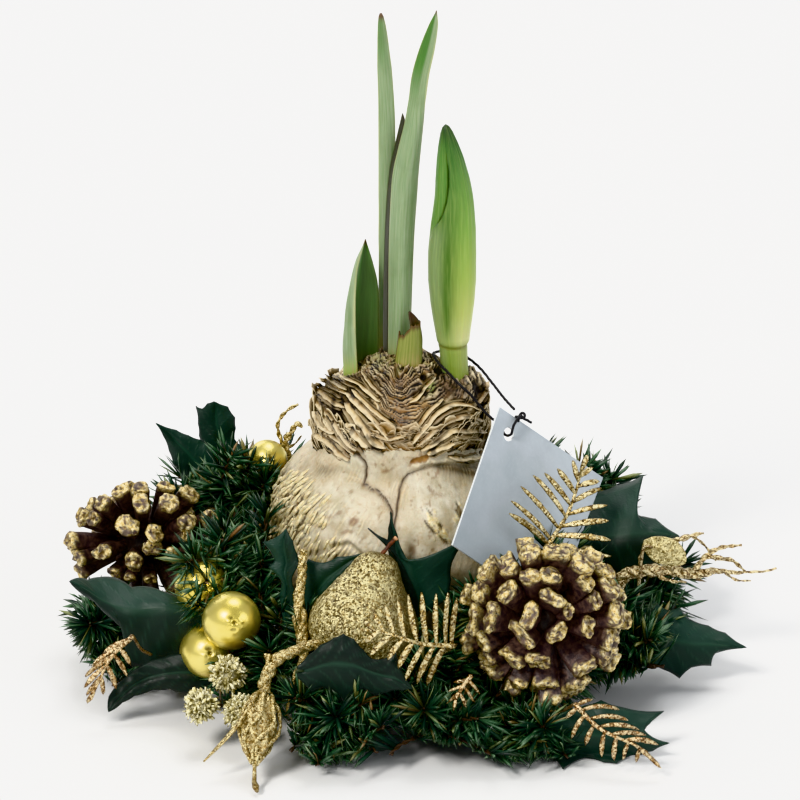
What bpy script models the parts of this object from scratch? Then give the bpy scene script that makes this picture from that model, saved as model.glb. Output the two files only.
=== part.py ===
"""Waxed amaryllis bulb standing in a dressed wreath of artificial pine, holly, cones and gilded picks.

Frame: metres, +Z up, origin at the centre of the bulb's flat wax foot on the surface it stands on.
-Y is the show side. All helper lengths below are in millimetres and are turned into metres when a
mesh is made.
"""
import math

import bmesh
import bpy
import numpy as np
from mathutils import Vector

for old in list(bpy.data.objects):
    bpy.data.objects.remove(old, do_unlink=True)

MM = 0.001

# ---------------------------------------------------------------- driving dimensions (mm)
FOOT_R = 30.0          # flat foot of the wax coat
BODY_R = 47.5          # widest radius of the waxed body
BODY_Z = 48.0          # height of the widest place
NECK_R = 31.4          # papery neck
NECK_TOP = 113.5       # crown of the neck
COAT_T = 1.8           # thickness of the wax
GAP = 0.35             # clearance between touching pieces
COAT_RIM_FRONT = 95.0  # wax runs up the neck further at the front
COAT_RIM_BACK = 83.0
RING_R = 71.0          # wire ring of the wreath
RING_WIRE = 1.6
RING_Z = 9.0
LEAF_TOP = 254.0       # tallest leaf tip
BUD_TOP = 210.0
CONE_R = 30.5          # radius of an open cone
BAUBLE_R = 10.0
PEAR_R = 19.5
TAG_W, TAG_H, TAG_T = 56.0, 56.0, 0.8
TAG_HOLE_R = 2.5
STRING_D = 1.1
SEG = 28               # turned facets of the bulb


# ---------------------------------------------------------------- materials
def material(name, rgb, rough, metal=0.0):
    m = bpy.data.materials.get(name)
    if m:
        return m
    m = bpy.data.materials.new(name)
    m.use_nodes = True
    b = m.node_tree.nodes["Principled BSDF"]
    b.inputs["Base Color"].default_value = (*rgb, 1.0)
    b.inputs["Roughness"].default_value = rough
    b.inputs["Metallic"].default_value = metal
    return m


def wax():
    return material("wax_cream", (0.62, 0.50, 0.34), 0.42)


def tunic():
    return material("bulb_tunic", (0.34, 0.23, 0.11), 0.7)


def leaf_green():
    return material("leaf_green", (0.16, 0.28, 0.10), 0.45)


def bud_green():
    return material("bud_green", (0.26, 0.42, 0.11), 0.4)


def pine():
    return material("pine_green", (0.02, 0.07, 0.025), 0.55)


def holly_green():
    return material("holly_green", (0.012, 0.045, 0.025), 0.45)


def cone_brown():
    return material("cone_brown", (0.09, 0.04, 0.025), 0.75)


def gold():
    return material("gold_gloss", (0.86, 0.66, 0.16), 0.16, 1.0)


def glitter():
    return material("gold_glitter", (0.60, 0.47, 0.20), 0.38, 0.8)


def wire():
    return material("wire_green", (0.02, 0.05, 0.02), 0.4, 0.3)


def stem_brown():
    return material("stem_brown", (0.10, 0.05, 0.03), 0.6)


def card():
    return material("card_grey", (0.30, 0.34, 0.38), 0.6)


def cord_black():
    return material("cord_black", (0.006, 0.006, 0.008), 0.7)


# ---------------------------------------------------------------- shape helpers
def vec(p):
    return np.array(p, float)


def unit(v):
    n = float(np.linalg.norm(v))
    return v / n if n > 1e-9 else v


def smooth_path(points, count):
    """count points evenly spread along a Catmull-Rom curve through the given points."""
    p = [vec(q) for q in points]
    p = [2 * p[0] - p[1]] + p + [2 * p[-1] - p[-2]]
    fine = []
    for i in range(1, len(p) - 2):
        for k in range(24):
            t = k / 24.0
            fine.append(0.5 * ((2 * p[i]) + (-p[i - 1] + p[i + 1]) * t
                               + (2 * p[i - 1] - 5 * p[i] + 4 * p[i + 1] - p[i + 2]) * t * t
                               + (-p[i - 1] + 3 * p[i] - 3 * p[i + 1] + p[i + 2]) * t ** 3))
    fine.append(p[-2])
    fine = np.array(fine)
    run = np.concatenate([[0.0], np.cumsum(np.linalg.norm(np.diff(fine, axis=0), axis=1))])
    want = np.linspace(0.0, run[-1], count)
    return np.stack([np.interp(want, run, fine[:, k]) for k in range(3)], axis=1)


def tangents(path):
    t = np.gradient(path, axis=0)
    return np.array([unit(q) for q in t])


def carried_frames(path, side):
    """A side and a face direction for each point, carried along the path without twist."""
    ts = tangents(path)
    s = vec(side)
    out = []
    for t in ts:
        s = unit(s - t * float(np.dot(s, t)))
        out.append((t, s, unit(np.cross(t, s))))
    return out


def solid(name, verts, faces, mat, sharp=40.0):
    """One closed mesh object from points in mm, its faces turned outwards."""
    me = bpy.data.meshes.new(name)
    me.from_pydata([tuple(float(c) * MM for c in v) for v in verts], [], faces)
    bm = bmesh.new()
    bm.from_mesh(me)
    bmesh.ops.remove_doubles(bm, verts=bm.verts, dist=1e-6)
    bmesh.ops.triangulate(bm, faces=[f for f in bm.faces if len(f.verts) > 4])
    bmesh.ops.recalc_face_normals(bm, faces=bm.faces)
    if bm.calc_volume(signed=True) < 0:
        bmesh.ops.reverse_faces(bm, faces=bm.faces)
    bm.to_mesh(me)
    bm.free()
    me.materials.append(mat)
    me.shade_smooth()
    me.set_sharp_from_angle(angle=math.radians(sharp))
    o = bpy.data.objects.new(name, me)
    bpy.context.scene.collection.objects.link(o)
    return o


def skin_rings(name, rings, mat, sharp=40.0, turn_back=10 ** 6):
    """Closed skin over rings of equal point counts, with a centre point in each end. From ring
    turn_back on, the cells are split along the other diagonal, so that a wall that runs back down
    has the same facets as a solid that stands inside it."""
    n = len(rings[0])
    verts, faces = [], []
    for r in rings:
        verts.extend(r)
    for i in range(len(rings) - 1):
        for k in range(n):
            a, b = i * n + k, i * n + (k + 1) % n
            if i < turn_back:
                faces += [(a, b, b + n), (a, b + n, a + n)]
            else:
                faces += [(a, b, a + n), (b, b + n, a + n)]
    first, last = len(verts), len(verts) + 1
    verts.append(np.mean(rings[0], axis=0))
    verts.append(np.mean(rings[-1], axis=0))
    top = (len(rings) - 1) * n
    for k in range(n):
        faces.append((first, (k + 1) % n, k))
        faces.append((last, top + k, top + (k + 1) % n))
    return solid(name, verts, faces, mat, sharp)


def tube(name, points, radii, sides, count, mat, star=0.0, twist=0.0):
    """Tapered tube along a smooth path; star > 0 draws every other side in."""
    path = smooth_path(points, count)
    fr = carried_frames(path, (0.31, 0.17, 0.93) if abs(path[-1][2] - path[0][2]) < 20 else (1.0, 0.1, 0.0))
    at = np.linspace(0, 1, count)
    rr = np.interp(at, np.linspace(0, 1, len(radii)), radii)
    rings = []
    for i, (t, s, f) in enumerate(fr):
        ring = []
        for k in range(sides):
            a = 2 * math.pi * k / sides + twist * at[i]
            r = rr[i] * (1.0 - star * (k % 2))
            ring.append(path[i] + r * (math.cos(a) * s + math.sin(a) * f))
        rings.append(ring)
    return skin_rings(name, rings, mat)


def turned(name, foot, top, profile, sides, mat, bumps=None):
    """Solid turned about the line foot -> top; profile holds (distance, radius)."""
    a, b = vec(foot), vec(top)
    axis = unit(b - a)
    s = unit(np.cross(axis, (0.2, 0.9, 0.37)))
    f = np.cross(axis, s)
    rings = []
    for i, (d, r) in enumerate(profile):
        ring = []
        for k in range(sides):
            th = 2 * math.pi * k / sides
            q = r if bumps is None else r * bumps(d, th)
            ring.append(a + axis * d + q * (math.cos(th) * s + math.sin(th) * f))
        rings.append(ring)
    return skin_rings(name, rings, mat)


def strap(name, points, half_widths, half_thick, side, count, mat, fold=0.0, turn=0.0, shift=None):
    """Flat blade with a lens section of six points. fold lifts its edges, turn twists it along
    its length (radians), shift slides the edge points of a station towards the tip."""
    path = smooth_path(points, count)
    fr = carried_frames(path, side)
    at = np.linspace(0, 1, count)
    hw = np.interp(at, np.linspace(0, 1, len(half_widths)), half_widths) if len(half_widths) != count else half_widths
    rings = []
    for i, (t, s, f) in enumerate(fr):
        c, sn = math.cos(turn * at[i]), math.sin(turn * at[i])
        s2, f2 = c * s + sn * f, -sn * s + c * f
        w = hw[i]
        ht = half_thick * min(1.0, 0.35 + w / 4.0)
        lift = fold * w
        ahead = t * (shift[i] if shift is not None else 0.0)
        p = path[i]
        rings.append([
            p + s2 * w + f2 * lift + ahead,
            p + s2 * w * 0.45 + f2 * (lift * 0.3 + ht) + ahead * 0.3,
            p - s2 * w * 0.45 + f2 * (lift * 0.3 + ht) + ahead * 0.3,
            p - s2 * w + f2 * lift + ahead,
            p - s2 * w * 0.45 + f2 * (lift * 0.3 - ht) + ahead * 0.3,
            p + s2 * w * 0.45 + f2 * (lift * 0.3 - ht) + ahead * 0.3,
        ])
    return skin_rings(name, rings, mat, 60.0)


# ---------------------------------------------------------------- bulb and wax coat
BODY_PROFILE = [(0.0, FOOT_R), (2.5, 36.0), (10.0, 41.5), (20.0, 45.0), (34.0, 47.0), (BODY_Z, BODY_R),
                (58.0, 46.6), (65.0, 44.9), (70.0, 42.9), (74.0, 40.4), (77.0, 37.9), (80.0, 35.8),
                (83.0, 34.4), (87.0, 33.7), (92.0, 33.3), (96.0, 33.2)]


def wrap(a):
    return (a + math.pi) % (2 * math.pi) - math.pi


def body_r(theta, z):
    """Outer radius of the wax: two swollen daughter lobes meet in a furrow at the front."""
    r = float(np.interp(z, [p[0] for p in BODY_PROFILE], [p[1] for p in BODY_PROFILE]))
    high = math.exp(-((z - 52.0) / 20.0) ** 2)
    furrow = math.exp(-(wrap(theta - math.radians(-93)) / 0.17) ** 2)
    left = math.exp(-(wrap(theta - math.radians(-118)) / 0.32) ** 2)
    right = math.exp(-(wrap(theta - math.radians(-74)) / 0.26) ** 2)
    return r + high * (1.3 * left + 1.0 * right - 2.6 * furrow)


def rim_z(theta):
    front = 0.5 * (1.0 + math.cos(wrap(theta + math.pi / 2)))
    return COAT_RIM_BACK + (COAT_RIM_FRONT - COAT_RIM_BACK) * front ** 1.5


def ring_of(radius, height):
    out = []
    for k in range(SEG):
        th = 2 * math.pi * k / SEG
        r, z = radius(th), height(th)
        out.append((r * math.cos(th), r * math.sin(th), z))
    return out


COAT_STEPS = [0.0, 0.03, 0.11, 0.22, 0.37, 0.52, 0.64, 0.74, 0.82, 0.88, 0.94, 1.0]


def coat():
    outer, inner = [], []
    for s in COAT_STEPS:
        outer.append(ring_of(lambda th, s=s: body_r(th, s * rim_z(th)), lambda th, s=s: s * rim_z(th)))
    for s in COAT_STEPS[::-1]:
        t = COAT_T if s < 0.86 else 1.3
        inner.append(ring_of(lambda th, s=s, t=t: max(body_r(th, max(s * rim_z(th), COAT_T)) - t, 2.0),
                             lambda th, s=s: max(s * rim_z(th), COAT_T)))
    return skin_rings("wax_coat", outer + inner, wax(), 50.0, turn_back=len(outer))


def crown_z(r, theta):
    """Top of the neck: a worn dome, higher at its two sides than at front and back."""
    return NECK_TOP - 0.0105 * r * r + 0.006 * r * r * math.cos(theta) ** 2


def bulb():
    rings = []
    steps = [0.03, 0.11, 0.22, 0.37, 0.52, 0.64, 0.74, 0.82, 0.88, 0.94, 1.0]
    for s in steps:
        t = (COAT_T if s < 0.86 else 1.3) + GAP + 0.12
        t += 0.5 if s < 0.05 else 0.0
        rings.append(ring_of(lambda th, s=s, t=t: body_r(th, max(s * rim_z(th), COAT_T)) - t,
                             lambda th, s=s: max(s * rim_z(th), COAT_T + GAP + 1.1)))
    rings.insert(0, ring_of(lambda th: 16.0, lambda th: COAT_T + GAP + 0.1))
    for up, r in ((0.35, NECK_R), (0.75, 30.4)):
        rings.append(ring_of(lambda th, r=r: r, lambda th, up=up: rim_z(th) * (1 - up) + (crown_z(29.0, th) - 2.0) * up))
    for r in (28.6, 22.0, 12.0, 4.0):
        rings.append(ring_of(lambda th, r=r: r, lambda th, r=r: crown_z(r, th)))
    return skin_rings("bulb", rings, tunic(), 50.0)


coat()
bulb()

# ---------------------------------------------------------------- leaves and bud, set on the crown
strap("leaf_tall_left", [(-6.3, 7.5, 115.0), (-6.2, 7.0, 160.0), (-5.6, 5.0, 205.0), (-7.2, 2.5, 253.0)],
      [2.9, 3.2, 3.4, 3.4, 3.0, 1.9, 0.4], 0.8, (1, 0.2, 0), 12, leaf_green(), fold=0.18)
strap("leaf_tall_right", [(-0.6, 3.0, 115.0), (1.5, 2.6, 160.0), (5.4, 1.8, 205.0), (9.4, 1.0, 236.0), (12.8, 0.5, LEAF_TOP)],
      [3.4, 4.0, 4.3, 4.2, 3.4, 2.1, 0.4], 0.9, (1, -0.1, 0), 12, leaf_green(), fold=0.22)
strap("leaf_short", [(-14.0, 1.5, 114.2), (-13.6, 1.0, 128.0), (-12.8, 1.0, 146.0), (-12.6, 1.5, 165.0)],
      [5.4, 5.9, 5.2, 3.6, 0.4], 0.9, (1, 0.1, 0), 9, leaf_green(), fold=0.3)
strap("leaf_stub", [(5.2, -9.2, 114.0), (5.6, -9.2, 124.0), (5.2, -8.6, 131.0), (4.0, -8.0, 138.0)],
      [4.6, 4.4, 3.2, 0.5], 0.8, (1, 0.1, 0), 7, leaf_green(), fold=0.2)
turned("flower_bud", (19.8, 1.0, 113.6), (16.3, 0.0, BUD_TOP),
       [(0, 5.4), (6, 5.2), (10.4, 5.2), (11.6, 6.1), (14, 6.6), (24, 8.2), (42, 9.0), (58, 8.3), (74, 6.2), (86, 3.9), (94, 1.6), (96.4, 0.4)],
       12, bud_green(), bumps=lambda d, th: 1.0 - 0.08 * math.cos(2 * th) * min(1.0, d / 30.0))


# ---------------------------------------------------------------- wreath frame
bpy.ops.mesh.primitive_torus_add(major_segments=44, minor_segments=6, major_radius=RING_R * MM,
                                 minor_radius=RING_WIRE * MM, location=(0, 0, 0))
ring = bpy.context.active_object
ring.name = "wreath_ring"
ring.data.name = "wreath_ring"
for v in ring.data.vertices:
    v.co.z += RING_Z * MM
ring.data.materials.append(wire())
ring.data.shade_smooth()


def on_ring(deg, out=0.0, up=0.0):
    a = math.radians(deg)
    return ((RING_R + out) * math.cos(a), (RING_R + out) * math.sin(a), RING_Z + up)


# ---------------------------------------------------------------- pine sprigs: the brush core of each
SPRIGS = {
    "pine_sprig_top_left": [on_ring(144, 0, 4), (-62, 43, 32), (-72, 42, 56)],
    "pine_sprig_upper_left": [on_ring(130, -2, 4), (-47, 54, 32), (-50, 50, 56)],
    "pine_sprig_mid_left": [on_ring(207, -2, 4), (-57, -27, 34), (-56, -25.5, 55)],
    "pine_sprig_left": [on_ring(183, 4, 2), (-96, -12, 14), (-114, -18, 20)],
    "pine_sprig_front": [on_ring(252, 4, 0), (-25, -84, 13), (-22, -104, 12)],
    "pine_sprig_front_right": [on_ring(278, 4, 0), (13, -89, 10), (20, -107, 9)],
    "pine_sprig_low_right": [on_ring(303, 4, -1), (44, -80, 8), (47, -101, 7)],
    "pine_sprig_right": [on_ring(331, 3, 3), (79, -31, 24), (96, -30, 36)],
    "pine_sprig_top_right": [on_ring(36, 1, 4), (65, 36, 36), (70, 32, 58)],
    "pine_sprig_east": [on_ring(10, 4, 1), (92, 13, 16), (110, 16, 20)],
    "pine_sprig_back_right": [on_ring(60, 4, 1), (45, 79, 17), (54, 97, 20)],
    "pine_sprig_back": [on_ring(86, 4, 1), (6, 90, 18), (8, 107, 22)],
    "pine_sprig_back_left": [on_ring(112, 4, 1), (-35, 84, 17), (-44, 100, 21)],
    "pine_sprig_back_upright": [on_ring(96, -3, 4), (-6, 63, 34), (-4, 60, 56)],
}
for name, pts in SPRIGS.items():
    tube(name, pts, [2.4, 4.4, 4.8, 4.4, 3.4, 1.6], 8, 8, pine(), star=0.45, twist=1.2)

# ---------------------------------------------------------------- holly leaves on wire stalks
HOLLY_AT = [0.0, 0.10, 0.22, 0.34, 0.46, 0.58, 0.70, 0.80, 0.90, 1.0]
HOLLY_W = [0.10, 0.50, 1.00, 0.62, 1.00, 0.60, 0.86, 0.42, 0.30, 0.03]
HOLLY_AHEAD = [0.0, 0.0, 2.6, -1.0, 2.8, -1.0, 2.6, 0.0, 0.0, 0.0]


def holly(name, root, base, mid, tip, half_width, side):
    """Stalk from root to base, then a spined blade through mid to tip."""
    stalk = smooth_path([root, base], 3)[:-1]
    blade = smooth_path([base, mid, tip], 41)
    pts = list(stalk) + [blade[int(round(a * 40))] for a in HOLLY_AT]
    path = np.array(pts)
    fr = carried_frames(path, side)
    rings = []
    for i, (t, s, f) in enumerate(fr):
        j = i - len(stalk)
        w = 0.55 if j < 0 else max(half_width * HOLLY_W[j], 0.5)
        ahead = t * (0.0 if j < 0 else HOLLY_AHEAD[j] * half_width / 12.0)
        ht = 0.5 if j < 0 or w < 1.0 else 0.45
        edge = 0.12 if j >= 0 and w > 1.0 else 0.3
        up = f * (0.22 * w if j >= 0 else 0.0)
        p = path[i]
        rings.append([p + s * w + up + f * edge + ahead, p + f * ht, p - s * w + up + f * edge + ahead,
                      p - s * w + up - f * edge + ahead, p - f * ht, p + s * w + up - f * edge + ahead])
    return skin_rings(name, rings, holly_green(), 60.0)


holly("holly_leaf_left_upper", on_ring(200, 0, 4), (-79, -49.5, 40), (-96, -46, 45), (-117, -41, 47), 9.5, (0.1, 0.4, -0.9))
holly("holly_leaf_left_lower", on_ring(221, 4, 1), (-78, -50, 17), (-92, -52, 16), (-107, -53, 8), 12.0, (0.25, 0.35, 0.9))
holly("holly_leaf_far_left", on_ring(150, 3, 3), (-72, 54, 55), (-80, 54, 63), (-88, 53, 69.5), 9.0, (0.6, 0.2, -0.6))
holly("holly_leaf_top_left", on_ring(138, 4, 2), (-64, 60, 52), (-66, 62, 62), (-67, 63, 73), 8.5, (1, 0.1, 0.1))
holly("holly_leaf_slim", on_ring(236, -3, 3), (-38.5, -56, 48), (-42, -51.5, 60), (-44.5, -48.5, 71), 7.0, (0.9, -0.3, -0.3))
holly("holly_leaf_behind_twig", on_ring(244, -6, 3), (-32.5, -54, 49), (-29, -51.5, 57), (-20, -50.5, 63), 5.5, (0.6, -0.2, 0.7))
holly("holly_leaf_centre", on_ring(281, -2, 3), (14.0, -70, 49), (11.5, -67, 60), (5, -60, 76), 8.0, (0.9, 0.2, 0.2))
holly("holly_leaf_under_pear", on_ring(255, 6, 3), (-31, -93, 37), (-16, -99, 40), (2, -101, 36), 8.5, (0.1, 0.35, 0.9))
holly("holly_leaf_right_upper", on_ring(352, 4, 2), (84, -1, 40), (86, 2, 54), (88, 5, 69), 15.0, (0.9, -0.45, 0.0))
holly("holly_leaf_right_lower", on_ring(335, 6, -1), (84, -38, 12), (104, -33, 15), (126, -26, 14), 13.0, (0.25, -0.7, -0.55))
holly("holly_leaf_front_right", on_ring(309, 6, -2.5), (62, -74, 5.5), (78, -82, 5), (96, -88, 4.5), 13.0, (0.5, 0.85, 0.05))
holly("holly_leaf_back_right", on_ring(47, 3, 3), (58, 60, 34), (66, 68, 44), (72, 77, 52), 12.0, (0.7, -0.6, 0.1))
holly("holly_leaf_back", on_ring(75, 3, 3), (22, 78, 34), (24, 88, 44), (27, 97, 50), 12.5, (1.0, -0.1, 0.0))
holly("holly_leaf_back_left", on_ring(121, 2, 3), (-40, 70, 40), (-42, 80, 50), (-44, 90, 56), 12.0, (0.95, 0.3, 0.0))


# ---------------------------------------------------------------- cones
def cone(name, centre, axis, radius, length, stalk):
    """Open cone: a swollen turned body whose scales stand out in two crossing spirals."""
    ax = unit(vec(axis))
    c = vec(centre)
    foot = c - ax * length * 0.42
    prof = []
    steps = 11
    for i in range(steps + 1):
        u = i / steps
        r = radius * (math.sin(math.pi * (0.10 + 0.88 * u ** 0.86)) ** 0.72)
        prof.append((u * length, max(r, 2.0)))

    def scale_bumps(d, th):
        u = d / length
        return 1.0 + 0.09 * math.cos(8 * th + 20 * u) * math.cos(5 * th - 26 * u) * math.sin(math.pi * u) ** 0.5 - 0.06

    return turned(name, foot, foot + ax * length, prof, 22, cone_brown(), bumps=scale_bumps)


cone("pinecone_right", (52.0, -73.5, 46.2), (0.02, -0.80, 0.60), CONE_R, 44.0, None)
cone("pinecone_left", (-95.0, 4.0, 45.5), (-0.88, -0.42, 0.12), 23.0, 54.0, None)


# ---------------------------------------------------------------- baubles, berries, pear
def ball_on_wire(name, root, centre, r, wire_r, mat, sides=12, rows=7):
    root, c = vec(root), vec(centre)
    d = float(np.linalg.norm(c - root))
    start = math.asin(min(1.0, wire_r * 1.6 / r))
    prof = [(0.0, wire_r), (d - r * math.cos(start) - 0.6, wire_r)]
    for i in range(rows + 1):
        a = start + (math.pi - start - 0.06) * i / rows
        prof.append((d - r * math.cos(a), r * math.sin(a)))
    return turned(name, root, c, prof, sides, mat)


ball_on_wire("bauble_front", (-55.5, -51.0, 17.0), (-60.8, -62, 42), BAUBLE_R, 0.6, gold())
ball_on_wire("bauble_low", (-60.0, -47.0, 10.0), (-72.2, -54, 25.2), 9.6, 0.6, gold())
ball_on_wire("bauble_hidden", (-65.5, -36.0, 14.0), (-71.8, -41.4, 46.5), 9.6, 0.6, gold())
ball_on_wire("bauble_back", (-55.0, 36.5, 14.0), (-48.4, 31.0, 64.6), 7.4, 0.6, gold())
ball_on_wire("glitter_berry_upper", (-53.0, -55.5, 11.0), (-62.2, -76, 27), 5.6, 0.5, glitter(), 10, 5)
ball_on_wire("glitter_berry_left", (-60.0, -58.0, 8.0), (-72.2, -84, 18.5), 5.4, 0.5, glitter(), 10, 5)
ball_on_wire("glitter_berry_low", (-51.0, -60.0, 6.5), (-59.8, -86.5, 15.5), 5.3, 0.5, glitter(), 10, 5)

PEAR_FOOT, PEAR_TOP = (-16.5, -75.0, 28.5), (-7.5, -60.0, 68.0)
turned("glitter_pear", PEAR_FOOT, PEAR_TOP,
       [(0, 4.0), (1.6, 9.5), (5, 14.8), (10, 18.4), (15.5, PEAR_R), (21, 18.6), (26, 15.8), (31, 11.8), (36, 8.6), (40, 6.8), (42.4, 4.6), (43.2, 1.6)],
       16, glitter())
tube("pear_stem", [(-6.7, -59.3, 69.9), (-4.8, -58.6, 71.8), (-1.5, -58.0, 74.4)], [1.2, 0.9, 1.1], 6, 4, stem_brown())


# ---------------------------------------------------------------- gilded ferns
def fern(name, root, base, tip, reach, side, pairs):
    """Comb-shaped frond: swept leaflets either side of a rib, on a wire stalk."""
    rib = smooth_path([base, (vec(base) + vec(tip)) / 2 + np.cross(unit(vec(tip) - vec(base)), unit(vec(side))) * 1.5, tip], 3 * pairs + 2)
    path = np.array(list(smooth_path([root, base], 3)[:-1]) + list(rib))
    fr = carried_frames(path, side)
    rings = []
    for i, (t, s, f) in enumerate(fr):
        j = i - 2
        w, ahead, ht = 0.6, 0.0, 0.5
        if j >= 1:
            u = j / (3.0 * pairs + 1)
            if (j - 1) % 3 == 1:
                w, ahead = reach * math.sin(math.pi * (0.28 + 0.66 * u)), 3.0
            ht = 0.4
        p = path[i]
        a = t * ahead
        rings.append([p + s * w + f * 0.2 + a, p + f * ht, p - s * w + f * 0.2 + a,
                      p - s * w - f * 0.2 + a, p - f * ht, p + s * w - f * 0.2 + a])
    return skin_rings(name, rings, glitter(), 60.0)


fern("gold_fern_tag", (60.5, -34.0, 36.0), (56, -41.5, 60), (68.5, -22.5, 80), 15.0, (0.75, 0.55, -0.5), 7)
fern("gold_fern_pear", (6.0, -75.0, 22.0), (15.5, -93, 41), (-8.5, -97.5, 53), 13.0, (0.45, 0.1, 0.85), 6)
fern("gold_fern_front_right", (52.0, -86.0, 17.0), (62, -99.5, 20.5), (93, -111, 8.5), 10.5, (0.3, 0.8, 0.35), 6)
fern("gold_fern_left", (-80.5, -46.0, 30.0), (-99.6, -62, 32.5), (-111.6, -68, 14.5), 8.0, (-0.7, 0.0, 0.5), 5)
fern("gold_fern_small", (22.0, -82.0, 20.0), (27, -99, 33), (18.5, -105, 28.5), 5.5, (0.2, 0.5, 0.8), 3)

# ---------------------------------------------------------------- glitter twigs, pod and leaf
tube("glitter_twig_front", [(-33, -64, 12), (-34.2, -71.5, 34), (-35.6, -63, 52), (-34.4, -53.6, 66)], [0.9, 1.3, 1.5, 1.3, 1.1], 6, 10, glitter())
tube("glitter_twig_bent", [(-36, -70, 14), (-31.5, -80, 27), (-36.5, -86.5, 35.5), (-44, -90.5, 34.0), (-49, -93.5, 26.0)], [0.9, 1.2, 1.5, 1.5, 1.2], 6, 10, glitter())
turned("glitter_pod", (-49.6, -94.2, 24.2), (-52.0, -118.0, 2.2),
       [(0, 1.2), (2, 4.0), (6, 6.6), (11, 6.8), (16, 5.2), (20, 2.6), (24, 1.1), (31.5, 0.7)], 10, glitter())
tube("glitter_twig_right", [(73, -13, 17), (82, -13.5, 30.5), (103, -12, 36.5), (120, -11, 38.2), (136.3, -10, 39.0)], [0.9, 1.3, 1.5, 1.1, 0.5], 6, 12, glitter())
strap("glitter_leaf_right", [(87, -15.6, 41.5), (92, -15.6, 45.5), (96, -15.4, 48.0), (103, -15.0, 49.5)], [0.8, 4.2, 4.8, 3.6, 0.6], 0.7, (0.25, 0.35, -0.9), 6, glitter())
tube("curly_twig", [(-44, 46, 16), (-42.0, 47.0, 40), (-39.5, 42, 60), (-43.6, 40, 75), (-41.0, 37, 83.5), (-36.8, 36, 84.5), (-37.5, 36, 79)], [0.8, 1.1, 1.1, 1.0, 0.7], 6, 13, glitter())

# ---------------------------------------------------------------- card tag and its string
TAG_CORNER = vec((35.8, -20.0, 107.7))
TAG_ALONG = unit(vec((29.0, 15.06, -28.34)))
TAG_DOWN = unit(vec((-17.1, -38.0, -37.7)))
TAG_FACE = unit(np.cross(TAG_DOWN, TAG_ALONG))
TAG_HOLE = TAG_CORNER + TAG_ALONG * 8.0 + TAG_DOWN * 7.0


def tag():
    """Square card, a little bowed, with one punched hole."""
    n = 9
    verts, faces = [], []
    for side in (1, -1):
        for i in range(n):
            for j in range(n):
                u, v = TAG_W * i / (n - 1), TAG_H * j / (n - 1)
                bow = 1.2 * math.sin(math.pi * v / TAG_H) * (u / TAG_W)
                verts.append(TAG_CORNER + TAG_ALONG * u + TAG_DOWN * v - TAG_FACE * bow + TAG_FACE * side * TAG_T / 2)
    k = n * n
    for i in range(n - 1):
        for j in range(n - 1):
            a = i * n + j
            faces.append((a, a + 1, a + n + 1, a + n))
            faces.append((k + a, k + a + n, k + a + n + 1, k + a + 1))
    for i in range(n - 1):
        for a, b in ((i, i + 1), (n * (n - 1) + i, n * (n - 1) + i + 1), (i * n, (i + 1) * n), (i * n + n - 1, (i + 1) * n + n - 1)):
            faces.append((a, b, b + k, a + k))
    o = solid("tag", verts, faces, card(), 30.0)
    bpy.ops.mesh.primitive_cylinder_add(vertices=32, radius=TAG_HOLE_R * MM, depth=8 * MM)
    cutter = bpy.context.active_object
    cutter.name = "tag_hole_cutter"
    cutter.rotation_mode = "QUATERNION"
    cutter.rotation_quaternion = Vector((0, 0, 1)).rotation_difference(Vector(TAG_FACE.tolist()))
    cutter.location = Vector((TAG_HOLE * MM).tolist())
    cutter.hide_render = True
    cutter.display_type = "WIRE"
    cut = o.modifiers.new("hole", "BOOLEAN")
    cut.operation = "DIFFERENCE"
    cut.object = cutter
    return o


tag()

STRING_ROUTE = [
    (47.6, -14.4, 99.0), (45.2, -16.6, 101.4), (43.0, -18.6, 102.9), (41.0, -22.2, 101.2),
    TAG_HOLE + TAG_FACE * 1.6, TAG_HOLE - TAG_FACE * 1.6, (35.6, -17.4, 99.8), (31.8, -15.4, 102.8), (29.2, -14.2, 106.0), (25.6, -13.2, 110.8),
    (21.4, -10.8, 113.4), (17.0, -6.6, 116.0), (13.0, -1.8, 118.0), (12.2, 3.6, 118.2), (15.6, 8.4, 117.4), (22.0, 9.2, 115.8), (28.2, 5.6, 112.8),
    (33.2, 0.4, 108.4), (37.4, -8.0, 106.2), (41.4, -15.4, 104.6),
]


def string():
    pts = smooth_path(STRING_ROUTE, 46)
    cu = bpy.data.curves.new("tag_string", "CURVE")
    cu.dimensions = "3D"
    sp = cu.splines.new("POLY")
    sp.points.add(len(pts) - 1)
    for q, p in zip(sp.points, pts):
        q.co = (p[0] * MM, p[1] * MM, p[2] * MM, 1.0)
    cu.bevel_depth = STRING_D / 2 * MM
    cu.bevel_resolution = 2
    cu.use_fill_caps = True
    cu.render_resolution_u = 0
    cu.materials.append(cord_black())
    o = bpy.data.objects.new("tag_string", cu)
    bpy.context.scene.collection.objects.link(o)
    return o


string()
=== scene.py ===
import math

import bpy
import numpy as np
from mathutils import Matrix, Vector


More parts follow.
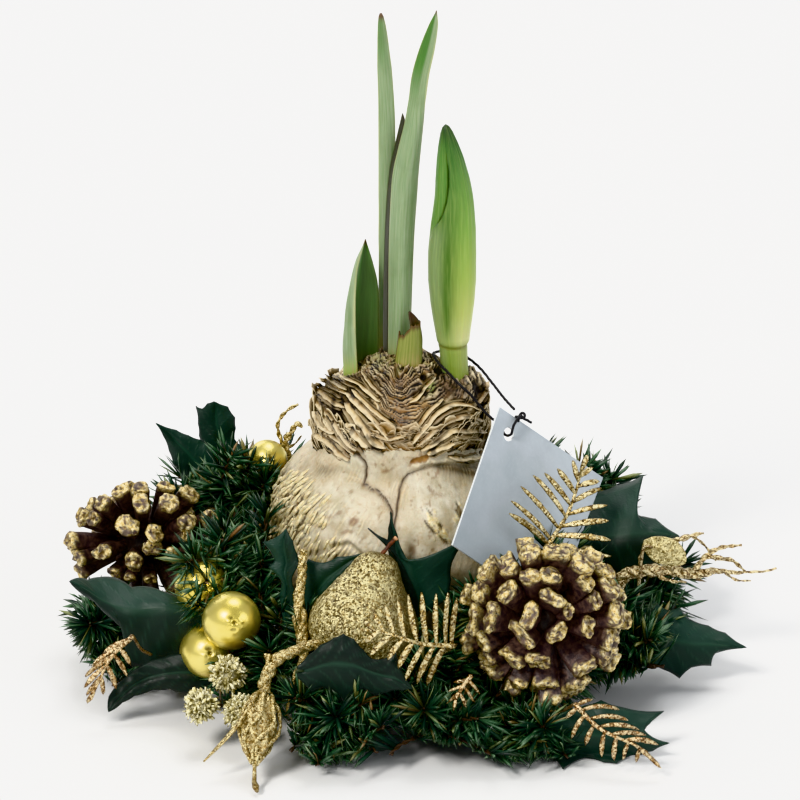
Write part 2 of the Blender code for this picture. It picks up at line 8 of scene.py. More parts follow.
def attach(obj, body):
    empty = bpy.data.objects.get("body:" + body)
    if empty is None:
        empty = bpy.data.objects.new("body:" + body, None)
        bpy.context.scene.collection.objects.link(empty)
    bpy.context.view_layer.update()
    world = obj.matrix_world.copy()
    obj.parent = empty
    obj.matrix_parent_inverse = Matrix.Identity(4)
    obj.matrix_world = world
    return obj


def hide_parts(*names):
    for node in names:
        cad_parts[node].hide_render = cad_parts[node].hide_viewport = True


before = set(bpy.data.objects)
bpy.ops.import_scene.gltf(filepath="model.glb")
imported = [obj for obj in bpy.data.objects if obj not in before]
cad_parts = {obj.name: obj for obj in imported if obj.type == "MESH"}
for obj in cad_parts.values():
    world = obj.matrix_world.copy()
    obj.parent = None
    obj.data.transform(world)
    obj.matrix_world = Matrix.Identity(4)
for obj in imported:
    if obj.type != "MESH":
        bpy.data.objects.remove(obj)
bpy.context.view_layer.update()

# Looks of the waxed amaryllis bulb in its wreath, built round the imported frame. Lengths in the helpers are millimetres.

MM = 0.001
TAU = 2 * math.pi
COS24, SIN24 = math.cos(math.radians(24)), math.sin(math.radians(24))


# ================================================================ small maths
def vec(p):
    return np.array(p, float)


def unit(v):
    n = float(np.linalg.norm(v))
    return v / n if n > 1e-12 else v


def units(v):
    return v / np.maximum(np.linalg.norm(v, axis=-1, keepdims=True), 1e-12)


def wrap(a):
    return (a + np.pi) % TAU - np.pi


def step(x, a, b):
    t = np.clip((x - a) / (b - a), 0.0, 1.0)
    return t * t * (3 - 2 * t)


def smax(a, b, k):
    h = np.clip(0.5 + 0.5 * (a - b) / k, 0, 1)
    return b + (a - b) * h + k * h * (1 - h)


def hash3(i, j, k, seed):
    h = (i.astype(np.int64) * 374761393 + j.astype(np.int64) * 668265263 + k.astype(np.int64) * 2147483647 + seed * 144665) & 0xFFFFFFFF
    h = ((h ^ (h >> 13)) * 1274126177) & 0xFFFFFFFF
    h = ((h ^ (h >> 16)) * 2246822519) & 0xFFFFFFFF
    return ((h ^ (h >> 15)) & 0xFFFFFF) / float(0xFFFFFF)


def vnoise(p, seed=0):
    """Smooth lattice noise from -1 to 1 at points p (n, 3)."""
    f = np.floor(p)
    t = p - f
    t = t * t * (3 - 2 * t)
    i, j, k = f[..., 0].astype(np.int64), f[..., 1].astype(np.int64), f[..., 2].astype(np.int64)
    out = 0.0
    for a in (0, 1):
        for b in (0, 1):
            for c in (0, 1):
                w = (t[..., 0] if a else 1 - t[..., 0]) * (t[..., 1] if b else 1 - t[..., 1]) * (t[..., 2] if c else 1 - t[..., 2])
                out = out + w * hash3(i + a, j + b, k + c, seed)
    return out * 2 - 1


def fbm(p, octaves=4, seed=0, gain=0.5):
    out, amp, tot = 0.0, 1.0, 0.0
    for o in range(octaves):
        out = out + amp * vnoise(p * (2.03 ** o) + 17.3 * o, seed + o)
        tot += amp
        amp *= gain
    return out / tot


def smooth_path(points, count):
    p = [vec(q) for q in points]
    p = [2 * p[0] - p[1]] + p + [2 * p[-1] - p[-2]]
    fine = []
    for i in range(1, len(p) - 2):
        for k in range(24):
            t = k / 24.0
            fine.append(0.5 * ((2 * p[i]) + (-p[i - 1] + p[i + 1]) * t
                               + (2 * p[i - 1] - 5 * p[i] + 4 * p[i + 1] - p[i + 2]) * t * t
                               + (-p[i - 1] + 3 * p[i] - 3 * p[i + 1] + p[i + 2]) * t ** 3))
    fine.append(p[-2])
    fine = np.array(fine)
    run = np.concatenate([[0.0], np.cumsum(np.linalg.norm(np.diff(fine, axis=0), axis=1))])
    want = np.linspace(0.0, run[-1], count)
    return np.stack([np.interp(want, run, fine[:, k]) for k in range(3)], axis=1)


def frames_along(path, side):
    """Tangent, side and face directions along a path, carried without twist."""
    t = units(np.gradient(path, axis=0))
    s = vec(side)
    ss = np.zeros_like(path)
    for i in range(len(path)):
        s = unit(s - t[i] * float(np.dot(s, t[i])))
        ss[i] = s
    return t, ss, np.cross(t, ss)


def noise_path(path, amp, scale, seed):
    p = path.copy()
    for k in range(3):
        p[:, k] += amp * vnoise(path / scale + 31.7 * k, seed + k)
    return p


# ================================================================ mesh makers
class Geo:
    """Collects points (mm), faces and point attributes for one object."""

    def __init__(self):
        self.v, self.f3, self.f4, self.n = [], [], [], 0
        self.attrs = {}

    def add(self, v, f3=None, f4=None, **attrs):
        v = np.asarray(v, float).reshape(-1, 3)
        if f3 is not None and len(f3):
            self.f3.append(np.asarray(f3, np.int64) + self.n)
        if f4 is not None and len(f4):
            self.f4.append(np.asarray(f4, np.int64) + self.n)
        for k in set(self.attrs) | set(attrs):
            a = attrs.get(k, 0.0)
            a = np.full(len(v), a, float) if np.ndim(a) == 0 else np.asarray(a, float).reshape(-1)
            self.attrs.setdefault(k, [np.zeros(self.n)] if self.n else []).append(a)
        self.v.append(v)
        self.n += len(v)
        return self

    def build(self, name, mats, smooth=True, face_mats=None, sharp=None):
        v = np.concatenate(self.v) * MM
        f3 = np.concatenate(self.f3) if self.f3 else np.zeros((0, 3), np.int64)
        f4 = np.concatenate(self.f4) if self.f4 else np.zeros((0, 4), np.int64)
        me = bpy.data.meshes.new(name)
        me.vertices.add(len(v))
        me.vertices.foreach_set("co", v.astype(np.float32).ravel())
        loops = np.concatenate([f3.ravel(), f4.ravel()]).astype(np.int32)
        me.loops.add(len(loops))
        me.loops.foreach_set("vertex_index", loops)
        starts = np.concatenate([np.arange(len(f3)) * 3, len(f3) * 3 + np.arange(len(f4)) * 4]).astype(np.int32)
        me.polygons.add(len(starts))
        me.polygons.foreach_set("loop_start", starts)
        if face_mats is not None:
            me.polygons.foreach_set("material_index", np.asarray(face_mats, np.int32))
        me.update(calc_edges=True)
        me.validate()
        for k, a in self.attrs.items():
            at = me.attributes.new(k, "FLOAT", "POINT")
            at.data.foreach_set("value", np.concatenate(a).astype(np.float32))
        for m in mats if isinstance(mats, (list, tuple)) else [mats]:
            me.materials.append(m)
        if smooth:
            me.shade_smooth()
            if sharp:
                me.set_sharp_from_angle(angle=math.radians(sharp))
        o = bpy.data.objects.new(name, me)
        bpy.context.scene.collection.objects.link(o)
        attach(o, "root")
        return o


def grid_faces(rows, cols, closed_cols=False, flip=False):
    c = cols if closed_cols else cols - 1
    i, j = np.meshgrid(np.arange(rows - 1), np.arange(c), indexing="ij")
    j2 = (j + 1) % cols
    f = np.stack([i * cols + j, i * cols + j2, (i + 1) * cols + j2, (i + 1) * cols + j], axis=-1).reshape(-1, 4)
    return f[:, ::-1] if flip else f


def fan(first, count, centre, flip=False):
    k = np.arange(count)
    f = np.stack([first + k, first + (k + 1) % count, np.full(count, centre)], axis=-1)
    return f[:, ::-1] if flip else f


def add_tube(g, path, radii, sides, side=(0.31, 0.17, 0.93), squash=1.0, **attrs):
    """Closed tube; radii (n,), ends closed by fans. attrs may hold per-ring arrays."""
    n = len(path)
    _, s, f = frames_along(path, side)
    a = np.arange(sides) * TAU / sides
    r = np.broadcast_to(np.asarray(radii, float), (n,))
    v = path[:, None] + r[:, None, None] * (np.cos(a)[None, :, None] * s[:, None] + squash * np.sin(a)[None, :, None] * f[:, None])
    v = v.reshape(-1, 3)
    v = np.concatenate([v, path[:1], path[-1:]])
    f4 = grid_faces(n, sides, True)
    f3 = np.concatenate([fan(0, sides, n * sides, True), fan((n - 1) * sides, sides, n * sides + 1)])
    out = {}
    for k, x in attrs.items():
        if np.ndim(x) == 1:
            out[k] = np.concatenate([np.repeat(x, sides), [x[0], x[-1]]])
        else:
            out[k] = x
    g.add(v, f3, f4, **out)


# ================================================================ materials
def new_mat(name):
    m = bpy.data.materials.new(name)
    m.use_nodes = True
    nt = m.node_tree
    b = nt.nodes["Principled BSDF"]
    return m, nt, b


class NT:
    """Short hand for wiring nodes."""

    def __init__(self, name):
        self.m, self.nt, self.b = new_mat(name)
        self.tc = self.nt.nodes.new("ShaderNodeTexCoord")

    def node(self, kind, **props):
        n = self.nt.nodes.new(kind)
        for k, v in props.items():
            setattr(n, k, v)
        return n

    def link(self, a, b):
        self.nt.links.new(a, b)

    def put(self, socket, value):
        if hasattr(value, "is_output") or isinstance(value, bpy.types.NodeSocket):
            self.link(value, socket)
        else:
            socket.default_value = value

    def attr(self, name):
        n = self.node("ShaderNodeAttribute")
        n.attribute_name = name
        return n.outputs["Fac"]

    def noise(self, scale, detail=4.0, rough=0.55, distort=0.0, vector=None):
        n = self.node("ShaderNodeTexNoise")
        n.inputs["Scale"].default_value = scale
        n.inputs["Detail"].default_value = detail
        n.inputs["Roughness"].default_value = rough
        n.inputs["Distortion"].default_value = distort
        self.link(vector or self.tc.outputs["Object"], n.inputs["Vector"])
        return n.outputs["Fac"]

    def voronoi(self, scale, feature="F1", out="Distance", vector=None, random=1.0):
        n = self.node("ShaderNodeTexVoronoi", feature=feature)
        n.inputs["Scale"].default_value = scale
        n.inputs["Randomness"].default_value = random
        self.link(vector or self.tc.outputs["Object"], n.inputs["Vector"])
        return n.outputs[out]

    def stretch(self, scale, rot=(0, 0, 0)):
        n = self.node("ShaderNodeMapping")
        n.inputs["Scale"].default_value = scale
        n.inputs["Rotation"].default_value = rot
        self.link(self.tc.outputs["Object"], n.inputs["Vector"])
        return n.outputs["Vector"]

    def ramp(self, fac, stops, mode="LINEAR"):
        n = self.node("ShaderNodeValToRGB")
        cr = n.color_ramp
        cr.interpolation = mode
        while len(cr.elements) < len(stops):
            cr.elements.new(0.5)
        for e, (p, c) in zip(cr.elements, stops):
            e.position = p
            e.color = (*c, 1.0) if len(c) == 3 else c
        self.link(fac, n.inputs["Fac"])
        return n.outputs["Color"]

    def mix(self, fac, a, b, mode="MIX"):
        n = self.node("ShaderNodeMix", data_type="RGBA", blend_type=mode)
        self.put(n.inputs[0], fac)
        self.put(n.inputs[6], a if not isinstance(a, tuple) else (*a, 1.0))
        self.put(n.inputs[7], b if not isinstance(b, tuple) else (*b, 1.0))
        return n.outputs[2]

    def math(self, op, a, b=0.0, c=None, clamp=False):
        n = self.node("ShaderNodeMath", operation=op, use_clamp=clamp)
        self.put(n.inputs[0], a)
        self.put(n.inputs[1], b)
        if c is not None:
            self.put(n.inputs[2], c)
        return n.outputs[0]

    def span(self, v, a, b, lo=0.0, hi=1.0):
        n = self.node("ShaderNodeMapRange")
        n.inputs["From Min"].default_value = a
        n.inputs["From Max"].default_value = b
        n.inputs["To Min"].default_value = lo
        n.inputs["To Max"].default_value = hi
        self.link(v, n.inputs["Value"])
        return n.outputs["Result"]

    def bump(self, height, strength=0.5, distance=0.0005, normal=None):
        n = self.node("ShaderNodeBump")
        n.inputs["Strength"].default_value = strength
        n.inputs["Distance"].default_value = distance
        self.link(height, n.inputs["Height"])
        if normal is not None:
            self.link(normal, n.inputs["Normal"])
        return n.outputs["Normal"]

    def set(self, **kw):
        names = {"color": "Base Color", "rough": "Roughness", "metal": "Metallic", "spec": "Specular IOR Level", "coat": "Coat Weight",
                 "coat_rough": "Coat Roughness", "sheen": "Sheen Weight", "sss": "Subsurface Weight", "sss_scale": "Subsurface Scale",
                 "normal": "Normal", "trans": "Transmission Weight", "sheen_rough": "Sheen Roughness", "aniso": "Anisotropic"}
        for k, v in kw.items():
            s = self.b.inputs[names[k]]
            self.put(s, (*v, 1.0) if isinstance(v, tuple) and len(v) == 3 else v)
        return self.m


def srgb(r, g, b):
    def lin(c):
        c /= 255.0
        return c / 12.92 if c <= 0.04045 else ((c + 0.055) / 1.055) ** 2.4
    return (lin(r), lin(g), lin(b))


# ================================================================ stage: floor, lights, camera
def make_stage():
    sc = bpy.context.scene
    sc.view_settings.view_transform = "Khronos PBR Neutral"
    w = bpy.data.worlds.new("studio")
    sc.world = w
    w.use_nodes = True
    bg = w.node_tree.nodes["Background"]
    bg.inputs["Color"].default_value = (0.95, 0.965, 1.0, 1.0)
    bg.inputs["Strength"].default_value = 0.42

    # flat for two metres round the object, then a very shallow bowl
    g = Geo()
    n = 96
    far = np.concatenate([np.geomspace(60, 2000, 14), np.linspace(2150, 5950, 26)])
    high = 12.35 * np.clip(far / 1000 - 2, 0, None) ** 2
    a = np.arange(n) * TAU / n
    v = np.stack([np.outer(far, np.cos(a)).ravel(), np.outer(far, np.sin(a)).ravel(), np.repeat(high, n)], axis=1)
    k = len(far) * n
    g.add(np.concatenate([v, [[0.0, 0.0, 0.0]]]), f3=fan(0, n, k), f4=grid_faces(len(far), n, True, True))
    t = NT("floor_paper")
    fine = t.noise(380.0, 3.0)
    t.set(color=t.mix(t.span(t.noise(3.0, 2.0), 0.3, 0.7), (0.83, 0.83, 0.83), (0.86, 0.86, 0.855)), rough=0.9, spec=0.0,
          normal=t.bump(fine, 0.06, 0.0002))
    me_obj = g.build("floor", t.m)

    def lamp(name, loc, aim, power, wide, color=(1, 1, 1)):
        li = bpy.data.lights.new(name, "SUN")
        li.energy = power
        li.angle = math.radians(wide)
        li.color = color
        o = bpy.data.objects.new(name, li)
        o.location = loc
        o.rotation_mode = "QUATERNION"
        o.rotation_quaternion = (Vector(aim) - Vector(loc)).to_track_quat("-Z", "Y")
        o.visible_camera = False
        sc.collection.objects.link(o)

    lamp("key", (-1.05, -1.35, 1.75), (0, 0, 0.10), 2.55, 15.0, (1.0, 0.975, 0.94))
    lamp("fill", (1.7, -1.3, 1.1), (0, 0, 0.10), 0.70, 34.0, (0.94, 0.965, 1.0))
    lamp("top", (0.25, 0.5, 2.0), (0, 0, 0.12), 1.15, 26.0, (1.0, 1.0, 1.0))
    lamp("back", (-0.9, 1.9, 1.3), (0, 0, 0.10), 0.70, 28.0, (1.0, 0.98, 0.95))

    cam = bpy.data.cameras.new("camera")
    co = bpy.data.objects.new("camera", cam)
    sc.collection.objects.link(co)
    dist, wide = 10.0, 0.2896
    cam.sensor_width = 36.0
    cam.lens = 36.0 * dist / wide
    cam.clip_start, cam.clip_end = 0.05, 200.0
    ahead = Vector((0.0, COS24, -SIN24))
    aim = Vector((0.0, 0.0, 0.1016))
    co.location = aim - ahead * dist
    co.rotation_mode = "QUATERNION"
    co.rotation_quaternion = ahead.to_track_quat("-Z", "Y")
    sc.camera = co


make_stage()


# ================================================================ waxed body and papery neck
BODY_PROFILE = [(0.0, 30.0), (2.5, 36.0), (10.0, 41.5), (20.0, 45.0), (34.0, 47.0), (48.0, 47.5),
                (58.0, 46.6), (65.0, 44.9), (70.0, 42.9), (74.0, 40.4), (77.0, 37.8), (80.0, 35.2),
                (83.0, 33.6), (87.0, 32.8), (92.0, 32.3), (99.0, 32.0)]
_pf = smooth_path([(z, r, 0.0) for z, r in BODY_PROFILE], 260)


def base_r(z):
    return np.interp(z, _pf[:, 0], _pf[:, 1])


def rim_z(th):
    front = 0.5 * (1.0 + np.cos(wrap(th + np.pi / 2)))
    return 81.6 + 14.4 * front ** 2.7


def crown_z(r, th):
    return 113.5 - 0.0105 * r * r + 0.006 * r * r * np.cos(th) ** 2


def dense_front(n, more=0.5):
    t = np.arange(n) / n - 0.5
    return -np.pi / 2 + TAU * t - more * np.sin(TAU * t)


def line_distance(x, s, pts):
    """Distance in the front view from each point to an open polyline, and the place along it."""
    best = np.full(x.shape, 1e9)
    along = np.zeros(x.shape)
    run = 0.0
    for (ax, ay), (bx, by) in zip(pts[:-1], pts[1:]):
        dx, dy = bx - ax, by - ay
        ll = math.hypot(dx, dy)
        t = np.clip(((x - ax) * dx + (s - ay) * dy) / (ll * ll), 0, 1)
        d = np.hypot(x - ax - t * dx, s - ay - t * dy)
        near = d < best
        best = np.where(near, d, best)
        along = np.where(near, run + t * ll, along)
        run += ll
    return best, along


LEFT_LIP = [(-3.6, 12), (-2.7, 38), (-2.4, 47), (-3.0, 51.6), (-5.6, 56.0), (-8.5, 58.9), (-13.8, 61.4)]
RIGHT_LIP = [(-2.2, 12), (-1.7, 38), (-1.6, 47), (-1.1, 52.7), (-0.3, 59.5), (0.9, 62.4), (3.2, 65.0), (7.0, 66.9), (11.5, 67.9)]
SPLIT = [(-14.1, 61.4), (-13.4, 64.5), (-13.2, 67.6), (-13.9, 70.0), (-16.2, 73.2), (-19.2, 78.2), (-21.5, 84.0)]
RIDGE = [(6.0, 69.0), (10.4, 70.2), (18.0, 71.4), (28.7, 72.1), (38.0, 69.0)]
VALLEY = [(9.0, 68.3), (14.0, 68.3), (20.0, 67.6), (27.5, 66.2), (36.0, 62.0)]


def wax_shape(th, z):
    """Radius and paint masks of the wax surface."""
    r0 = base_r(z)
    x, y = r0 * np.cos(th), r0 * np.sin(th)
    s = COS24 * z + SIN24 * y
    p = np.stack([x, y, z], axis=-1)
    front = step(-y, 2.0, 16.0)
    xw = x + 0.55 * vnoise(p / 5.0, 3) + 0.2 * vnoise(p / 1.6, 13)
    sw = s + 0.55 * vnoise(p / 5.0, 4) + 0.2 * vnoise(p / 1.6, 14)
    dl, al = line_distance(xw, sw, LEFT_LIP)
    dr, ar = line_distance(xw, sw, RIGHT_LIP)
    d2, a2 = line_distance(xw, sw, SPLIT)
    top_l = np.interp(xw, [-60, -33, -22, -14.1, -8.5, -5.6, -3.0, -2.4], [64.0, 66.5, 65.5, 61.7, 58.9, 56.0, 51.6, 47])
    top_r = np.interp(xw, [-1.6, -1.1, -0.3, 0.9, 3.2, 10.6, 20, 32, 60], [47, 52.7, 59.5, 62.4, 65.0, 67.6, 68.4, 67.0, 60])
    left_side = xw < -2.0
    over = np.where(left_side, sw - top_l, sw - top_r)
    d = np.minimum(dl, dr)
    # lobes swell away from their lips; the wedge between them lies lower and its edge softens outwards
    soft = np.where(left_side, 0.5 + 7.0 * step(-xw, 13.0, 30.0), 0.5 + 1.6 * step(xw, 8.0, 24.0))
    collar = step(over, -0.5 * soft, 0.5 * soft) * step(sw, 45.5, 47.0)
    swell = 3.0 * (1 - np.exp(-d / 5.0)) - 1.6
    body_h = swell * step(sw, 20, 34) + 1.0 * (1 - step(sw, 20, 34))
    wedge_h = -1.7 - 0.5 * (1 - np.exp(-d / 1.6)) + 1.9 * step(sw, 61, 75)
    shoulder = step(-xw, 15.0, 27.0)
    wedge_h = wedge_h * (1 - shoulder) + 0.6 * shoulder
    h = wedge_h * collar + body_h * (1 - collar)
    crack_w = np.where(dl < dr, np.interp(al, [0, 20, 36, 50, 56, 60], [0.9, 1.0, 1.0, 0.95, 0.9, 0.85]),
                       np.interp(ar, [0, 20, 36, 54, 60, 64], [0.9, 1.0, 1.0, 0.85, 0.45, 0.0]))
    crack = np.exp(-(d / 0.42) ** 2) * crack_w
    split = np.exp(-(d2 / (0.38 + 0.25 * step(a2, 6, 16))) ** 2)
    crack = np.maximum(crack, split)
    h = h - 0.9 * crack - 0.35 * np.exp(-(d2 / 1.3) ** 2)
    h = h + np.where(xw < np.interp(sw, [60, 66, 72, 80], [-13.6, -13.2, -15.6, -20.0]), 0.45, -0.15) * np.exp(-d2 / 3.0) * step(sw, 60, 63)
    dg, _ = line_distance(xw, sw, RIDGE)
    dv, _ = line_distance(xw, sw, VALLEY)
    h = h + 0.9 * np.exp(-(dg / 1.3) ** 2) - 0.95 * np.exp(-(dv / 1.35) ** 2)
    # back and sides: softer daughter swellings so that no side is a plain turned form
    around = 0.9 * np.sin(3 * th + 0.6) + 0.6 * np.sin(5 * th - 1.1 + z / 30.0)
    furrow_b = np.exp(-(wrap(th - 1.15 - 0.004 * (z - 50)) / 0.05) ** 2) * step(z, 18, 40) * (1 - step(z, 66, 80))
    furrow_c = np.exp(-(wrap(th - 2.75 + 0.003 * (z - 50)) / 0.045) ** 2) * step(z, 30, 50) * (1 - step(z, 70, 82))
    back_h = around * step(z, 8, 30) * (1 - step(z, 70, 84)) - 1.6 * furrow_b - 1.3 * furrow_c
    h = front * h + (1 - front) * back_h
    crack = crack * front + (1 - front) * np.maximum(furrow_b ** 6, furrow_c ** 6) * 0.8
    # slow swells, dents and a skin of fine relief
    h = h + 0.5 * fbm(p / 13.0, 3, 11) + 0.22 * fbm(p / 3.6, 3, 12)
    pleat = vnoise(np.stack([th * 46 / 2.6, z / 16.0, th * 0], -1), 15)
    h = h + 0.22 * pleat * step(z, 20, 40)
    # wrinkles: short gilded dashes that run down to the left on the show side's left flank, fainter elsewhere
    arc = 46.0 * th
    flank = step(-x, 27, 36) * step(s, 38, 45) * (1 - step(s, 63, 69)) * front
    flank = np.maximum(flank, step(-x, 33, 42) * step(z, 26, 40) * (1 - step(z, 66, 78)) * 0.9)
    low = np.exp(-((x + 25) / 11) ** 2 - ((s - 36.5) / 6.5) ** 2) * front
    mid = np.exp(-((x + 30.5) / 5.0) ** 2 - ((s - 52) / 9.0) ** 2) * front
    mask = np.clip(np.maximum(np.maximum(flank, 0.9 * low), 0.75 * mid) + 0.22 * vnoise(p / 7.0, 21), 0, 1)
    ph = ((arc - 0.5 * (z - 50)) / 1.12 + 1.0 * vnoise(p / 5.0, 22) + 0.45 * vnoise(p / 1.8, 23)) / 1.75
    cell = np.floor(ph)
    tri = 1 - np.abs((ph - cell) * 2 - 1)
    dash = step(vnoise(np.stack([cell * 1.7, (0.5 * arc + z) / 1.12 / 4.6 + cell * 0.37, z * 0], -1), 24), -0.50, -0.05)
    wr = tri ** 1.2 * dash
    h = h + mask * (1.05 * (wr - 0.3) - 0.25 * (1 - dash))
    vein = np.clip(1 - np.abs(fbm(p / np.array([5.0, 5.0, 8.0]), 3, 31)) * 2.4, 0, 1) ** 6
    h = h - 0.16 * vein * (1 - mask)
    gold = mask * step(wr, 0.34, 0.66)
    # painted shade in the gaps between the gilt wrinkles, deeper towards the left silhouette
    far = 0.55 + 0.45 * step(-x, 31, 38)
    wrinkle_gap_shade = mask * far * (1 - step(tri, 0.28, 0.62)) * step(dash, 0.0, 0.6)
    wrinkle_gap_shade = np.maximum(wrinkle_gap_shade, 0.75 * mask * far * (1 - dash))
    # flaked gilt at the right lobe; the grooves between the flakes are painted dark as shade
    u = (x - 13.2) * 0.55 - (s - 47.0) * 0.83
    q = (x - 13.2) * 0.83 + (s - 47.0) * 0.55
    patch = np.exp(-(u / 8.5) ** 2 - (q / 3.2) ** 2) * front
    patch = np.maximum(patch, 0.75 * np.exp(-((x - 20.5) / 2.2) ** 2 - ((s - 52) / 7.0) ** 2) * front)
    streak = vnoise(np.stack([q / 0.8, u / 3.0, q * 0], -1), 41)
    gold2 = step(patch + 0.55 * streak, 0.62, 0.80) * step(patch, 0.12, 0.35)
    flake_groove_shade = step(patch - 0.6 * streak, 0.72, 0.92) * step(patch, 0.12, 0.35)
    h = h + 0.5 * gold2 - 0.45 * flake_groove_shade
    gold = np.maximum(gold, gold2)

    def spot(cx, cs, a, b, ang, soft=0.25, seed=0):
        ca, sa = math.cos(ang), math.sin(ang)
        uu, vv = (x - cx) * ca + (s - cs) * sa, -(x - cx) * sa + (s - cs) * ca
        return (1 - step(np.sqrt((uu / a) ** 2 + (vv / b) ** 2) + 0.25 * vnoise(p / 1.5, 50 + seed), 1 - soft, 1 + soft)) * front
    # the lobe rolls over to a lip at its lower edge
    rl, _ = line_distance(xw, sw, [(-22.5, 42.6), (-19.0, 43.6), (-15.0, 41.6), (-12.6, 38.6)])
    rd, _ = line_distance(xw, sw, [(-22.5, 40.2), (-18.0, 41.0), (-14.6, 38.6), (-13.0, 35.4)])
    h = h + 0.7 * np.exp(-(rl / 1.3) ** 2) * front - 0.9 * np.exp(-(rd / 1.1) ** 2) * front
    # one long brown scar under the neck, and bruises
    uu, vv = (x - 7.6) * 0.94 + (s - 71.2) * 0.34, -(x - 7.6) * 0.34 + (s - 71.2) * 0.94
    scar = (1 - step(np.sqrt((uu / 4.5) ** 2 + ((vv + 0.25 * np.sin(uu * 1.1)) / 1.05) ** 2) + 0.22 * vnoise(p / 1.1, 49), 0.80, 1.08)) * front
    brown = scar
    h = h - 0.35 * scar
    brown = np.maximum(brown, 0.9 * spot(-16.4, 49.3, 1.7, 1.3, 0.6, 0.5, 2))
    brown = np.maximum(brown, 0.7 * spot(-18.8, 45.6, 2.0, 0.8, 0.2, 0.5, 3))
    brown = np.maximum(brown, 0.75 * spot(-5.4, 66.5, 1.5, 0.7, 0.4, 0.5, 4))
    brown = np.maximum(brown, 0.5 * spot(-3.2, 67.3, 1.3, 0.5, 0.5, 0.5, 8))
    brown = np.maximum(brown, 0.7 * spot(4.6, 38.6, 1.4, 1.8, 0.3, 0.5, 5))
    brown = np.maximum(brown, 0.5 * spot(-24.5, 51.0, 2.3, 0.8, 0.1, 0.6, 6))
    brown = np.maximum(brown, 0.45 * spot(13.0, 59.0, 2.6, 0.7, -0.1, 0.6, 7))
    brown = np.maximum(brown, 0.55 * spot(-17.8, 59.5, 0.8, 0.8, 0.0, 0.5, 9))
    brown = np.maximum(brown, 0.6 * spot(-7.2, 51.0, 0.8, 3.0, 0.15, 0.6, 10) * step(vnoise(p / 1.3, 64), -0.1, 0.3))
    specks = step(vnoise(p / 1.3, 61), 0.56, 0.70) * step(vnoise(p / 6.0, 62), -0.25, 0.2)
    brown = np.maximum(brown, 0.55 * specks)
    # painted shade: a soft brown halo along the lips and the split, joined to the stain mask in the return
    seam = np.exp(-(d / 1.5) ** 2) * crack_w * front * 0.5 + np.exp(-(d2 / 1.2) ** 2) * front * 0.45
    # painted shade: olive-brown dark in the wrinkle gaps and flake grooves, under the ridge below the neck, at the left
    # shoulder and towards the far left
    olive = np.clip(wrinkle_gap_shade * 1.0 + 0.30 * mask * far + flake_groove_shade * 0.9 + 0.85 * np.exp(-(dv / 1.9) ** 2) * front * step(xw, 9, 15)
                    + 0.55 * np.exp(-((x + 25.5) / 4.2) ** 2 - ((s - 67.6) / 1.9) ** 2) * front
                    + 0.35 * step(-x, 24, 40) * step(s, 62, 66) * front, 0, 1)
    # the last mask is a painted highlight along the ridge at the right below the neck and on a patch left of the split
    return r0 + h, dict(crack=np.clip(crack, 0, 1), gold=gold, brown=np.maximum(brown, seam * 0.6), olive=olive,
                        scar=scar, pale=np.clip(np.exp(-(dg / 1.1) ** 2) * front + 0.5 * np.exp(-((x + 20) / 4.0) ** 2 - ((s - 69.5) / 3.0) ** 2) * front, 0, 1))


def wax_material():
    t = NT("wax_cream_gilded")
    a = t.span(t.noise(150.0, 5.0, 0.62), 0.36, 0.66)
    b = t.span(t.noise(46.0, 5.0, 0.62, 0.6), 0.40, 0.66)
    fine = t.noise(900.0, 3.0, 0.6)
    col = t.mix(a, srgb(182, 171, 142), srgb(213, 207, 187))
    col = t.mix(t.math("MULTIPLY", b, 0.45), col, srgb(204, 182, 146))
    col = t.mix(t.math("MULTIPLY", t.span(t.noise(330.0, 5.0, 0.7, 0.6), 0.53, 0.66), 0.45), col, srgb(172, 142, 100))
    # painted highlight: the ridge below the neck and the patch left of the split turn pale cream
    col = t.mix(t.math("MULTIPLY", t.attr("pale"), 0.5), col, srgb(238, 228, 198))
    # painted shade: the olive-brown of the wrinkle gaps, grooves and shaded hollows
    col = t.mix(t.math("MULTIPLY", t.attr("olive"), 0.95, clamp=True), col, t.mix(t.span(t.noise(300.0, 3.0), 0.35, 0.65), srgb(44, 34, 14), srgb(88, 70, 36)))
    # brown stains and bruises, plus painted crease shade along the lips and the split
    col = t.mix(t.math("MULTIPLY", t.attr("brown"), 0.9, clamp=True), col, srgb(116, 78, 38))
    col = t.mix(t.math("MULTIPLY", t.attr("scar"), 0.9), col, t.mix(t.span(t.noise(420.0, 3.0), 0.35, 0.65), srgb(112, 76, 30), srgb(156, 116, 58)))
    gold = t.math("MULTIPLY", t.attr("gold"), t.span(t.noise(520.0, 3.0), 0.30, 0.46), clamp=True)
    col = t.mix(t.math("MULTIPLY", gold, 0.85), col, t.mix(t.span(fine, 0.35, 0.65), srgb(222, 196, 128), srgb(255, 246, 204)))
    col = t.mix(t.math("MULTIPLY", t.attr("crack"), 1.0, clamp=True), col, srgb(50, 28, 12))
    rough = t.math("SUBTRACT", t.span(t.noise(300.0, 3.0), 0.2, 0.8, 0.40, 0.58), t.math("MULTIPLY", gold, 0.14))
    n1 = t.bump(fine, 0.25, 0.0004)
    n2 = t.bump(t.noise(260.0, 5.0, 0.7), 0.5, 0.0008, n1)
    return t.set(color=col, rough=rough, metal=t.math("MULTIPLY", gold, 0.45), spec=0.45, sss=0.05, sss_scale=0.003, normal=n2)


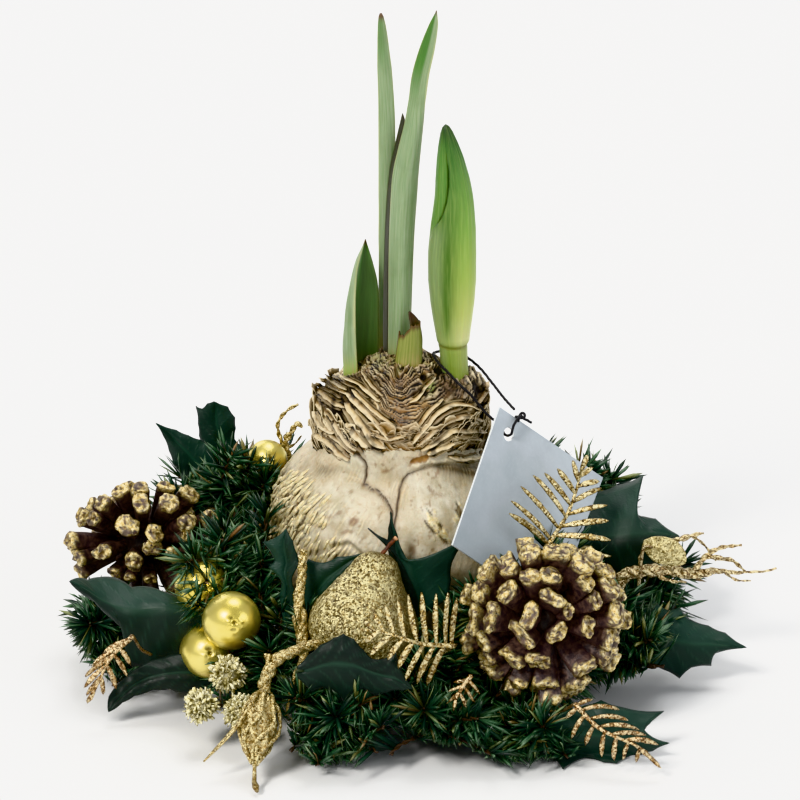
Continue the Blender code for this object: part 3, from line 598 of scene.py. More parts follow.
def wax_ridges(g):
    """Raised gilt wrinkles down the left flank, each a closed sliver set into the wax."""
    rng = np.random.default_rng(31)
    n, m = 260, 8
    t = np.linspace(-0.5, 0.5, m)
    arc0 = rng.uniform(46 * math.radians(-196), 46 * math.radians(-112), 5200)
    z0 = rng.uniform(44, 86, 5200)
    th = arc0 / 46.0
    r0 = base_r(z0)
    x, y = r0 * np.cos(th), r0 * np.sin(th)
    s = COS24 * z0 + SIN24 * y
    keep = step(-x, 29.0, 38.0) * step(s, 36, 42) * (1 - step(s, 62, 67.5))
    keep = np.maximum(keep, 0.75 * step(-x, 20.5, 24) * step(s, 33, 36) * (1 - step(s, 41, 46)))
    keep = np.maximum(keep, 0.5 * step(-x, 26, 30) * step(s, 44, 48) * (1 - step(s, 58, 62)))
    ok = rng.uniform(0, 1, 5200) < keep
    arc0, z0 = arc0[ok], z0[ok]
    taken = []
    for a, zc in zip(arc0, z0):
        q = (a - 0.5 * zc) / 1.12
        w = (0.5 * a + zc) / 1.12
        if all(abs(q - q2) > 1.35 or abs(w - w2) > 4.6 for q2, w2, _, _ in taken):
            taken.append((q, w, a, zc))
        if len(taken) >= n:
            break
    x_of = [float(base_r(np.array(zc)) * math.cos(a / 46.0)) for _, _, a, zc in taken]
    for k, (_, _, a, zc) in enumerate(taken):
        ln = rng.uniform(3.6, 8.0)
        turn = rng.normal(0.0, 0.10)
        dx, dz = 0.447 + turn, 0.894
        arc = a + dx * t * ln + 0.35 * np.sin(3 * t + rng.uniform(0, 6))
        z = zc + dz * t * ln
        th = arc / 46.0
        r, _ = wax_shape(th, z)
        p = np.stack([r * np.cos(th), r * np.sin(th), z], -1)
        out = np.stack([np.cos(th), np.sin(th), th * 0], -1)
        hw = rng.uniform(0.50, 0.74)
        body = (1 - (2 * np.abs(t)) ** 2.4) ** 0.55
        rad = np.maximum(hw * body * (1 + 0.22 * vnoise(p / 1.3 + k, 33)), 0.08)
        path = p + out * (0.15 - 0.30 * (1 - body))[:, None]
        _, sd, fd = frames_along(path, out[m // 2])
        ang = np.arange(8) * TAU / 8
        flare = np.array([1.0, 1.0, 1.28, 1.22, 0.8, 1.22, 1.28, 1.0])
        v = path[:, None] + (rad[:, None] * flare)[..., None] * (np.cos(ang)[None, :, None] * sd[:, None] + np.sin(ang)[None, :, None] * fd[:, None])
        # painted shade: each sliver's sides darken, more towards the far left; the gilt lies on its outward face
        lit = np.array([1.0, 0.95, 0.0, 0.0, 0.0, 0.0, 0.0, 0.95])
        low = np.array([0.0, 0.05, 0.85, 1.0, 1.0, 1.0, 0.85, 0.05]) * (0.45 + 0.55 * float(step(-x_of[k], 26.0, 36.0)))
        gold = (np.clip(body * 1.2, 0, 1) * rng.uniform(0.75, 1.0))[:, None] * lit
        dark = body[:, None] * low
        g.add(np.concatenate([v.reshape(-1, 3), path[:1], path[-1:]]), np.concatenate([fan(0, 8, m * 8, True), fan((m - 1) * 8, 8, m * 8 + 1)]), grid_faces(m, 8, True),
              gold=np.concatenate([gold.reshape(-1), [0, 0]]), olive=np.concatenate([dark.reshape(-1), [0.2, 0.2]]), crack=0.0, brown=0.0, scar=0.0, pale=0.3)


def make_wax():
    n, rows = 372, 138
    th = dense_front(n)
    ring = np.stack([np.cos(th), np.sin(th), th * 0], -1)
    rz = rim_z(th) + 1.1 * vnoise(ring * 5, 5) + 0.7 * vnoise(ring * 14, 6) + 0.35 * vnoise(ring * 40, 7)
    u = np.linspace(0, 1, rows)
    u = u ** 0.92
    z = u[:, None] * rz[None, :]
    tt = np.broadcast_to(th[None, :], z.shape)
    r, at = wax_shape(tt, z)
    foot = step(z, 0.0, 3.0)
    r = base_r(z) * (1 - foot) + r * foot
    lip = step(u, 0.955, 1.0)[:, None]
    r = r * (1 - lip) + np.minimum(r, 31.6 + 0.35 * vnoise(np.stack([np.cos(tt) * 16, np.sin(tt) * 16, z / 3], -1), 8)) * lip
    v = np.stack([r * np.cos(tt), r * np.sin(tt), z], -1).reshape(-1, 3)
    at = {k: a.reshape(-1) for k, a in at.items()}
    g = Geo()
    # inner wall, coarse in height: from the rim back down to the inside of the foot
    ui = np.concatenate([np.linspace(1.0, 0.68, 13), np.linspace(0.62, 0.035, 6)])
    inner_rows = len(ui)
    zi = ui[:, None] * rz[None, :]
    ri, _ = wax_shape(np.broadcast_to(th[None, :], zi.shape), zi)
    ri = np.minimum(ri, base_r(zi) + 0.6) - np.interp(ui, [0.0, 0.93, 0.97, 1.0], [2.4, 2.4, 2.0, 1.5])[:, None]
    ri[-1] = 33.5
    vi = np.stack([ri * np.cos(th)[None], ri * np.sin(th)[None], zi], -1).reshape(-1, 3)
    both = np.concatenate([v, vi, [[0, 0, 0.0]], [[0, 0, 2.6]]])
    total = rows + inner_rows
    f4 = grid_faces(total, n, True)
    f3 = np.concatenate([fan(0, n, total * n, True), fan((total - 1) * n, n, total * n + 1)])
    full = {k: np.concatenate([a, np.zeros(len(vi) + 2)]) for k, a in at.items()}
    g.add(both, f3, f4, **full)
    wax_ridges(g)
    o = g.build("wax_body", wax_material())
    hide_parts("wax_coat")


DRAPE0 = math.radians(-86)


def drape(th, r):
    """How far the tunic's layers are carried up round the neck, steep on the show side's left, gentle on its right."""
    d = wrap(th - DRAPE0)
    a = np.abs(d)
    soft = np.sqrt(a * a + 0.04) - 0.2
    left = 29.0 * np.minimum(soft, 1.35)
    right = 9.5 * np.minimum(soft, 1.5)
    base = np.where(d < 0, left, right)
    back = 20.0
    k = step(a, 1.25, 3.05)
    return (base * (1 - k) + back * k) * np.clip(r / 29.0, 0, 1) ** 1.6


def neck_field(th, v, r):
    """Relief of the papery neck: torn layers hang in draped arcs from both shoulders. v is the run up the surface."""
    px, py = np.cos(th), np.sin(th)
    p = np.stack([px * 31, py * 31, v], -1)
    cen = np.exp(-((px * r - 0.5) / 11.5) ** 2) * step(-py, 0.0, 0.5) * (1 - step(v, 34, 40))
    crown = step(v, 26.5, 31.0)
    warp = 3.4 * vnoise(p / 12.0, 71) + (1.7 + 1.3 * cen) * vnoise(p / 6.0, 72) + (0.30 + 0.45 * cen) * vnoise(p / 2.4, 74)
    along = v - drape(th, r)
    fineness = 0.35 * vnoise(np.stack([px * 10, py * 10, along / 1.3], -1), 73)
    out, dark, edge, tone = 0.0, 0.0, 0.0, 0.0
    for spacing, amp, seed in ((6.2, 2.5, 80), (3.1, 1.35, 90), (1.5, 0.5, 100)):
        ph = (along + warp * (1.0 if spacing > 2 else 1.2)) / spacing + fineness * (0.4 if spacing > 2 else 0.7)
        cell = np.floor(ph)
        f = ph - cell
        gain = 0.12 + 0.98 * step(vnoise(np.stack([px * 5.4, py * 5.4, cell * 3.7], -1), seed), -0.35, 0.3)
        gain = gain * {6.2: 0.62 - 0.40 * cen - 0.2 * crown, 3.1: 0.80 - 0.15 * cen, 1.5: 1.0 + 0.8 * cen + 0.9 * crown}[spacing]
        jag = 0.045 * vnoise(np.stack([px * 30, py * 30, cell * 2.1], -1), seed + 3)
        f = np.clip(f + jag, 0, 1)
        saw = f ** 1.3 * (1 - step(f, 0.84, 1.0))
        out = out + amp * gain * (saw - 0.42)
        # dark is painted shade in the crevice at each torn layer edge; edge is a painted highlight on the band that
        # catches light
        dark = np.maximum(dark, np.clip(1.3 * gain * (amp / 2.5) ** 0.30, 0, 1) * np.maximum(1 - step(f, 0.20 - 0.08 * cen, 0.50 - 0.08 * cen), step(f, 0.94, 1.0)))
        edge = np.maximum(edge, np.clip(1.2 * gain * (amp / 2.5) ** 0.3, 0, 1) * step(f, 0.48, 0.70) * (1 - step(f, 0.88, 0.98)))
        if spacing < 5:
            tone = tone + 0.5 * vnoise(np.stack([px * 5.5, py * 5.5, cell * 1.9], -1), seed + 5)
    out = out + 0.12 * vnoise(np.stack([px * 26, py * 26, along / 0.55], -1), 111)
    return out, dark, edge, along, p, np.clip(0.5 + tone, 0, 1)


def neck_material():
    t = NT("bulb_tunic_paper")
    dark, edge, warm, purple, tone = t.attr("dark"), t.attr("edge"), t.attr("warm"), t.attr("purple"), t.attr("tone")
    fibre = t.noise(900.0, 4.0, 0.6)
    mid = t.noise(240.0, 4.0, 0.6)
    body = t.mix(t.span(mid, 0.35, 0.65), srgb(154, 118, 64), srgb(214, 190, 136))
    body = t.mix(tone, t.mix(0.62, body, srgb(96, 64, 30)), body)
    body = t.mix(t.math("MULTIPLY", warm, 0.90), body, t.mix(t.span(mid, 0.35, 0.65), srgb(102, 66, 22), srgb(160, 114, 48)))
    # painted highlight: the layer edges turn pale cream
    lit = t.math("MULTIPLY", edge, t.span(fibre, 0.2, 0.7, 0.55, 1.0), clamp=True)
    lit = t.math("MULTIPLY", lit, t.math("SUBTRACT", 1.0, t.math("MULTIPLY", warm, 0.55)))
    body = t.mix(lit, body, srgb(247, 234, 198))
    body = t.mix(t.math("MULTIPLY", purple, 0.85, clamp=True), body, t.mix(t.span(fibre, 0.4, 0.6), srgb(66, 38, 32), srgb(150, 120, 94)))
    body = t.mix(t.attr("green"), body, srgb(150, 158, 92))
    # painted shade: the dark mask turns near-black brown in crevices, hollows and flanks
    deep = t.math("MULTIPLY", dark, t.span(t.noise(160.0, 3.0), 0.25, 0.6, 1.0, 1.35), clamp=True)
    col = t.mix(deep, body, srgb(20, 11, 4))
    n1 = t.bump(fibre, 0.35, 0.0005)
    n2 = t.bump(t.noise(420.0, 4.0, 0.7), 0.5, 0.0007, n1)
    return t.set(color=col, rough=t.span(mid, 0.2, 0.8, 0.42, 0.6), spec=0.5, normal=n2)


def make_neck():
    mat = neck_material()
    n = 388
    th = dense_front(n, 0.45)
    prof = smooth_path([(31.0, 0, 78.0), (31.0, 0, 88.0), (31.1, 0, 95.0), (30.8, 0, 100.0), (29.6, 0, 104.5), (26.4, 0, 108.0), (21.0, 0, 111.6), (15.0, 0, 115.4), (10.5, 0, 118.2), (5.5, 0, 119.4), (1.0, 0, 119.6)], 138)
    run = np.concatenate([[0], np.cumsum(np.hypot(np.diff(prof[:, 0]), np.diff(prof[:, 2])))])
    rr = np.broadcast_to(prof[:, 0][:, None], (len(prof), n))
    vv = np.broadcast_to(run[:, None], rr.shape)
    tt = np.broadcast_to(th[None], rr.shape)
    h, dark, edge, along, p, tone = neck_field(tt, vv, rr)
    x = rr * np.cos(tt)
    zz0 = np.broadcast_to(prof[:, 2][:, None], rr.shape)
    s0 = COS24 * zz0 + SIN24 * rr * np.sin(tt)
    front = step(-np.sin(tt), 0.0, 0.5)
    # torn hollows at both shoulders of the show side, painted dark as shade
    rag = 0.35 * vnoise(np.stack([np.cos(tt) * 12, np.sin(tt) * 12, along / 1.6], -1), 121)
    hollow = 0.0
    for cx, cs, a, b, ang in ((22.6, 76.6, 6.2, 3.0, -0.15), (-28.2, 77.5, 2.6, 3.6, 0.5), (-29.8, 86.0, 1.8, 5.0, 0.1), (28.8, 92.0, 2.0, 8.5, 0.15), (-24.0, 84.0, 0.9, 5.0, 0.75),
                             (15.0, 104.0, 3.4, 1.6, 0.1), (24.5, 101.5, 3.0, 1.5, -0.6), (-19.5, 91.5, 0.8, 5.5, 0.8), (8.6, 101.8, 1.4, 1.8, 0.2)):
        ca, sa = math.cos(ang), math.sin(ang)
        uu, qq = (x - cx) * ca + (s0 - cs) * sa, -(x - cx) * sa + (s0 - cs) * ca
        hollow = np.maximum(hollow, 1 - step(np.sqrt((uu / a) ** 2 + (qq / b) ** 2) + rag, 0.7, 1.1))
    hollow = hollow * step(-np.sin(tt), -0.05, 0.15)
    h = h - 1.9 * hollow
    dark = np.maximum(dark, hollow * 0.95)
    # painted shade: the flanks of the show side darken and lose their painted highlight
    flank = step(np.abs(x - 1.0), 9.0, 17.0) * front * step(s0, 72, 76) * (1 - step(s0, 101, 106)) * (1 - 0.6 * step(x, 4.0, 12.0))
    dark = np.maximum(dark, flank * (0.80 + 0.25 * vnoise(np.stack([np.cos(tt) * 9, np.sin(tt) * 9, along / 2.2], -1), 122)))
    edge = edge * (1 - 0.65 * flank)
    edge = edge * (1 - 0.7 * hollow)
    tan = np.gradient(prof, axis=0)
    nr, nz = tan[:, 2], -tan[:, 0]
    ln = np.hypot(nr, nz)
    nr, nz = nr / ln, nz / ln
    pole = step(rr, 0.5, 9.0)
    uneven = 1.5 * fbm(np.stack([np.cos(tt) * 3.1, np.sin(tt) * 3.1, vv / 30], -1), 3, 131) * step(vv, 8, 20) + 0.8 * vnoise(np.stack([np.cos(tt) * 9, np.sin(tt) * 9, vv / 6], -1), 132) * step(vv, 18, 26)
    # the crown is lower at the left shoulder, torn and higher at the right
    left_low = 2.6 * step(-x, 12, 28) * step(vv, 20, 30)
    right_up = 3.2 * step(x, 20, 28) * step(vv, 17, 27) + 1.2 * vnoise(np.stack([x / 2.6, rr * np.sin(tt) / 2.6, vv * 0], -1), 134) * step(x, 15, 22) * step(vv, 20, 27)
    h = h * pole * (0.30 + 0.70 * step(vv, 3, 11))
    r = rr + (h + 0.6 * uneven) * nr[:, None]
    # below the wax rim the tunic stays inside the shell
    rim = rim_z(tt) + 1.3 * vnoise(np.stack([np.cos(tt) * 14, np.sin(tt) * 14, tt * 0], -1), 133)
    inside = 1 - step(zz0, rim - 1.2, rim + 1.0)
    r = r * (1 - inside) + np.minimum(r, 29.9) * inside
    z = zz0 + (h * 0.9 + uneven) * nz[:, None] - left_low + right_up
    v = np.stack([r * np.cos(tt), r * np.sin(tt), z], -1)
    warm = np.exp(-((x - 1.0) / 12.0) ** 2) * front * step(s0, 76, 82) * (1 - 0.5 * step(s0, 99, 106))
    purple = 0.95 * step(x, 10, 17) * front * step(s0, 90, 97) + 0.6 * step(x, 16, 23) * front * (1 - step(s0, 78, 84)) * step(s0, 70, 74)
    purple = np.maximum(purple, 0.5 * (1 - step(rr, 16, 27)) * step(vnoise(p / 5.0, 141), -0.1, 0.3))
    shoot = np.exp(-((x - 10.4) / 1.7) ** 2 - ((s0 - 97.3) / 2.2) ** 2) * front
    h2 = 1.6 * shoot
    v = v + np.stack([np.cos(tt) * h2, np.sin(tt) * h2, 0.4 * h2], -1)
    green = np.clip(shoot * 1.4 + 0.5 * (1 - step(rr, 8, 15)) * step(vnoise(p / 3.0, 142), 0.0, 0.3), 0, 1)
    flat = v.reshape(-1, 3)
    g = Geo()
    top = np.array([[0, 0, 119.6]])
    low = np.array([[0, 0, 78.0]])
    rows = len(prof)
    at = dict(dark=dark, edge=edge, warm=warm, purple=np.clip(purple, 0, 1), green=green, tone=tone)
    at = {k: np.concatenate([a.reshape(-1), [0, 0]]) for k, a in at.items()}
    g.add(np.concatenate([flat, low, top]), np.concatenate([fan(0, n, rows * n, True), fan((rows - 1) * n, n, rows * n + 1)]), grid_faces(rows, n, True), **at)
    neck_flakes(g)
    neck_strips(g)
    o = g.build("bulb_neck", mat)
    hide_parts("bulb")


def neck_surface(th, run):
    """A point of the undisplaced neck and its outward direction, run in mm up from z = 78."""
    z = np.clip(78.0 + run, 78, 105.0)
    r = np.interp(z, [78, 90, 99, 105], [31.0, 31.2, 31.3, 30.2])
    c, s = np.cos(th), np.sin(th)
    return np.stack([r * c, r * s, z], -1), np.stack([c, s, c * 0], -1)


def neck_height(r, x):
    """Height of the crown at a distance from the axis."""
    z = np.interp(r, [0.0, 5.5, 10.5, 15.0, 21.0, 26.4, 29.6, 30.8, 31.1], [119.6, 119.4, 118.2, 115.4, 111.6, 108.0, 104.5, 100.0, 95.0])
    return z + 3.2 * step(x, 20, 28) * step(-z, -108, -96) - 2.6 * step(-x, 12, 28) * step(z, 98, 108)


def on_neck(x, s):
    """Where the line of sight through a front-view place meets the neck."""
    y = np.linspace(-36.0, 24.0, 601)
    z = (s - SIN24 * y) / COS24
    r = np.hypot(x, y)
    inside = (r < 31.3) & (z < neck_height(np.minimum(r, 31.1), np.full(y.shape, x)) + np.where(r > 30.9, 200.0 * (z < 102), 0.0))
    i = int(np.argmax(inside)) if inside.any() else int(np.argmin(np.abs(r - 31.3) + 100 * (y > 0)))
    return vec((x, y[i], z[i]))


STRIPS = [([(265, 430), (350, 480), (455, 545)], 45), ([(330, 425), (400, 480), (450, 520)], 30), ([(225, 500), (290, 540), (350, 590), (440, 640)], 40), ([(250, 590), (300, 700), (350, 790)], 45),
          ([(225, 660), (280, 760), (370, 800)], 35), ([(460, 540), (560, 640), (660, 740), (740, 850)], 40), ([(450, 600), (540, 730), (640, 860), (720, 900)], 55), ([(445, 740), (520, 830), (600, 900)], 60),
          ([(240, 820), (330, 870), (400, 950), (470, 990)], 40), ([(330, 820), (420, 880), (500, 960)], 40), ([(420, 420), (520, 470), (600, 530), (680, 600)], 35), ([(560, 400), (620, 480), (700, 560)], 30),
          ([(900, 870), (1000, 740), (1120, 640), (1250, 610), (1370, 650)], 45), ([(930, 900), (1040, 800), (1150, 720), (1290, 690), (1380, 720)], 45), ([(960, 930), (1080, 850), (1180, 790), (1330, 790), (1400, 800)], 45),
          ([(1000, 950), (1100, 900), (1180, 880)], 40), ([(1150, 970), (1250, 985), (1340, 975), (1380, 940)], 30), ([(1350, 600), (1390, 540), (1420, 460)], 30), ([(880, 600), (940, 560), (1000, 480), (1050, 440)], 35),
          ([(290, 640), (370, 740), (440, 850), (520, 930)], 34), ([(500, 520), (600, 620), (700, 700), (790, 760)], 26), ([(820, 820), (930, 760), (1010, 660), (1100, 580)], 30), ([(1190, 830), (1290, 840), (1390, 860)], 34),
          ([(620, 800), (720, 840), (820, 830), (920, 790)], 22), ([(230, 560), (262, 620), (300, 640)], 26)]


def neck_strips(g):
    """Broad torn bands of tunic that hang in arcs over the layers below, which are painted darker as shade."""
    rng = np.random.default_rng(17)
    for k, (pts, wide) in enumerate(STRIPS):
        for layer in range(3):
            off = (0.0, 0.86, -0.72)[layer] * wide * 0.051 * (1.0 if layer == 0 else rng.uniform(0.8, 1.25))
            cut = (0.0, rng.uniform(0.05, 0.30), rng.uniform(0.05, 0.30))[layer]
            end = (1.0, rng.uniform(0.72, 1.0), rng.uniform(0.72, 1.0))[layer]
            line = smooth_path([(-41.6 + a * 0.05102, 122.4 - b * 0.05102, 0.0) for a, b in pts], 60)
            tan2 = units(np.gradient(line, axis=0))
            line = line + np.stack([tan2[:, 1], -tan2[:, 0], tan2[:, 2] * 0], 1) * off
            m = 20 if layer == 0 else 14
            pick = np.linspace(cut * 59, end * 59, m)
            x = np.interp(pick, np.arange(60), line[:, 0])
            s = np.interp(pick, np.arange(60), line[:, 1])
            jag = 0.28 * vnoise(np.stack([x / 1.6, s / 1.6, x * 0 + k], -1), 160 + layer)
            base = np.array([on_neck(np.clip(a, -29.8, 30.4), b) for a, b in zip(x, s + jag)])
            base = smooth_path(base, m)
            out = units(base * np.array([1.0, 1.0, 0.0]) + np.array([0, 0, 1.0]) * np.clip((base[:, 2:3] - 100) * 1.6, 0, 30))
            tan = units(np.gradient(base, axis=0))
            side = units(np.cross(out, tan))
            side = side * np.where(side[:, 2:3] < 0, 1.0, -1.0)
            t = np.linspace(0, 1, m)
            w = wide * 0.051 * (0.40, 0.22, 0.19)[layer] * (0.20 + 0.80 * np.clip(np.minimum(t, 1 - t) / 0.16, 0, 1) ** 0.6)
            w = w * (1 + 0.38 * vnoise(np.stack([t * 7 + k * 2.7, t * 0 + layer, t * 0], -1), 164))
            q = np.linspace(-1, 1, 6)
            lift = (1.0, 0.65, 0.45)[layer] + rng.uniform(-0.15, 0.35)
            curl = rng.uniform(0.5, 1.3)
            mid = base[:, None] + side[:, None] * (w[:, None] * q)[..., None] + out[:, None] * (lift + curl * np.clip(q, 0, 1) ** 2 - 0.5 * np.clip(-q, 0, 1) ** 1.5)[None, :, None]
            mid = mid + out[:, None] * (0.22 * vnoise(np.stack([mid[..., 0] / 0.9, mid[..., 1] / 0.9, mid[..., 2] / 0.9], -1), 166))[..., None]
            fx = np.abs(float(np.mean(x)) - 1.0)
            warm = max(0.0, 1 - fx / 15.0) * 0.7
            # painted shade on the lower copies and each band's downward side, with random dark patches; edge is a
            # painted highlight on the upper side
            sheet(g, mid, (0.26 + 0.22 * (1 - q ** 2))[None] * np.ones((m, 1)),
                  edge=np.clip(0.25 + 0.75 * np.clip(q, -0.6, 1) + 0.5 * vnoise(mid / 1.5, 168), 0, 1) * (1.0, 0.50, 0.34)[layer] * rng.uniform(0.7, 1.0),
                  dark=np.clip((0.0, 0.34, 0.52)[layer] + 0.95 * np.clip(-q - 0.15, 0, 1)[None] + 0.55 * step(vnoise(np.stack([mid[..., 0] / 2.4, mid[..., 1] / 2.4, mid[..., 2] / 2.4], -1), 170), 0.30, 0.6), 0, 1),
                  warm=warm, tone=float(rng.uniform(0.0, 1.0)), purple=0.55 if (np.mean(x) > 16 and np.mean(s) > 91) else 0.0, green=0.0)


def neck_flakes(g):
    """Curled, torn edges of tunic that stand off the neck."""
    rng = np.random.default_rng(7)
    for k in range(128):
        if k < 26:
            th0 = rng.choice([math.radians(-150), math.radians(-30), math.radians(-172), math.radians(-8)]) + rng.normal(0, 0.22)
        elif k < 56:
            th0 = rng.uniform(math.radians(-155), math.radians(-25))
        else:
            th0 = rng.uniform(-np.pi, np.pi)
        sill = float(rim_z(np.array(th0))) - 78.0
        run0 = rng.uniform(min(sill + 0.5, 18.0), 24.5)
        length = rng.uniform(5, 16)
        width = rng.uniform(1.3, 3.6)
        e = 0.02
        slope = float((drape(np.array(th0 + e), 31.0) - drape(np.array(th0 - e), 31.0)) / (2 * e * 31.0))
        m, w = 11, 4
        t = np.linspace(-0.5, 0.5, m)
        dth = t * length / math.hypot(1, slope) / 31.0
        run = run0 + t * length / math.hypot(1, slope) * slope + 0.7 * np.sin(t * 5 + rng.uniform(0, 6))
        run = np.minimum(np.maximum(run, rim_z(th0 + dth) - 78.0 - 0.6), 26.0)
        base, out = neck_surface(th0 + dth, run)
        curl = rng.uniform(0.5, 2.1)
        tang = units(np.gradient(base, axis=0))
        across = units(np.cross(out, tang))
        across = across * np.sign(across[:, 2:3] + 1e-9)
        cs = np.linspace(0, 1, w)
        taper = (1 - (2 * np.abs(t)) ** 3) ** 0.6
        rag = 1 + 0.5 * vnoise(np.stack([t * 11 + k, t * 0, t * 0], -1), 150)
        pts = []
        for c in cs:
            off = 0.2 + curl * c ** 1.7 * taper
            pts.append(base + across * (c * width * taper * rag)[:, None] + out * off[:, None])
        pts = np.stack(pts, 1)
        inner = pts - out[:, None] * 0.28
        a = pts.reshape(-1, 3)
        b = inner.reshape(-1, 3)
        f_top = grid_faces(m, w)
        f_low = grid_faces(m, w, flip=True) + len(a)
        rim = [(i * w, (i + 1) * w) for i in range(m - 1)] + [((m - 1) * w + j, (m - 1) * w + j + 1) for j in range(w - 1)]
        rim += [((i + 1) * w + w - 1, i * w + w - 1) for i in range(m - 1)] + [(j + 1, j) for j in range(w - 1)]
        f_rim = np.array([(p0, p1, p1 + len(a), p0 + len(a)) for p0, p1 in rim])
        cc = np.tile(cs, m)
        x, s0 = a[:, 0], COS24 * a[:, 2] + SIN24 * a[:, 1]
        front = step(-a[:, 1], 0, 15)
        # edge is a painted highlight on the curled-up side; dark is painted shade at the foot and on the underside
        g.add(np.concatenate([a, b]), f4=np.concatenate([f_top, f_low, f_rim]),
              edge=np.concatenate([step(cc, 0.35, 0.9), step(cc, 0.5, 0.95) * 0.5]),
              dark=np.concatenate([0.45 * (1 - step(cc, 0.0, 0.4)), np.full(len(b), 0.7) * (1 - 0.5 * cc)]),
              warm=np.tile(np.exp(-((x - 1.0) / 12.0) ** 2) * front * 0.8, 2), tone=float(rng.uniform(0, 1)),
              purple=np.tile(0.8 * step(x, 12, 18) * step(s0, 90, 97) * front, 2), green=0.0)



# ================================================================ thin sheets, leaves and bud
def sheet(g, mid, thick, **attrs):
    """Closed thin sheet about a grid of points (rows, cols, 3); thick is a number or a (rows, cols) array.
    attrs hold (rows, cols) arrays; 'face' is 1 on the side the grid's own normal points to."""
    m, n = mid.shape[:2]
    du = np.gradient(mid, axis=0)
    dv = np.gradient(mid, axis=1)
    nn = units(np.cross(du, dv))
    tk = np.broadcast_to(np.asarray(thick, float), (m, n))[..., None] * 0.5
    a = (mid + nn * tk).reshape(-1, 3)
    b = (mid - nn * tk).reshape(-1, 3)
    k = m * n
    top = grid_faces(m, n, flip=True)
    low = grid_faces(m, n) + k
    rim = [(i * n, (i + 1) * n) for i in range(m - 1)] + [((m - 1) * n + j, (m - 1) * n + j + 1) for j in range(n - 1)]
    rim += [((i + 1) * n + n - 1, i * n + n - 1) for i in range(m - 1)] + [(j + 1, j) for j in range(n - 1)]
    rim = np.array([(p + k, q + k, q, p) for p, q in rim])[:, ::-1]
    out = {}
    for key, x in attrs.items():
        x = np.broadcast_to(np.asarray(x, float), (m, n)).reshape(-1)
        out[key] = np.concatenate([x, x])
    out["face"] = np.concatenate([np.ones(k), np.zeros(k)])
    g.add(np.concatenate([a, b]), f4=np.concatenate([top, low, rim[:, ::-1]]), **out)


def rows_of(curves, count):
    """Curves is a list of polylines with equal point counts; each is smoothed to count points."""
    return np.stack([smooth_path(c, count) for c in curves], axis=1)


def across(mid, cols):
    """Smooth resampling of a (rows, k, 3) grid to (rows, cols, 3)."""
    return np.stack([smooth_path(list(r), cols) for r in mid])


def front_point(x, s, y):
    """World point seen at front-view position (x, s) with the given depth y."""
    return (x, y, (s - SIN24 * y) / COS24)


def leaf_material(name, outer, outer2, inner, base, tip):
    t = NT(name)
    u, along, face, edge = t.attr("u"), t.attr("along"), t.attr("face"), t.attr("edge")
    cv = t.node("ShaderNodeCombineXYZ")
    t.link(u, cv.inputs[0])
    t.put(cv.inputs[1], t.math("MULTIPLY", along, 0.035))
    t.put(cv.inputs[2], t.math("MULTIPLY", face, 3.0))
    veins = t.noise(1.5, 3.0, 0.6, 0.0, cv.outputs[0])
    cells = t.noise(700.0, 3.0)
    blot = t.noise(55.0, 4.0, 0.55, 0.4)
    col = t.mix(t.span(veins, 0.34, 0.66), outer, outer2)
    inn = t.mix(t.span(veins, 0.34, 0.66), inner, tuple(c * 1.5 + 0.01 for c in inner))
    col = t.mix(t.attr("inner"), col, inn)
    col = t.mix(t.math("MULTIPLY", t.span(blot, 0.5, 0.72), 0.35), col, tuple(c * 0.72 for c in outer))
    col = t.mix(t.math("MULTIPLY", edge, t.span(blot, 0.3, 0.6, 0.3, 0.8), clamp=True), col, srgb(188, 190, 138))
    col = t.mix(t.attr("base"), col, t.mix(t.span(veins, 0.42, 0.6), base, srgb(176, 150, 104)))
    col = t.mix(t.attr("tip"), col, tip)
    col = t.mix(t.math("MULTIPLY", t.attr("shade"), 0.93, clamp=True), col, srgb(34, 24, 14))
    n1 = t.bump(veins, 0.35, 0.0004)
    n2 = t.bump(cells, 0.14, 0.0002, n1)
    return t.set(color=col, rough=t.span(blot, 0.3, 0.7, 0.36, 0.5), spec=0.45, sss=0.05, sss_scale=0.002, normal=n2)


def blade_rows(left, right, keel, count, cols):
    """Mid surface through a left margin, a keel line and a right margin."""
    l, k, r = smooth_path(left, count), smooth_path(keel, count), smooth_path(right, count)
    lk, kr = (l + k) / 2, (k + r) / 2
    bulge = units(k - (l + r) / 2) * np.minimum(np.linalg.norm(k - (l + r) / 2, axis=1, keepdims=True), 3.0) * 0.18
    return across(np.stack([l, lk + bulge, k, kr + bulge, r], axis=1), cols)


def plain_blade(path, half, side, fold, cols, lean=None, sharp=1.3, wave=0.0, seed=0):
    t, s, f = frames_along(path, side)
    q = np.linspace(-1, 1, cols)
    if lean is not None:
        c, sn = np.cos(lean)[:, None], np.sin(lean)[:, None]
        s, f = c * s + sn * f, -sn * s + c * f
    w = np.asarray(half)[:, None, None]
    lift = fold * w * np.abs(q[None, :, None]) ** sharp
    mid = path[:, None] + s[:, None] * w * q[None, :, None] + f[:, None] * lift
    if wave:
        ph = vnoise(np.stack([np.arange(len(path)) / 7.0, np.arange(len(path)) * 0.0 + seed, np.arange(len(path)) * 0.0], -1), seed)
        mid = mid + f[:, None] * (ph[:, None, None] * wave * (q[None, :, None] ** 2))
    return mid


def at_rows(count, pairs):
    a = np.linspace(0, 1, count)
    p = np.array(pairs, float)
    return np.interp(a, p[:, 0], p[:, 1])


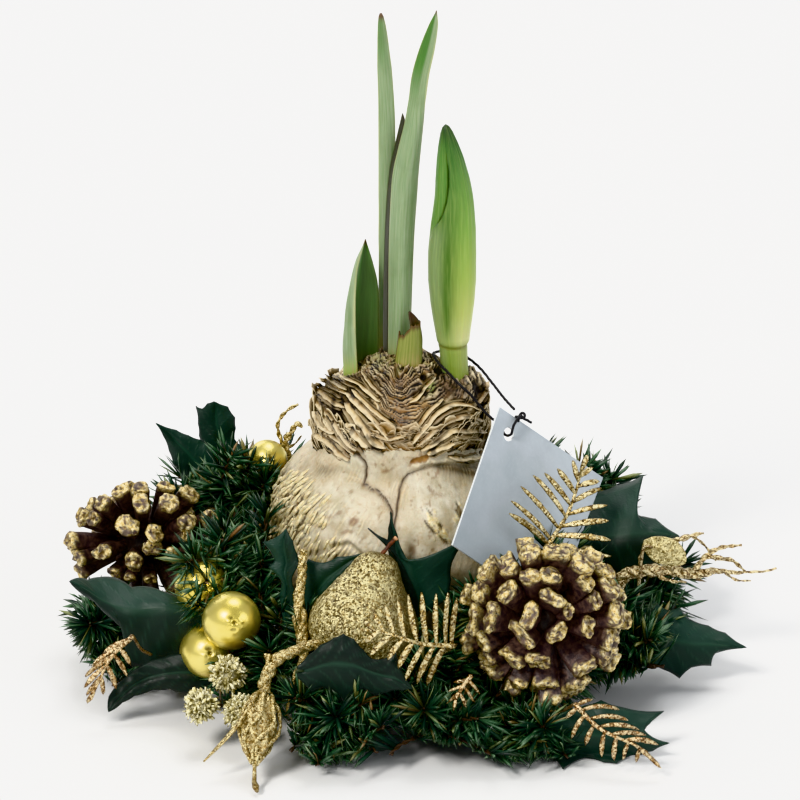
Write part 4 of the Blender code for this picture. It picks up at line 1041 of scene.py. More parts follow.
def make_leaves():
    green = leaf_material("leaf_strap", srgb(118, 142, 96), srgb(146, 163, 128), srgb(62, 104, 38), srgb(150, 172, 92), srgb(96, 72, 52))

    # left strap leaf, slightly channelled towards the back
    rows, cols = 110, 15
    path = smooth_path([(-5.2, 7.5, 108.0), (-5.0, 7.2, 135.0), (-4.8, 7.0, 160.0), (-4.7, 6.0, 190.0), (-4.9, 4.6, 215.0), (-6.0, 3.4, 238.0), (-6.9, 2.6, 252.8)], rows)
    half = at_rows(rows, [(0, 2.5), (0.2, 2.8), (0.45, 3.0), (0.7, 3.05), (0.85, 2.6), (0.93, 1.9), (0.97, 1.35), (0.992, 0.8), (1.0, 0.25)])
    mid = plain_blade(path, half, (1, 0.12, 0), 0.16, cols, lean=at_rows(rows, [(0, 0.1), (0.5, 0.0), (1, -0.25)]), wave=0.25, seed=3)
    q = np.linspace(-1, 1, cols)[None, :]
    a = np.linspace(0, 1, rows)[:, None]
    g = Geo()
    thick = 0.42 + 0.9 * (1 - q ** 2) * np.minimum(1, half[:, None] / 2.5)
    shade = step(q, 0.15, 0.6) * (1 - step(a, 0.42, 0.62))
    sheet(g, mid, thick, u=q * 5.2, along=a * 145, edge=step(np.abs(q), 0.82, 1.0) * np.ones_like(a), inner=0.65 * step(a, 0.8, 0.93) * (1 - step(q, -0.2, 0.9)),
          base=1 - step(a, 0.02, 0.2), tip=step(a, 0.975, 0.995), shade=shade * 0.85)
    o = g.build("leaf_tall_left_blade", green)
    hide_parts("leaf_tall_left")

    # right strap leaf: outer face to the front, its top half turned so that the inner face shows at the left
    left = [front_point(x, s, y) for x, s, y in [(-4.3, 97, 2.6), (-4.1, 121, 2.4), (-3.9, 149.3, 2.2), (-3.2, 166.6, 2.0), (-2.4, 175.3, 2.0), (-0.45, 184, 2.0), (1.7, 192.6, 2.2), (3.2, 201.3, 2.8), (4.3, 210, 3.4), (6.7, 218.7, 3.2), (10.1, 227.3, 2.0), (12.9, 232.6, 0.8)]]
    keel = [front_point(x, s, y) for x, s, y in [(-0.4, 97, -0.6), (0.0, 121, -0.9), (0.9, 149.3, -1.2), (1.9, 166.6, -1.4), (2.9, 175.3, -1.5), (4.2, 184, -1.3), (5.6, 192.6, -0.9), (6.8, 201.3, 0.6), (8.2, 210, 2.0), (10.4, 218.7, 2.2), (12.2, 227.3, 1.4), (13.1, 233.0, 0.7)]]
    right = [front_point(x, s, y) for x, s, y in [(3.2, 97, 2.2), (3.9, 121, 2.2), (4.9, 149.3, 2.0), (6.06, 166.6, 1.8), (6.66, 175.3, 1.6), (7.5, 184, 1.2), (8.4, 192.6, 0.4), (9.3, 201.3, -0.2), (10.4, 210, -0.6), (12.3, 218.7, -0.6), (13.6, 227.3, 0.0), (13.3, 232.8, 0.6)]]
    rows, cols = 120, 21
    mid = blade_rows(left, right, keel, rows, cols)
    q = np.linspace(-1, 1, cols)[None, :]
    a = np.linspace(0, 1, rows)[:, None]
    g = Geo()
    turned_in = step(a, 0.72, 0.86) * (1 - step(q, -0.25 + 0.9 * (1 - a), 0.15 + 0.9 * (1 - a)))
    near = np.minimum(1.0, (1 - a) * 9)
    sheet(g, mid, (0.45 + 0.95 * (1 - q ** 2)) * (0.25 + 0.75 * near), u=q * 7.5, along=a * 148, edge=step(np.abs(q), 0.88, 1.0) * np.ones_like(a),
          inner=turned_in, base=1 - step(a, 0.02, 0.16), tip=step(a, 0.985, 0.998), shade=0.0)
    # narrow folded-back margin at its left, dark inside
    fl_rows = 90
    outer = smooth_path([front_point(x, s, y) for x, s, y in [(-5.6, 99, 5.0), (-6.0, 121, 5.2), (-5.7, 140, 5.2), (-5.1, 158, 5.2), (-3.7, 175.3, 4.9), (-1.4, 186, 4.2), (0.3, 193.6, 3.6), (0.9, 196.2, 3.2)]], fl_rows)
    inner = smooth_path([front_point(x, s, y) for x, s, y in [(-4.1, 99, 2.8), (-4.0, 121, 2.6), (-3.9, 140, 2.4), (-3.5, 158, 2.4), (-2.3, 175.3, 2.2), (-0.2, 186, 2.2), (1.4, 192.0, 2.4), (1.7, 194.0, 2.6)]], fl_rows)
    q2 = np.linspace(0, 1, 5)[None, :, None]
    fl = inner[:, None] * (1 - q2) + outer[:, None] * q2
    a2 = np.linspace(0, 1, fl_rows)[:, None]
    sheet(g, fl, 0.5, u=q2[..., 0] * 2, along=a2 * 100, edge=step(q2[..., 0], 0.9, 1.0) * 0.35 * np.ones_like(a2), inner=0.0, base=1 - step(a2, 0.0, 0.1), tip=0.0,
          shade=(0.98 - 0.15 * step(q2[..., 0], 0.85, 1.0)) * np.ones_like(a2))
    o = g.build("leaf_tall_right_blade", green)
    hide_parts("leaf_tall_right")

    # short leaf: folded, its left half turned forward over the dark channel
    rows, cols = 70, 25
    lm = smooth_path([front_point(x, s, y) for x, s, y in [(-15.2, 100, -4.2), (-15.9, 112, -4.4), (-16.2, 122, -4.0), (-16.1, 132, -3.2), (-15.3, 141, -1.6), (-12.6, 150.4, 0.9)]], rows)
    kl = smooth_path([front_point(x, s, y) for x, s, y in [(-20.0, 100, 0.4), (-20.2, 112, 0.2), (-19.4, 123.2, 0.0), (-18.1, 132, 0.2), (-16.1, 141, 0.6), (-12.7, 150.4, 1.1)]], rows)
    rm = smooth_path([front_point(x, s, y) for x, s, y in [(-8.6, 100, 3.2), (-7.7, 112, 3.2), (-7.6, 123.2, 3.0), (-7.9, 134, 2.8), (-9.4, 141, 2.2), (-12.3, 150.6, 1.2)]], rows)
    mid = across(np.stack([lm, (lm + 2 * kl) / 3 + (0, 0, 0), kl + np.array([0.1, 0.5, 0]), (2 * kl + rm) / 3 + np.array([0.0, 0.9, 0]), (kl + 2 * rm) / 3 + np.array([0, 0.8, 0]), rm], axis=1), cols)
    q = np.linspace(0, 1, cols)[None, :]
    a = np.linspace(0, 1, rows)[:, None]
    g = Geo()
    inner_side = step(q, 0.36, 0.48) * np.ones_like(a)
    tk = (0.5 + 0.8 * np.sin(np.pi * q) ** 0.7) * np.clip((1 - a) * 7, 0.25, 1)
    sheet(g, mid, tk, u=q * 10, along=a * 56, edge=np.maximum(1 - step(q, 0.0, 0.07), step(q, 0.94, 1.0) * 0.5) * np.ones_like(a), inner=inner_side,
          base=(1 - step(a, 0.04, 0.22)), tip=step(a, 0.95, 0.985) * 0.8, shade=0.60 * inner_side * step(q, 0.4, 0.6) * (1 - 0.35 * step(a, 0.7, 1.0)))
    o = g.build("leaf_short_blade", green)
    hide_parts("leaf_short")

    # stub of a cut leaf, wrapped round itself, with a dried rim
    rows, cols = 46, 41
    g = Geo()
    th = np.linspace(math.radians(-205), math.radians(78), cols)[None, :]
    a = np.linspace(0, 1, rows)[:, None]
    cut = 130.2 + 4.6 * step(np.cos(th - math.radians(-22)), -0.9, 1.0) + 1.0 * vnoise(np.stack([th * 3, th * 0, th * 0], -1), 5) + 0.7 * vnoise(np.stack([th * 9, th * 0, th * 0], -1), 6)
    z = 108.0 + (cut - 108.0) * a
    rr = 5.4 - 1.5 * a + 0.0 * th
    x = 2.2 + rr * np.cos(th) * 0.95 + 1.3 * a
    y = -4.9 + rr * 0.60 * np.sin(th) - 0.5 * a
    mid = np.stack([x, y, z + 0 * x], -1)
    dry = np.maximum(step(a, 0.90, 0.99) * np.ones_like(th), step(-np.cos(th + 0.35), 0.80, 0.97) * step(a, 0.30, 0.55))
    sheet(g, mid, 0.9 - 0.35 * a + 0 * th, u=th * 5, along=a * 22 * np.ones_like(th), edge=0.0, inner=0.0, base=(1 - step(a, 0.35, 0.7)) * 0.7 * np.ones_like(th),
          tip=dry * 0.85, shade=dry * 0.35)
    # dark curled inner leaf end behind the rim
    path = smooth_path([(4.8, -4.2, 116), (5.3, -4.6, 126), (5.0, -5.4, 134), (3.4, -6.4, 139.4)], 30)
    half = at_rows(30, [(0, 2.6), (0.5, 2.6), (0.8, 1.9), (0.95, 0.8), (1, 0.2)])
    mid = plain_blade(path, half, (0.8, 0.5, 0), -0.5, 9)
    q = np.linspace(-1, 1, 9)[None, :]
    a3 = np.linspace(0, 1, 30)[:, None]
    sheet(g, mid, 0.6, u=q * 3, along=a3 * 25, edge=step(np.abs(q), 0.7, 1.0) * 0.5 * np.ones_like(a3), inner=0.5, base=0.0, tip=step(a3, 0.6, 0.95), shade=0.75 * step(a3, 0.35, 0.7) * np.ones_like(q))
    o = g.build("leaf_stub_blade", leaf_material("leaf_cut", srgb(110, 122, 50), srgb(146, 150, 82), srgb(72, 86, 32), srgb(138, 142, 78), srgb(104, 70, 44)))
    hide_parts("leaf_stub")


def make_bud():
    rows, n = 190, 112
    axis = smooth_path([(20.3, 1.2, 106.0), (19.7, 1.0, 114), (19.2, 0.9, 124), (18.9, 0.7, 140), (18.8, 0.5, 158), (19.2, 0.4, 170), (19.4, 0.3, 182), (18.4, 0.2, 194), (17.2, 0.1, 204), (16.4, 0.0, 210.4)], rows)
    z = axis[:, 2]
    half = np.interp(z, [106, 112, 119, 122.5, 124.2, 125.8, 128, 133, 140, 149, 160, 170, 180, 189, 197, 203, 207.2, 209.4, 210.4],
                     [4.8, 4.95, 5.05, 5.2, 5.9, 6.05, 6.35, 7.1, 8.0, 8.75, 8.75, 8.2, 7.2, 6.2, 4.9, 3.5, 2.3, 1.3, 0.15])
    th = dense_front(n, 0.35)
    t, s, f = frames_along(axis, (1, 0, 0))
    c, sn = np.cos(th)[None, :, None], np.sin(th)[None, :, None]
    depth = np.interp(z, [106, 122, 135, 160, 190, 210], [1.0, 0.98, 0.86, 0.80, 0.84, 0.95])
    p = axis[:, None] + half[:, None, None] * (c * s[:, None] + sn * depth[:, None, None] * f[:, None])
    xx, yy, zz = p[..., 0], p[..., 1], p[..., 2]
    ss = COS24 * zz + SIN24 * yy
    front = step(-sn[..., 0], -0.05, 0.25) * np.ones_like(xx)
    lip = [(15.6, 190.5), (16.4, 184.5), (16.9, 180.5), (17.5, 175.3), (17.5, 170.1), (16.7, 164.0), (15.0, 158.8), (12.6, 155.3), (10.6, 150.0), (8.5, 142)]
    d, al = line_distance(xx, ss, lip)
    lx = np.array([q[0] for q in lip])
    ls = np.array([q[1] for q in lip])
    line_x = np.interp(ss, ls[::-1], lx[::-1])
    under = (xx < line_x) & (ss > 142)
    strong = step(ss, 150, 158) * (1 - step(ss, 178, 192))
    h = np.where(under, -1.15 * np.exp(-d / 2.4) * strong, 0.75 * np.exp(-d / 3.0) * strong) * front
    crease = np.exp(-(d / 0.42) ** 2) * step(ss, 152, 158) * (1 - step(ss, 172, 184)) * front
    h = h - 0.9 * crease
    # second overlap behind
    back = step(sn[..., 0], 0.1, 0.35) * np.ones_like(xx)
    wz = 19.5 + 3.5 * np.sin((zz - 130) / 26.0)
    bd = xx - wz
    h = h + back * (0.55 * np.exp(-np.abs(bd) / 2.0) * np.where(bd > 0, 1, -1)) * step(zz, 134, 150) * (1 - step(zz, 186, 202))
    crease = np.maximum(crease, back * np.exp(-(bd / 0.4) ** 2) * 0.6 * step(zz, 136, 150) * (1 - step(zz, 186, 202)))
    # a broad flat and a keel down the show side, and the ring wrinkle above the scape
    keel = np.exp(-((xx - (16.6 + 0.02 * (zz - 130))) / 1.5) ** 2) * step(zz, 124, 134) * (1 - step(zz, 158, 170)) * front
    h = h - 0.30 * keel
    ring = np.exp(-((zz - (124.0 - 0.5 * np.cos(np.arctan2(sn[..., 0], c[..., 0]) + 1.2))) / 0.8) ** 2)
    h = h - 0.55 * ring
    rib = vnoise(np.stack([np.cos(th)[None] * 9 + 0 * zz, np.sin(th)[None] * 9 + 0 * zz, zz / 60], -1), 7)
    h = h + 0.10 * rib * step(half, 1.5, 4.0)[:, None]
    near_tip = step(half, 0.3, 2.5)[:, None]
    nrm = c * s[:, None] + sn * f[:, None]
    p = p + nrm * (h * near_tip)[..., None]
    a = (zz - 106) / 104.4
    xr = (xx - axis[:, None, 0]) / np.maximum(half[:, None], 0.3)
    g = Geo()
    flat = p.reshape(-1, 3)
    at = dict(along=a.reshape(-1), u=(th[None] * 8 + 0 * zz).reshape(-1), right=(step(xr, -0.35, 0.75) * front + (1 - front) * 0.5).reshape(-1),
              crease=crease.reshape(-1), grey=(front * step(-xr, 0.15, 0.8) * (1 - step(ss, 150, 160))).reshape(-1),
              mid=(keel * 1.0).reshape(-1), ring=(ring * (0.35 + 0.65 * front)).reshape(-1), under=(under * front * strong).reshape(-1))
    at = {k: np.concatenate([v, [v[0], v[-1]]]) for k, v in at.items()}
    g.add(np.concatenate([flat, axis[:1], axis[-1:]]), np.concatenate([fan(0, n, rows * n, True), fan((rows - 1) * n, n, rows * n + 1)]), grid_faces(rows, n, True), **at)

    t = NT("bud_spathe")
    al, right = t.attr("along"), t.attr("right")
    cv = t.node("ShaderNodeCombineXYZ")
    t.link(t.attr("u"), cv.inputs[0])
    t.put(cv.inputs[1], t.math("MULTIPLY", al, 5.0))
    veins = t.noise(1.3, 3.0, 0.6, 0.0, cv.outputs[0])
    cells = t.noise(800.0, 3.0)
    col_l = t.ramp(al, [(0.0, srgb(128, 150, 70)), (0.16, srgb(120, 142, 62)), (0.20, srgb(142, 158, 88)), (0.34, srgb(94, 120, 50)), (0.55, srgb(76, 108, 40)), (0.75, srgb(76, 114, 48)), (0.92, srgb(54, 98, 38)), (1.0, srgb(26, 52, 24))])
    col_r = t.ramp(al, [(0.0, srgb(140, 156, 78)), (0.16, srgb(150, 164, 84)), (0.20, srgb(206, 208, 142)), (0.30, srgb(186, 196, 108)), (0.44, srgb(154, 178, 82)), (0.62, srgb(122, 160, 68)), (0.82, srgb(90, 132, 58)), (0.93, srgb(50, 94, 36)), (1.0, srgb(26, 52, 24))])
    col = t.mix(right, col_l, col_r)
    # painted highlight: grey-green sheen down the rounded left edge of the show side
    col = t.mix(t.math("MULTIPLY", t.attr("grey"), 0.46), col, srgb(146, 162, 118))
    col = t.mix(t.math("MULTIPLY", t.attr("mid"), 0.78), col, srgb(58, 98, 16))
    # painted highlight: lighter green on the tucked valve beside the lip
    col = t.mix(t.math("MULTIPLY", t.attr("under"), 0.4), col, srgb(96, 146, 60))
    col = t.mix(t.math("MULTIPLY", t.span(veins, 0.45, 0.7), 0.35), col, t.mix(0.5, col, srgb(190, 208, 120)))
    col = t.mix(t.math("MULTIPLY", t.attr("ring"), 0.55), col, srgb(104, 100, 38))
    # painted shade: the creases go near-black green
    col = t.mix(t.math("MULTIPLY", t.attr("crease"), 0.92, clamp=True), col, srgb(18, 48, 12))
    n1 = t.bump(veins, 0.3, 0.0004)
    n2 = t.bump(cells, 0.12, 0.0002, n1)
    m = t.set(color=col, rough=t.span(t.noise(90.0, 3.0), 0.3, 0.7, 0.34, 0.46), spec=0.45, sss=0.08, sss_scale=0.003, normal=n2)
    o = g.build("bud_spathe", m)
    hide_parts("flower_bud")


make_leaves()
make_bud()
make_wax()
make_neck()


# ================================================================ artificial pine
RING_R, RING_Z = 71.0, 9.0


def on_ring(deg, out=0.0, up=0.0):
    a = math.radians(deg)
    return ((RING_R + out) * math.cos(a), (RING_R + out) * math.sin(a), RING_Z + up)


SPRIGS = {
    "pine_sprig_top_left": [on_ring(144, 0, 4), (-62, 43, 30), (-72, 42, 48)],
    "pine_sprig_upper_left": [on_ring(130, -2, 4), (-47, 54, 30), (-51, 48, 47)],
    "pine_sprig_mid_left": [on_ring(207, -2, 4), (-57, -27, 34), (-56, -25.5, 55)],
    "pine_sprig_left": [on_ring(183, 4, 2), (-96, -12, 14), (-112, -18, 20)],
    "pine_sprig_front": [on_ring(252, 4, 0), (-25, -84, 13), (-25, -99, 12)],
    "pine_sprig_front_right": [on_ring(278, 4, 0), (14, -86, 12), (20, -98, 12)],
    "pine_sprig_low_right": [on_ring(303, 4, -1), (44, -80, 9), (46, -97, 10)],
    "pine_sprig_right": [on_ring(331, 3, 3), (77, -33, 20), (92, -34, 25)],
    "pine_sprig_top_right": [on_ring(36, 1, 4), (66, 36, 34), (70, 33, 56)],
    "pine_sprig_east": [on_ring(10, 4, 1), (86, 16, 15), (97, 22, 17)],
    "pine_sprig_back_right": [on_ring(60, 4, 1), (45, 79, 17), (54, 97, 20)],
    "pine_sprig_back": [on_ring(86, 4, 1), (6, 90, 18), (8, 107, 22)],
    "pine_sprig_back_left": [on_ring(112, 4, 1), (-35, 84, 17), (-44, 100, 21)],
    "pine_sprig_back_upright": [on_ring(96, -3, 4), (-6, 63, 34), (-4, 60, 56)],
}
# twigs that branch from each sprig's own wire, and short loose ones along the ring
BRANCHES = {
    "pine_sprig_top_left": [[(-64, 43, 32), (-74, 36, 42), (-83, 30, 49)], [(-62, 43, 30), (-59, 36, 44), (-57, 30, 53)], [(-63, 43, 30), (-72, 50, 40), (-80, 52, 48)], [(-60, 44, 24), (-76, 40, 32), (-88, 36, 37)], [(-61, 43, 28), (-54, 40, 38), (-47, 36, 45)]],
    "pine_sprig_upper_left": [[(-57, 34, 36), (-52, 26, 50), (-50, 17, 62)], [(-56, 33, 36), (-50, 28, 50), (-46.5, 20, 60)], [(-47, 54, 30), (-43, 46, 42), (-42, 41, 50)], [(-48, 53, 32), (-56, 48, 42), (-61, 44, 51)], [(-57, 34, 38), (-59, 24, 54), (-55, 17, 68)], [(-58, 32, 42), (-64, 24, 56), (-62, 18, 71)], [(-56, 30, 40), (-53, 20, 52), (-49.5, 14, 62)], [(-47, 54, 28), (-42, 50, 36), (-38, 46, 42)], [(-48, 53, 34), (-52, 55, 42), (-56, 56, 48)]],
    "pine_sprig_mid_left": [[(-62, -36, 32), (-70, -47, 41), (-73, -52, 45)], [(-60, -30, 36), (-64, -42, 48), (-70.5, -50, 52)], [(-60, -30, 32), (-62, -44, 42), (-65.5, -52, 47)], [(-62, -26, 40), (-70, -38, 55), (-77, -46, 58)], [(-58, -26, 28), (-66, -30, 38), (-70, -36, 50)], [(-57, -27, 34), (-50, -22, 48), (-48, -18, 64)], [(-58, -26, 26), (-62, -14, 40), (-64, -6, 54)], [(-57, -27, 36), (-62, -34, 50), (-64, -36, 63)], [(-58, -27, 30), (-52, -32, 42), (-50, -36, 54)], [(-59, -26, 24), (-56, -10, 36), (-56, 4, 48)], [(-60, -26, 20), (-60, -40, 28), (-60, -46, 36)]],
    "pine_sprig_left": [[(-92, -8, 12), (-100, -24, 12), (-108, -36, 13)], [(-97, -12, 14), (-106, -6, 16), (-113, -4, 22)], [(-90, -7, 12), (-96, -30, 9), (-104, -46, 9)], [(-97, -12, 14), (-107, -20, 20), (-113, -26, 26)], [(-96, -11, 14), (-106, -22, 22), (-112, -32, 27)], [(-88, -6, 12), (-98, 10, 12), (-104, 22, 14)]],
    "pine_sprig_front": [[(-25, -84, 12), (-23.6, -98, 19), (-23.0, -106, 24)], [(-24, -84, 12), (-12, -98, 15), (-6, -104, 18.5)], [(-25, -82, 12), (-34, -94, 10), (-40, -103, 9)], [(-24, -86, 13), (-14, -98, 11), (-8, -106, 10)], [(-25, -82, 14), (-32, -90, 22), (-38, -96, 27)], [(-25, -84, 14), (-20, -93, 22), (-14, -100, 26)], [(-25, -82, 10), (-28, -98, 6), (-30, -108, 6)]],
    "pine_sprig_front_right": [[(12, -86, 10), (2, -97, 10), (-3, -106, 9)], [(13, -89, 10), (26, -98, 10), (33, -106, 9)], [(12, -86, 12), (10, -96, 20), (8, -103, 26)], [(13, -88, 12), (22, -96, 18), (28, -102, 22)]],
    "pine_sprig_low_right": [[(44, -80, 8), (54, -92, 6), (61, -101, 6)], [(43, -78, 8), (36, -92, 7), (33, -101, 7)], [(44, -80, 9), (50, -93, 14), (52, -102, 18)]],
    "pine_sprig_right": [[(74, -33, 16), (84, -42, 16), (92, -50, 18)], [(77, -33, 20), (88, -24, 20), (97, -22, 22)], [(75, -33, 18), (84, -40, 22), (91, -46, 27)], [(74, -33, 16), (86, -38, 14), (96, -40, 14)], [(76, -32, 20), (80, -28, 28), (82, -26, 34)]],
    "pine_sprig_top_right": [[(65, 36, 32), (72, 37, 44), (77, 37, 53)], [(65, 36, 34), (66, 31, 50), (65, 28, 62)], [(64, 36, 28), (74, 30, 38), (80, 25, 45)], [(64, 36, 28), (57, 34, 40), (52, 32, 50)]],
    "pine_sprig_east": [[(84, 14, 14), (94, 10, 14), (100, 8, 15)], [(86, 16, 15), (94, 28, 16), (102, 36, 20)], [(85, 15, 14), (90, 18, 20), (94, 20, 24)]],
    "pine_sprig_back_right": [[(44, 77, 16), (58, 86, 18), (68, 92, 22)], [(45, 79, 17), (42, 94, 18), (38, 102, 20)], [(44, 77, 16), (50, 86, 28), (52, 92, 38)]],
    "pine_sprig_back": [[(6, 88, 16), (18, 98, 18), (26, 103, 20)], [(6, 90, 18), (-6, 99, 18), (-14, 104, 20)], [(6, 88, 16), (8, 96, 28), (10, 100, 38)]],
    "pine_sprig_back_left": [[(-34, 82, 16), (-48, 88, 18), (-58, 93, 22)], [(-35, 84, 17), (-28, 96, 18), (-24, 103, 20)], [(-34, 82, 16), (-40, 90, 28), (-44, 95, 38)]],
    "pine_sprig_back_upright": [[(-6, 63, 34), (6, 62, 44), (14, 60, 50)], [(-6, 63, 34), (-16, 62, 46), (-22, 60, 54)], [(-6, 64, 28), (2, 68, 44), (6, 70, 58)]],
}


# the lowest line that the greens reach on the show side, as seen at 24 degrees
HEM = [(-124, 12.0), (-121, 6.5), (-117, -0.6), (-112, -4.0), (-104, -8.0), (-96, -10.0), (-84, -9.0), (-72, -12.0), (-60, -12.0), (-46, -17.0), (-42.3, -21.0), (-39.5, -31.0), (-34, -37.0),
       (-25, -39.0), (-16, -38.5), (-12, -34.0), (-9.5, -25.0), (-6.3, -21.5), (0.8, -21.8), (3.0, -25.0), (8.5, -29.0), (16, -32.0), (21.4, -30.5), (27, -33.5), (33, -36.5), (40, -39.5),
       (47.3, -39.0), (54, -36.0), (60, -36.0), (66, -34.0), (72, -22.0), (76, -11.0), (82, -9.0), (86, -7.5), (93.5, 1.0), (101, 7.0), (110, 9.0), (124, 12.0)]


def needles(g, roots, dirs, lengths, widths, bend, tone, seed):
    """Flat PVC needles: closed slivers with a three-cornered section, a bend and a point."""
    rng = np.random.default_rng(seed)
    d = units(dirs)
    # on the show side no needle hangs below the hem of the wreath
    hx, hs = np.array(HEM).T
    for _ in range(5):
        tip = roots + d * lengths[:, None]
        st = COS24 * tip[:, 2] + SIN24 * tip[:, 1]
        lengths = np.where((tip[:, 1] < 0) & (st < np.interp(tip[:, 0], hx, hs)), lengths * 0.78, lengths)
    tip = roots + d * lengths[:, None]
    st = COS24 * tip[:, 2] + SIN24 * tip[:, 1]
    ok = ~((tip[:, 1] < 0) & (st < np.interp(tip[:, 0], hx, hs) - 0.8)) & (lengths > 2.4)
    roots, d, lengths, widths, bend, tone = roots[ok], d[ok], lengths[ok], widths[ok], bend[ok], tone[ok]
    n = len(roots)
    ref = units(np.cross(d, units(rng.normal(size=(n, 3)))))
    nor = np.cross(d, ref)
    at = np.array([0.0, 0.70, 1.0])
    wid = np.array([0.8, 1.0])
    c = roots[:, None] + d[:, None] * (lengths[:, None] * at)[..., None] + nor[:, None] * ((bend * lengths)[:, None] * at ** 2)[..., None]
    c[..., 2] -= 0.05 * lengths[:, None] * at ** 2
    c[..., 2] = np.where(c[..., 2] < 0.75, 0.75 - 0.25 * np.tanh((0.75 - c[..., 2]) / 6.0), c[..., 2])
    hw = widths[:, None] * wid / 2
    cc = c[:, :2]
    ra = cc + ref[:, None] * hw[..., None]
    rb = cc - ref[:, None] * hw[..., None]
    rc = cc + nor[:, None] * (0.12 + 0.3 * hw)[..., None]
    v = np.concatenate([np.stack([ra, rc, rb], axis=2).reshape(n, 6, 3), c[:, 2:3]], axis=1)
    base = np.arange(n)[:, None, None] * 7
    f4 = (np.array([(0, 1, 4, 3), (1, 2, 5, 4), (2, 0, 3, 5)])[None] + base).reshape(-1, 4)
    f3 = (np.array([(2, 1, 0), (3, 4, 6), (4, 5, 6), (5, 3, 6)])[None] + base).reshape(-1, 3)
    along = np.tile(np.array([0, 0, 0, 0.7, 0.7, 0.7, 1.0]), n)
    g.add(v.reshape(-1, 3), f3, f4, along=along, tone=np.repeat(tone, 7))


def keep_clear(roots, d, ln):
    """Shorten needles that would run into the waxed body or the papery neck."""
    tip = roots + d * ln[:, None]
    for _ in range(4):
        r = np.hypot(tip[:, 0], tip[:, 1])
        lim = np.where(tip[:, 2] < 96, base_r(np.clip(tip[:, 2], 0, 95)) + 2.2, 35.5)
        bad = (r < lim) & (tip[:, 2] < 116)
        ln = np.where(bad, ln * 0.72, ln)
        tip = roots + d * ln[:, None]
    r = np.hypot(tip[:, 0], tip[:, 1])
    ok = ~((r < lim) & (tip[:, 2] < 116))
    return ln, ok


def brush(g, path, per_mm, length, seed, lean=0.55, tip_tuft=True, thin=1.0):
    """Needles set round a twisted wire in a tight spiral, leaning towards its tip."""
    rng = np.random.default_rng(seed)
    run = np.concatenate([[0], np.cumsum(np.linalg.norm(np.diff(path, axis=0), axis=1))])
    total = run[-1]
    n = int(total * per_mm)
    at = np.sort(rng.uniform(0.0, total, n))
    roots = np.stack([np.interp(at, run, path[:, k]) for k in range(3)], 1)
    t, s, f = frames_along(path, (0.31, 0.17, 0.93))
    tt = units(np.stack([np.interp(at, run, t[:, k]) for k in range(3)], 1))
    sv = units(np.stack([np.interp(at, run, s[:, k]) for k in range(3)], 1))
    fv = np.cross(tt, sv)
    ph = rng.uniform(0, TAU, n)
    u = at / total
    ln_ = rng.normal(length, length * 0.13, n).clip(length * 0.55, length * 1.3) * (0.82 + 0.3 * np.sin(np.pi * np.clip(u * 0.8 + 0.15, 0, 1)))
    le = np.clip(rng.normal(lean, 0.16, n) + 0.75 * np.clip((u - 0.86) / 0.14, 0, 1), -0.1, 2.2) if tip_tuft else rng.normal(lean, 0.2, n)
    d = units(np.cos(ph)[:, None] * sv + np.sin(ph)[:, None] * fv + le[:, None] * tt)
    ln_, ok = keep_clear(roots, d, ln_)
    ok &= ln_ > 2.5
    tone = rng.uniform(0, 1, n)
    needles(g, (roots + d * 0.3)[ok], d[ok], ln_[ok], rng.uniform(1.15, 1.6, n)[ok] * thin, rng.normal(0.0, 0.085, n)[ok], tone[ok], seed + 1)


def twisted_wire(g, path, r=0.62):
    """Two strands wound round each other."""
    m = max(24, int(len(path) * 1.0))
    t, s, f = frames_along(path, (0.31, 0.17, 0.93))
    run = np.concatenate([[0], np.cumsum(np.linalg.norm(np.diff(path, axis=0), axis=1))])
    for k in (0, math.pi):
        ph = run / 1.5 + k
        q = path + 0.42 * (np.cos(ph)[:, None] * s + np.sin(ph)[:, None] * f)
        q[:, 2] = np.maximum(q[:, 2], 0.7)
        add_tube(g, q, r * 0.72, 5, along=0.1, tone=-1.0)


def pine_material():
    t = NT("pine_pvc")
    tone, al = t.attr("tone"), t.attr("along")
    small = t.noise(420.0, 2.0)
    patch = t.noise(38.0, 3.0)
    c = t.ramp(tone, [(0.0, srgb(20, 34, 27)), (0.28, srgb(32, 54, 42)), (0.52, srgb(46, 76, 56)), (0.74, srgb(72, 106, 78)), (0.90, srgb(112, 140, 110)), (0.955, srgb(142, 148, 98)), (1.0, srgb(146, 110, 78))])
    # painted shade: needles darken towards their roots, deep in the sprig
    c = t.mix(t.math("MULTIPLY", t.span(al, 0.0, 0.5, 0.8, 0.0), 1.0, clamp=True), c, srgb(8, 18, 13))
    c = t.mix(t.math("MULTIPLY", t.span(patch, 0.42, 0.62), 0.40), c, srgb(20, 42, 36))
    c = t.mix(t.math("MULTIPLY", t.span(al, 0.6, 1.0), 0.20), c, srgb(146, 164, 126))
    wire = t.math("LESS_THAN", tone, -0.5)
    c = t.mix(wire, c, srgb(62, 46, 32))
    return t.set(color=c, rough=t.span(small, 0.3, 0.7, 0.34, 0.5), spec=0.5, normal=t.bump(small, 0.25, 0.0002))


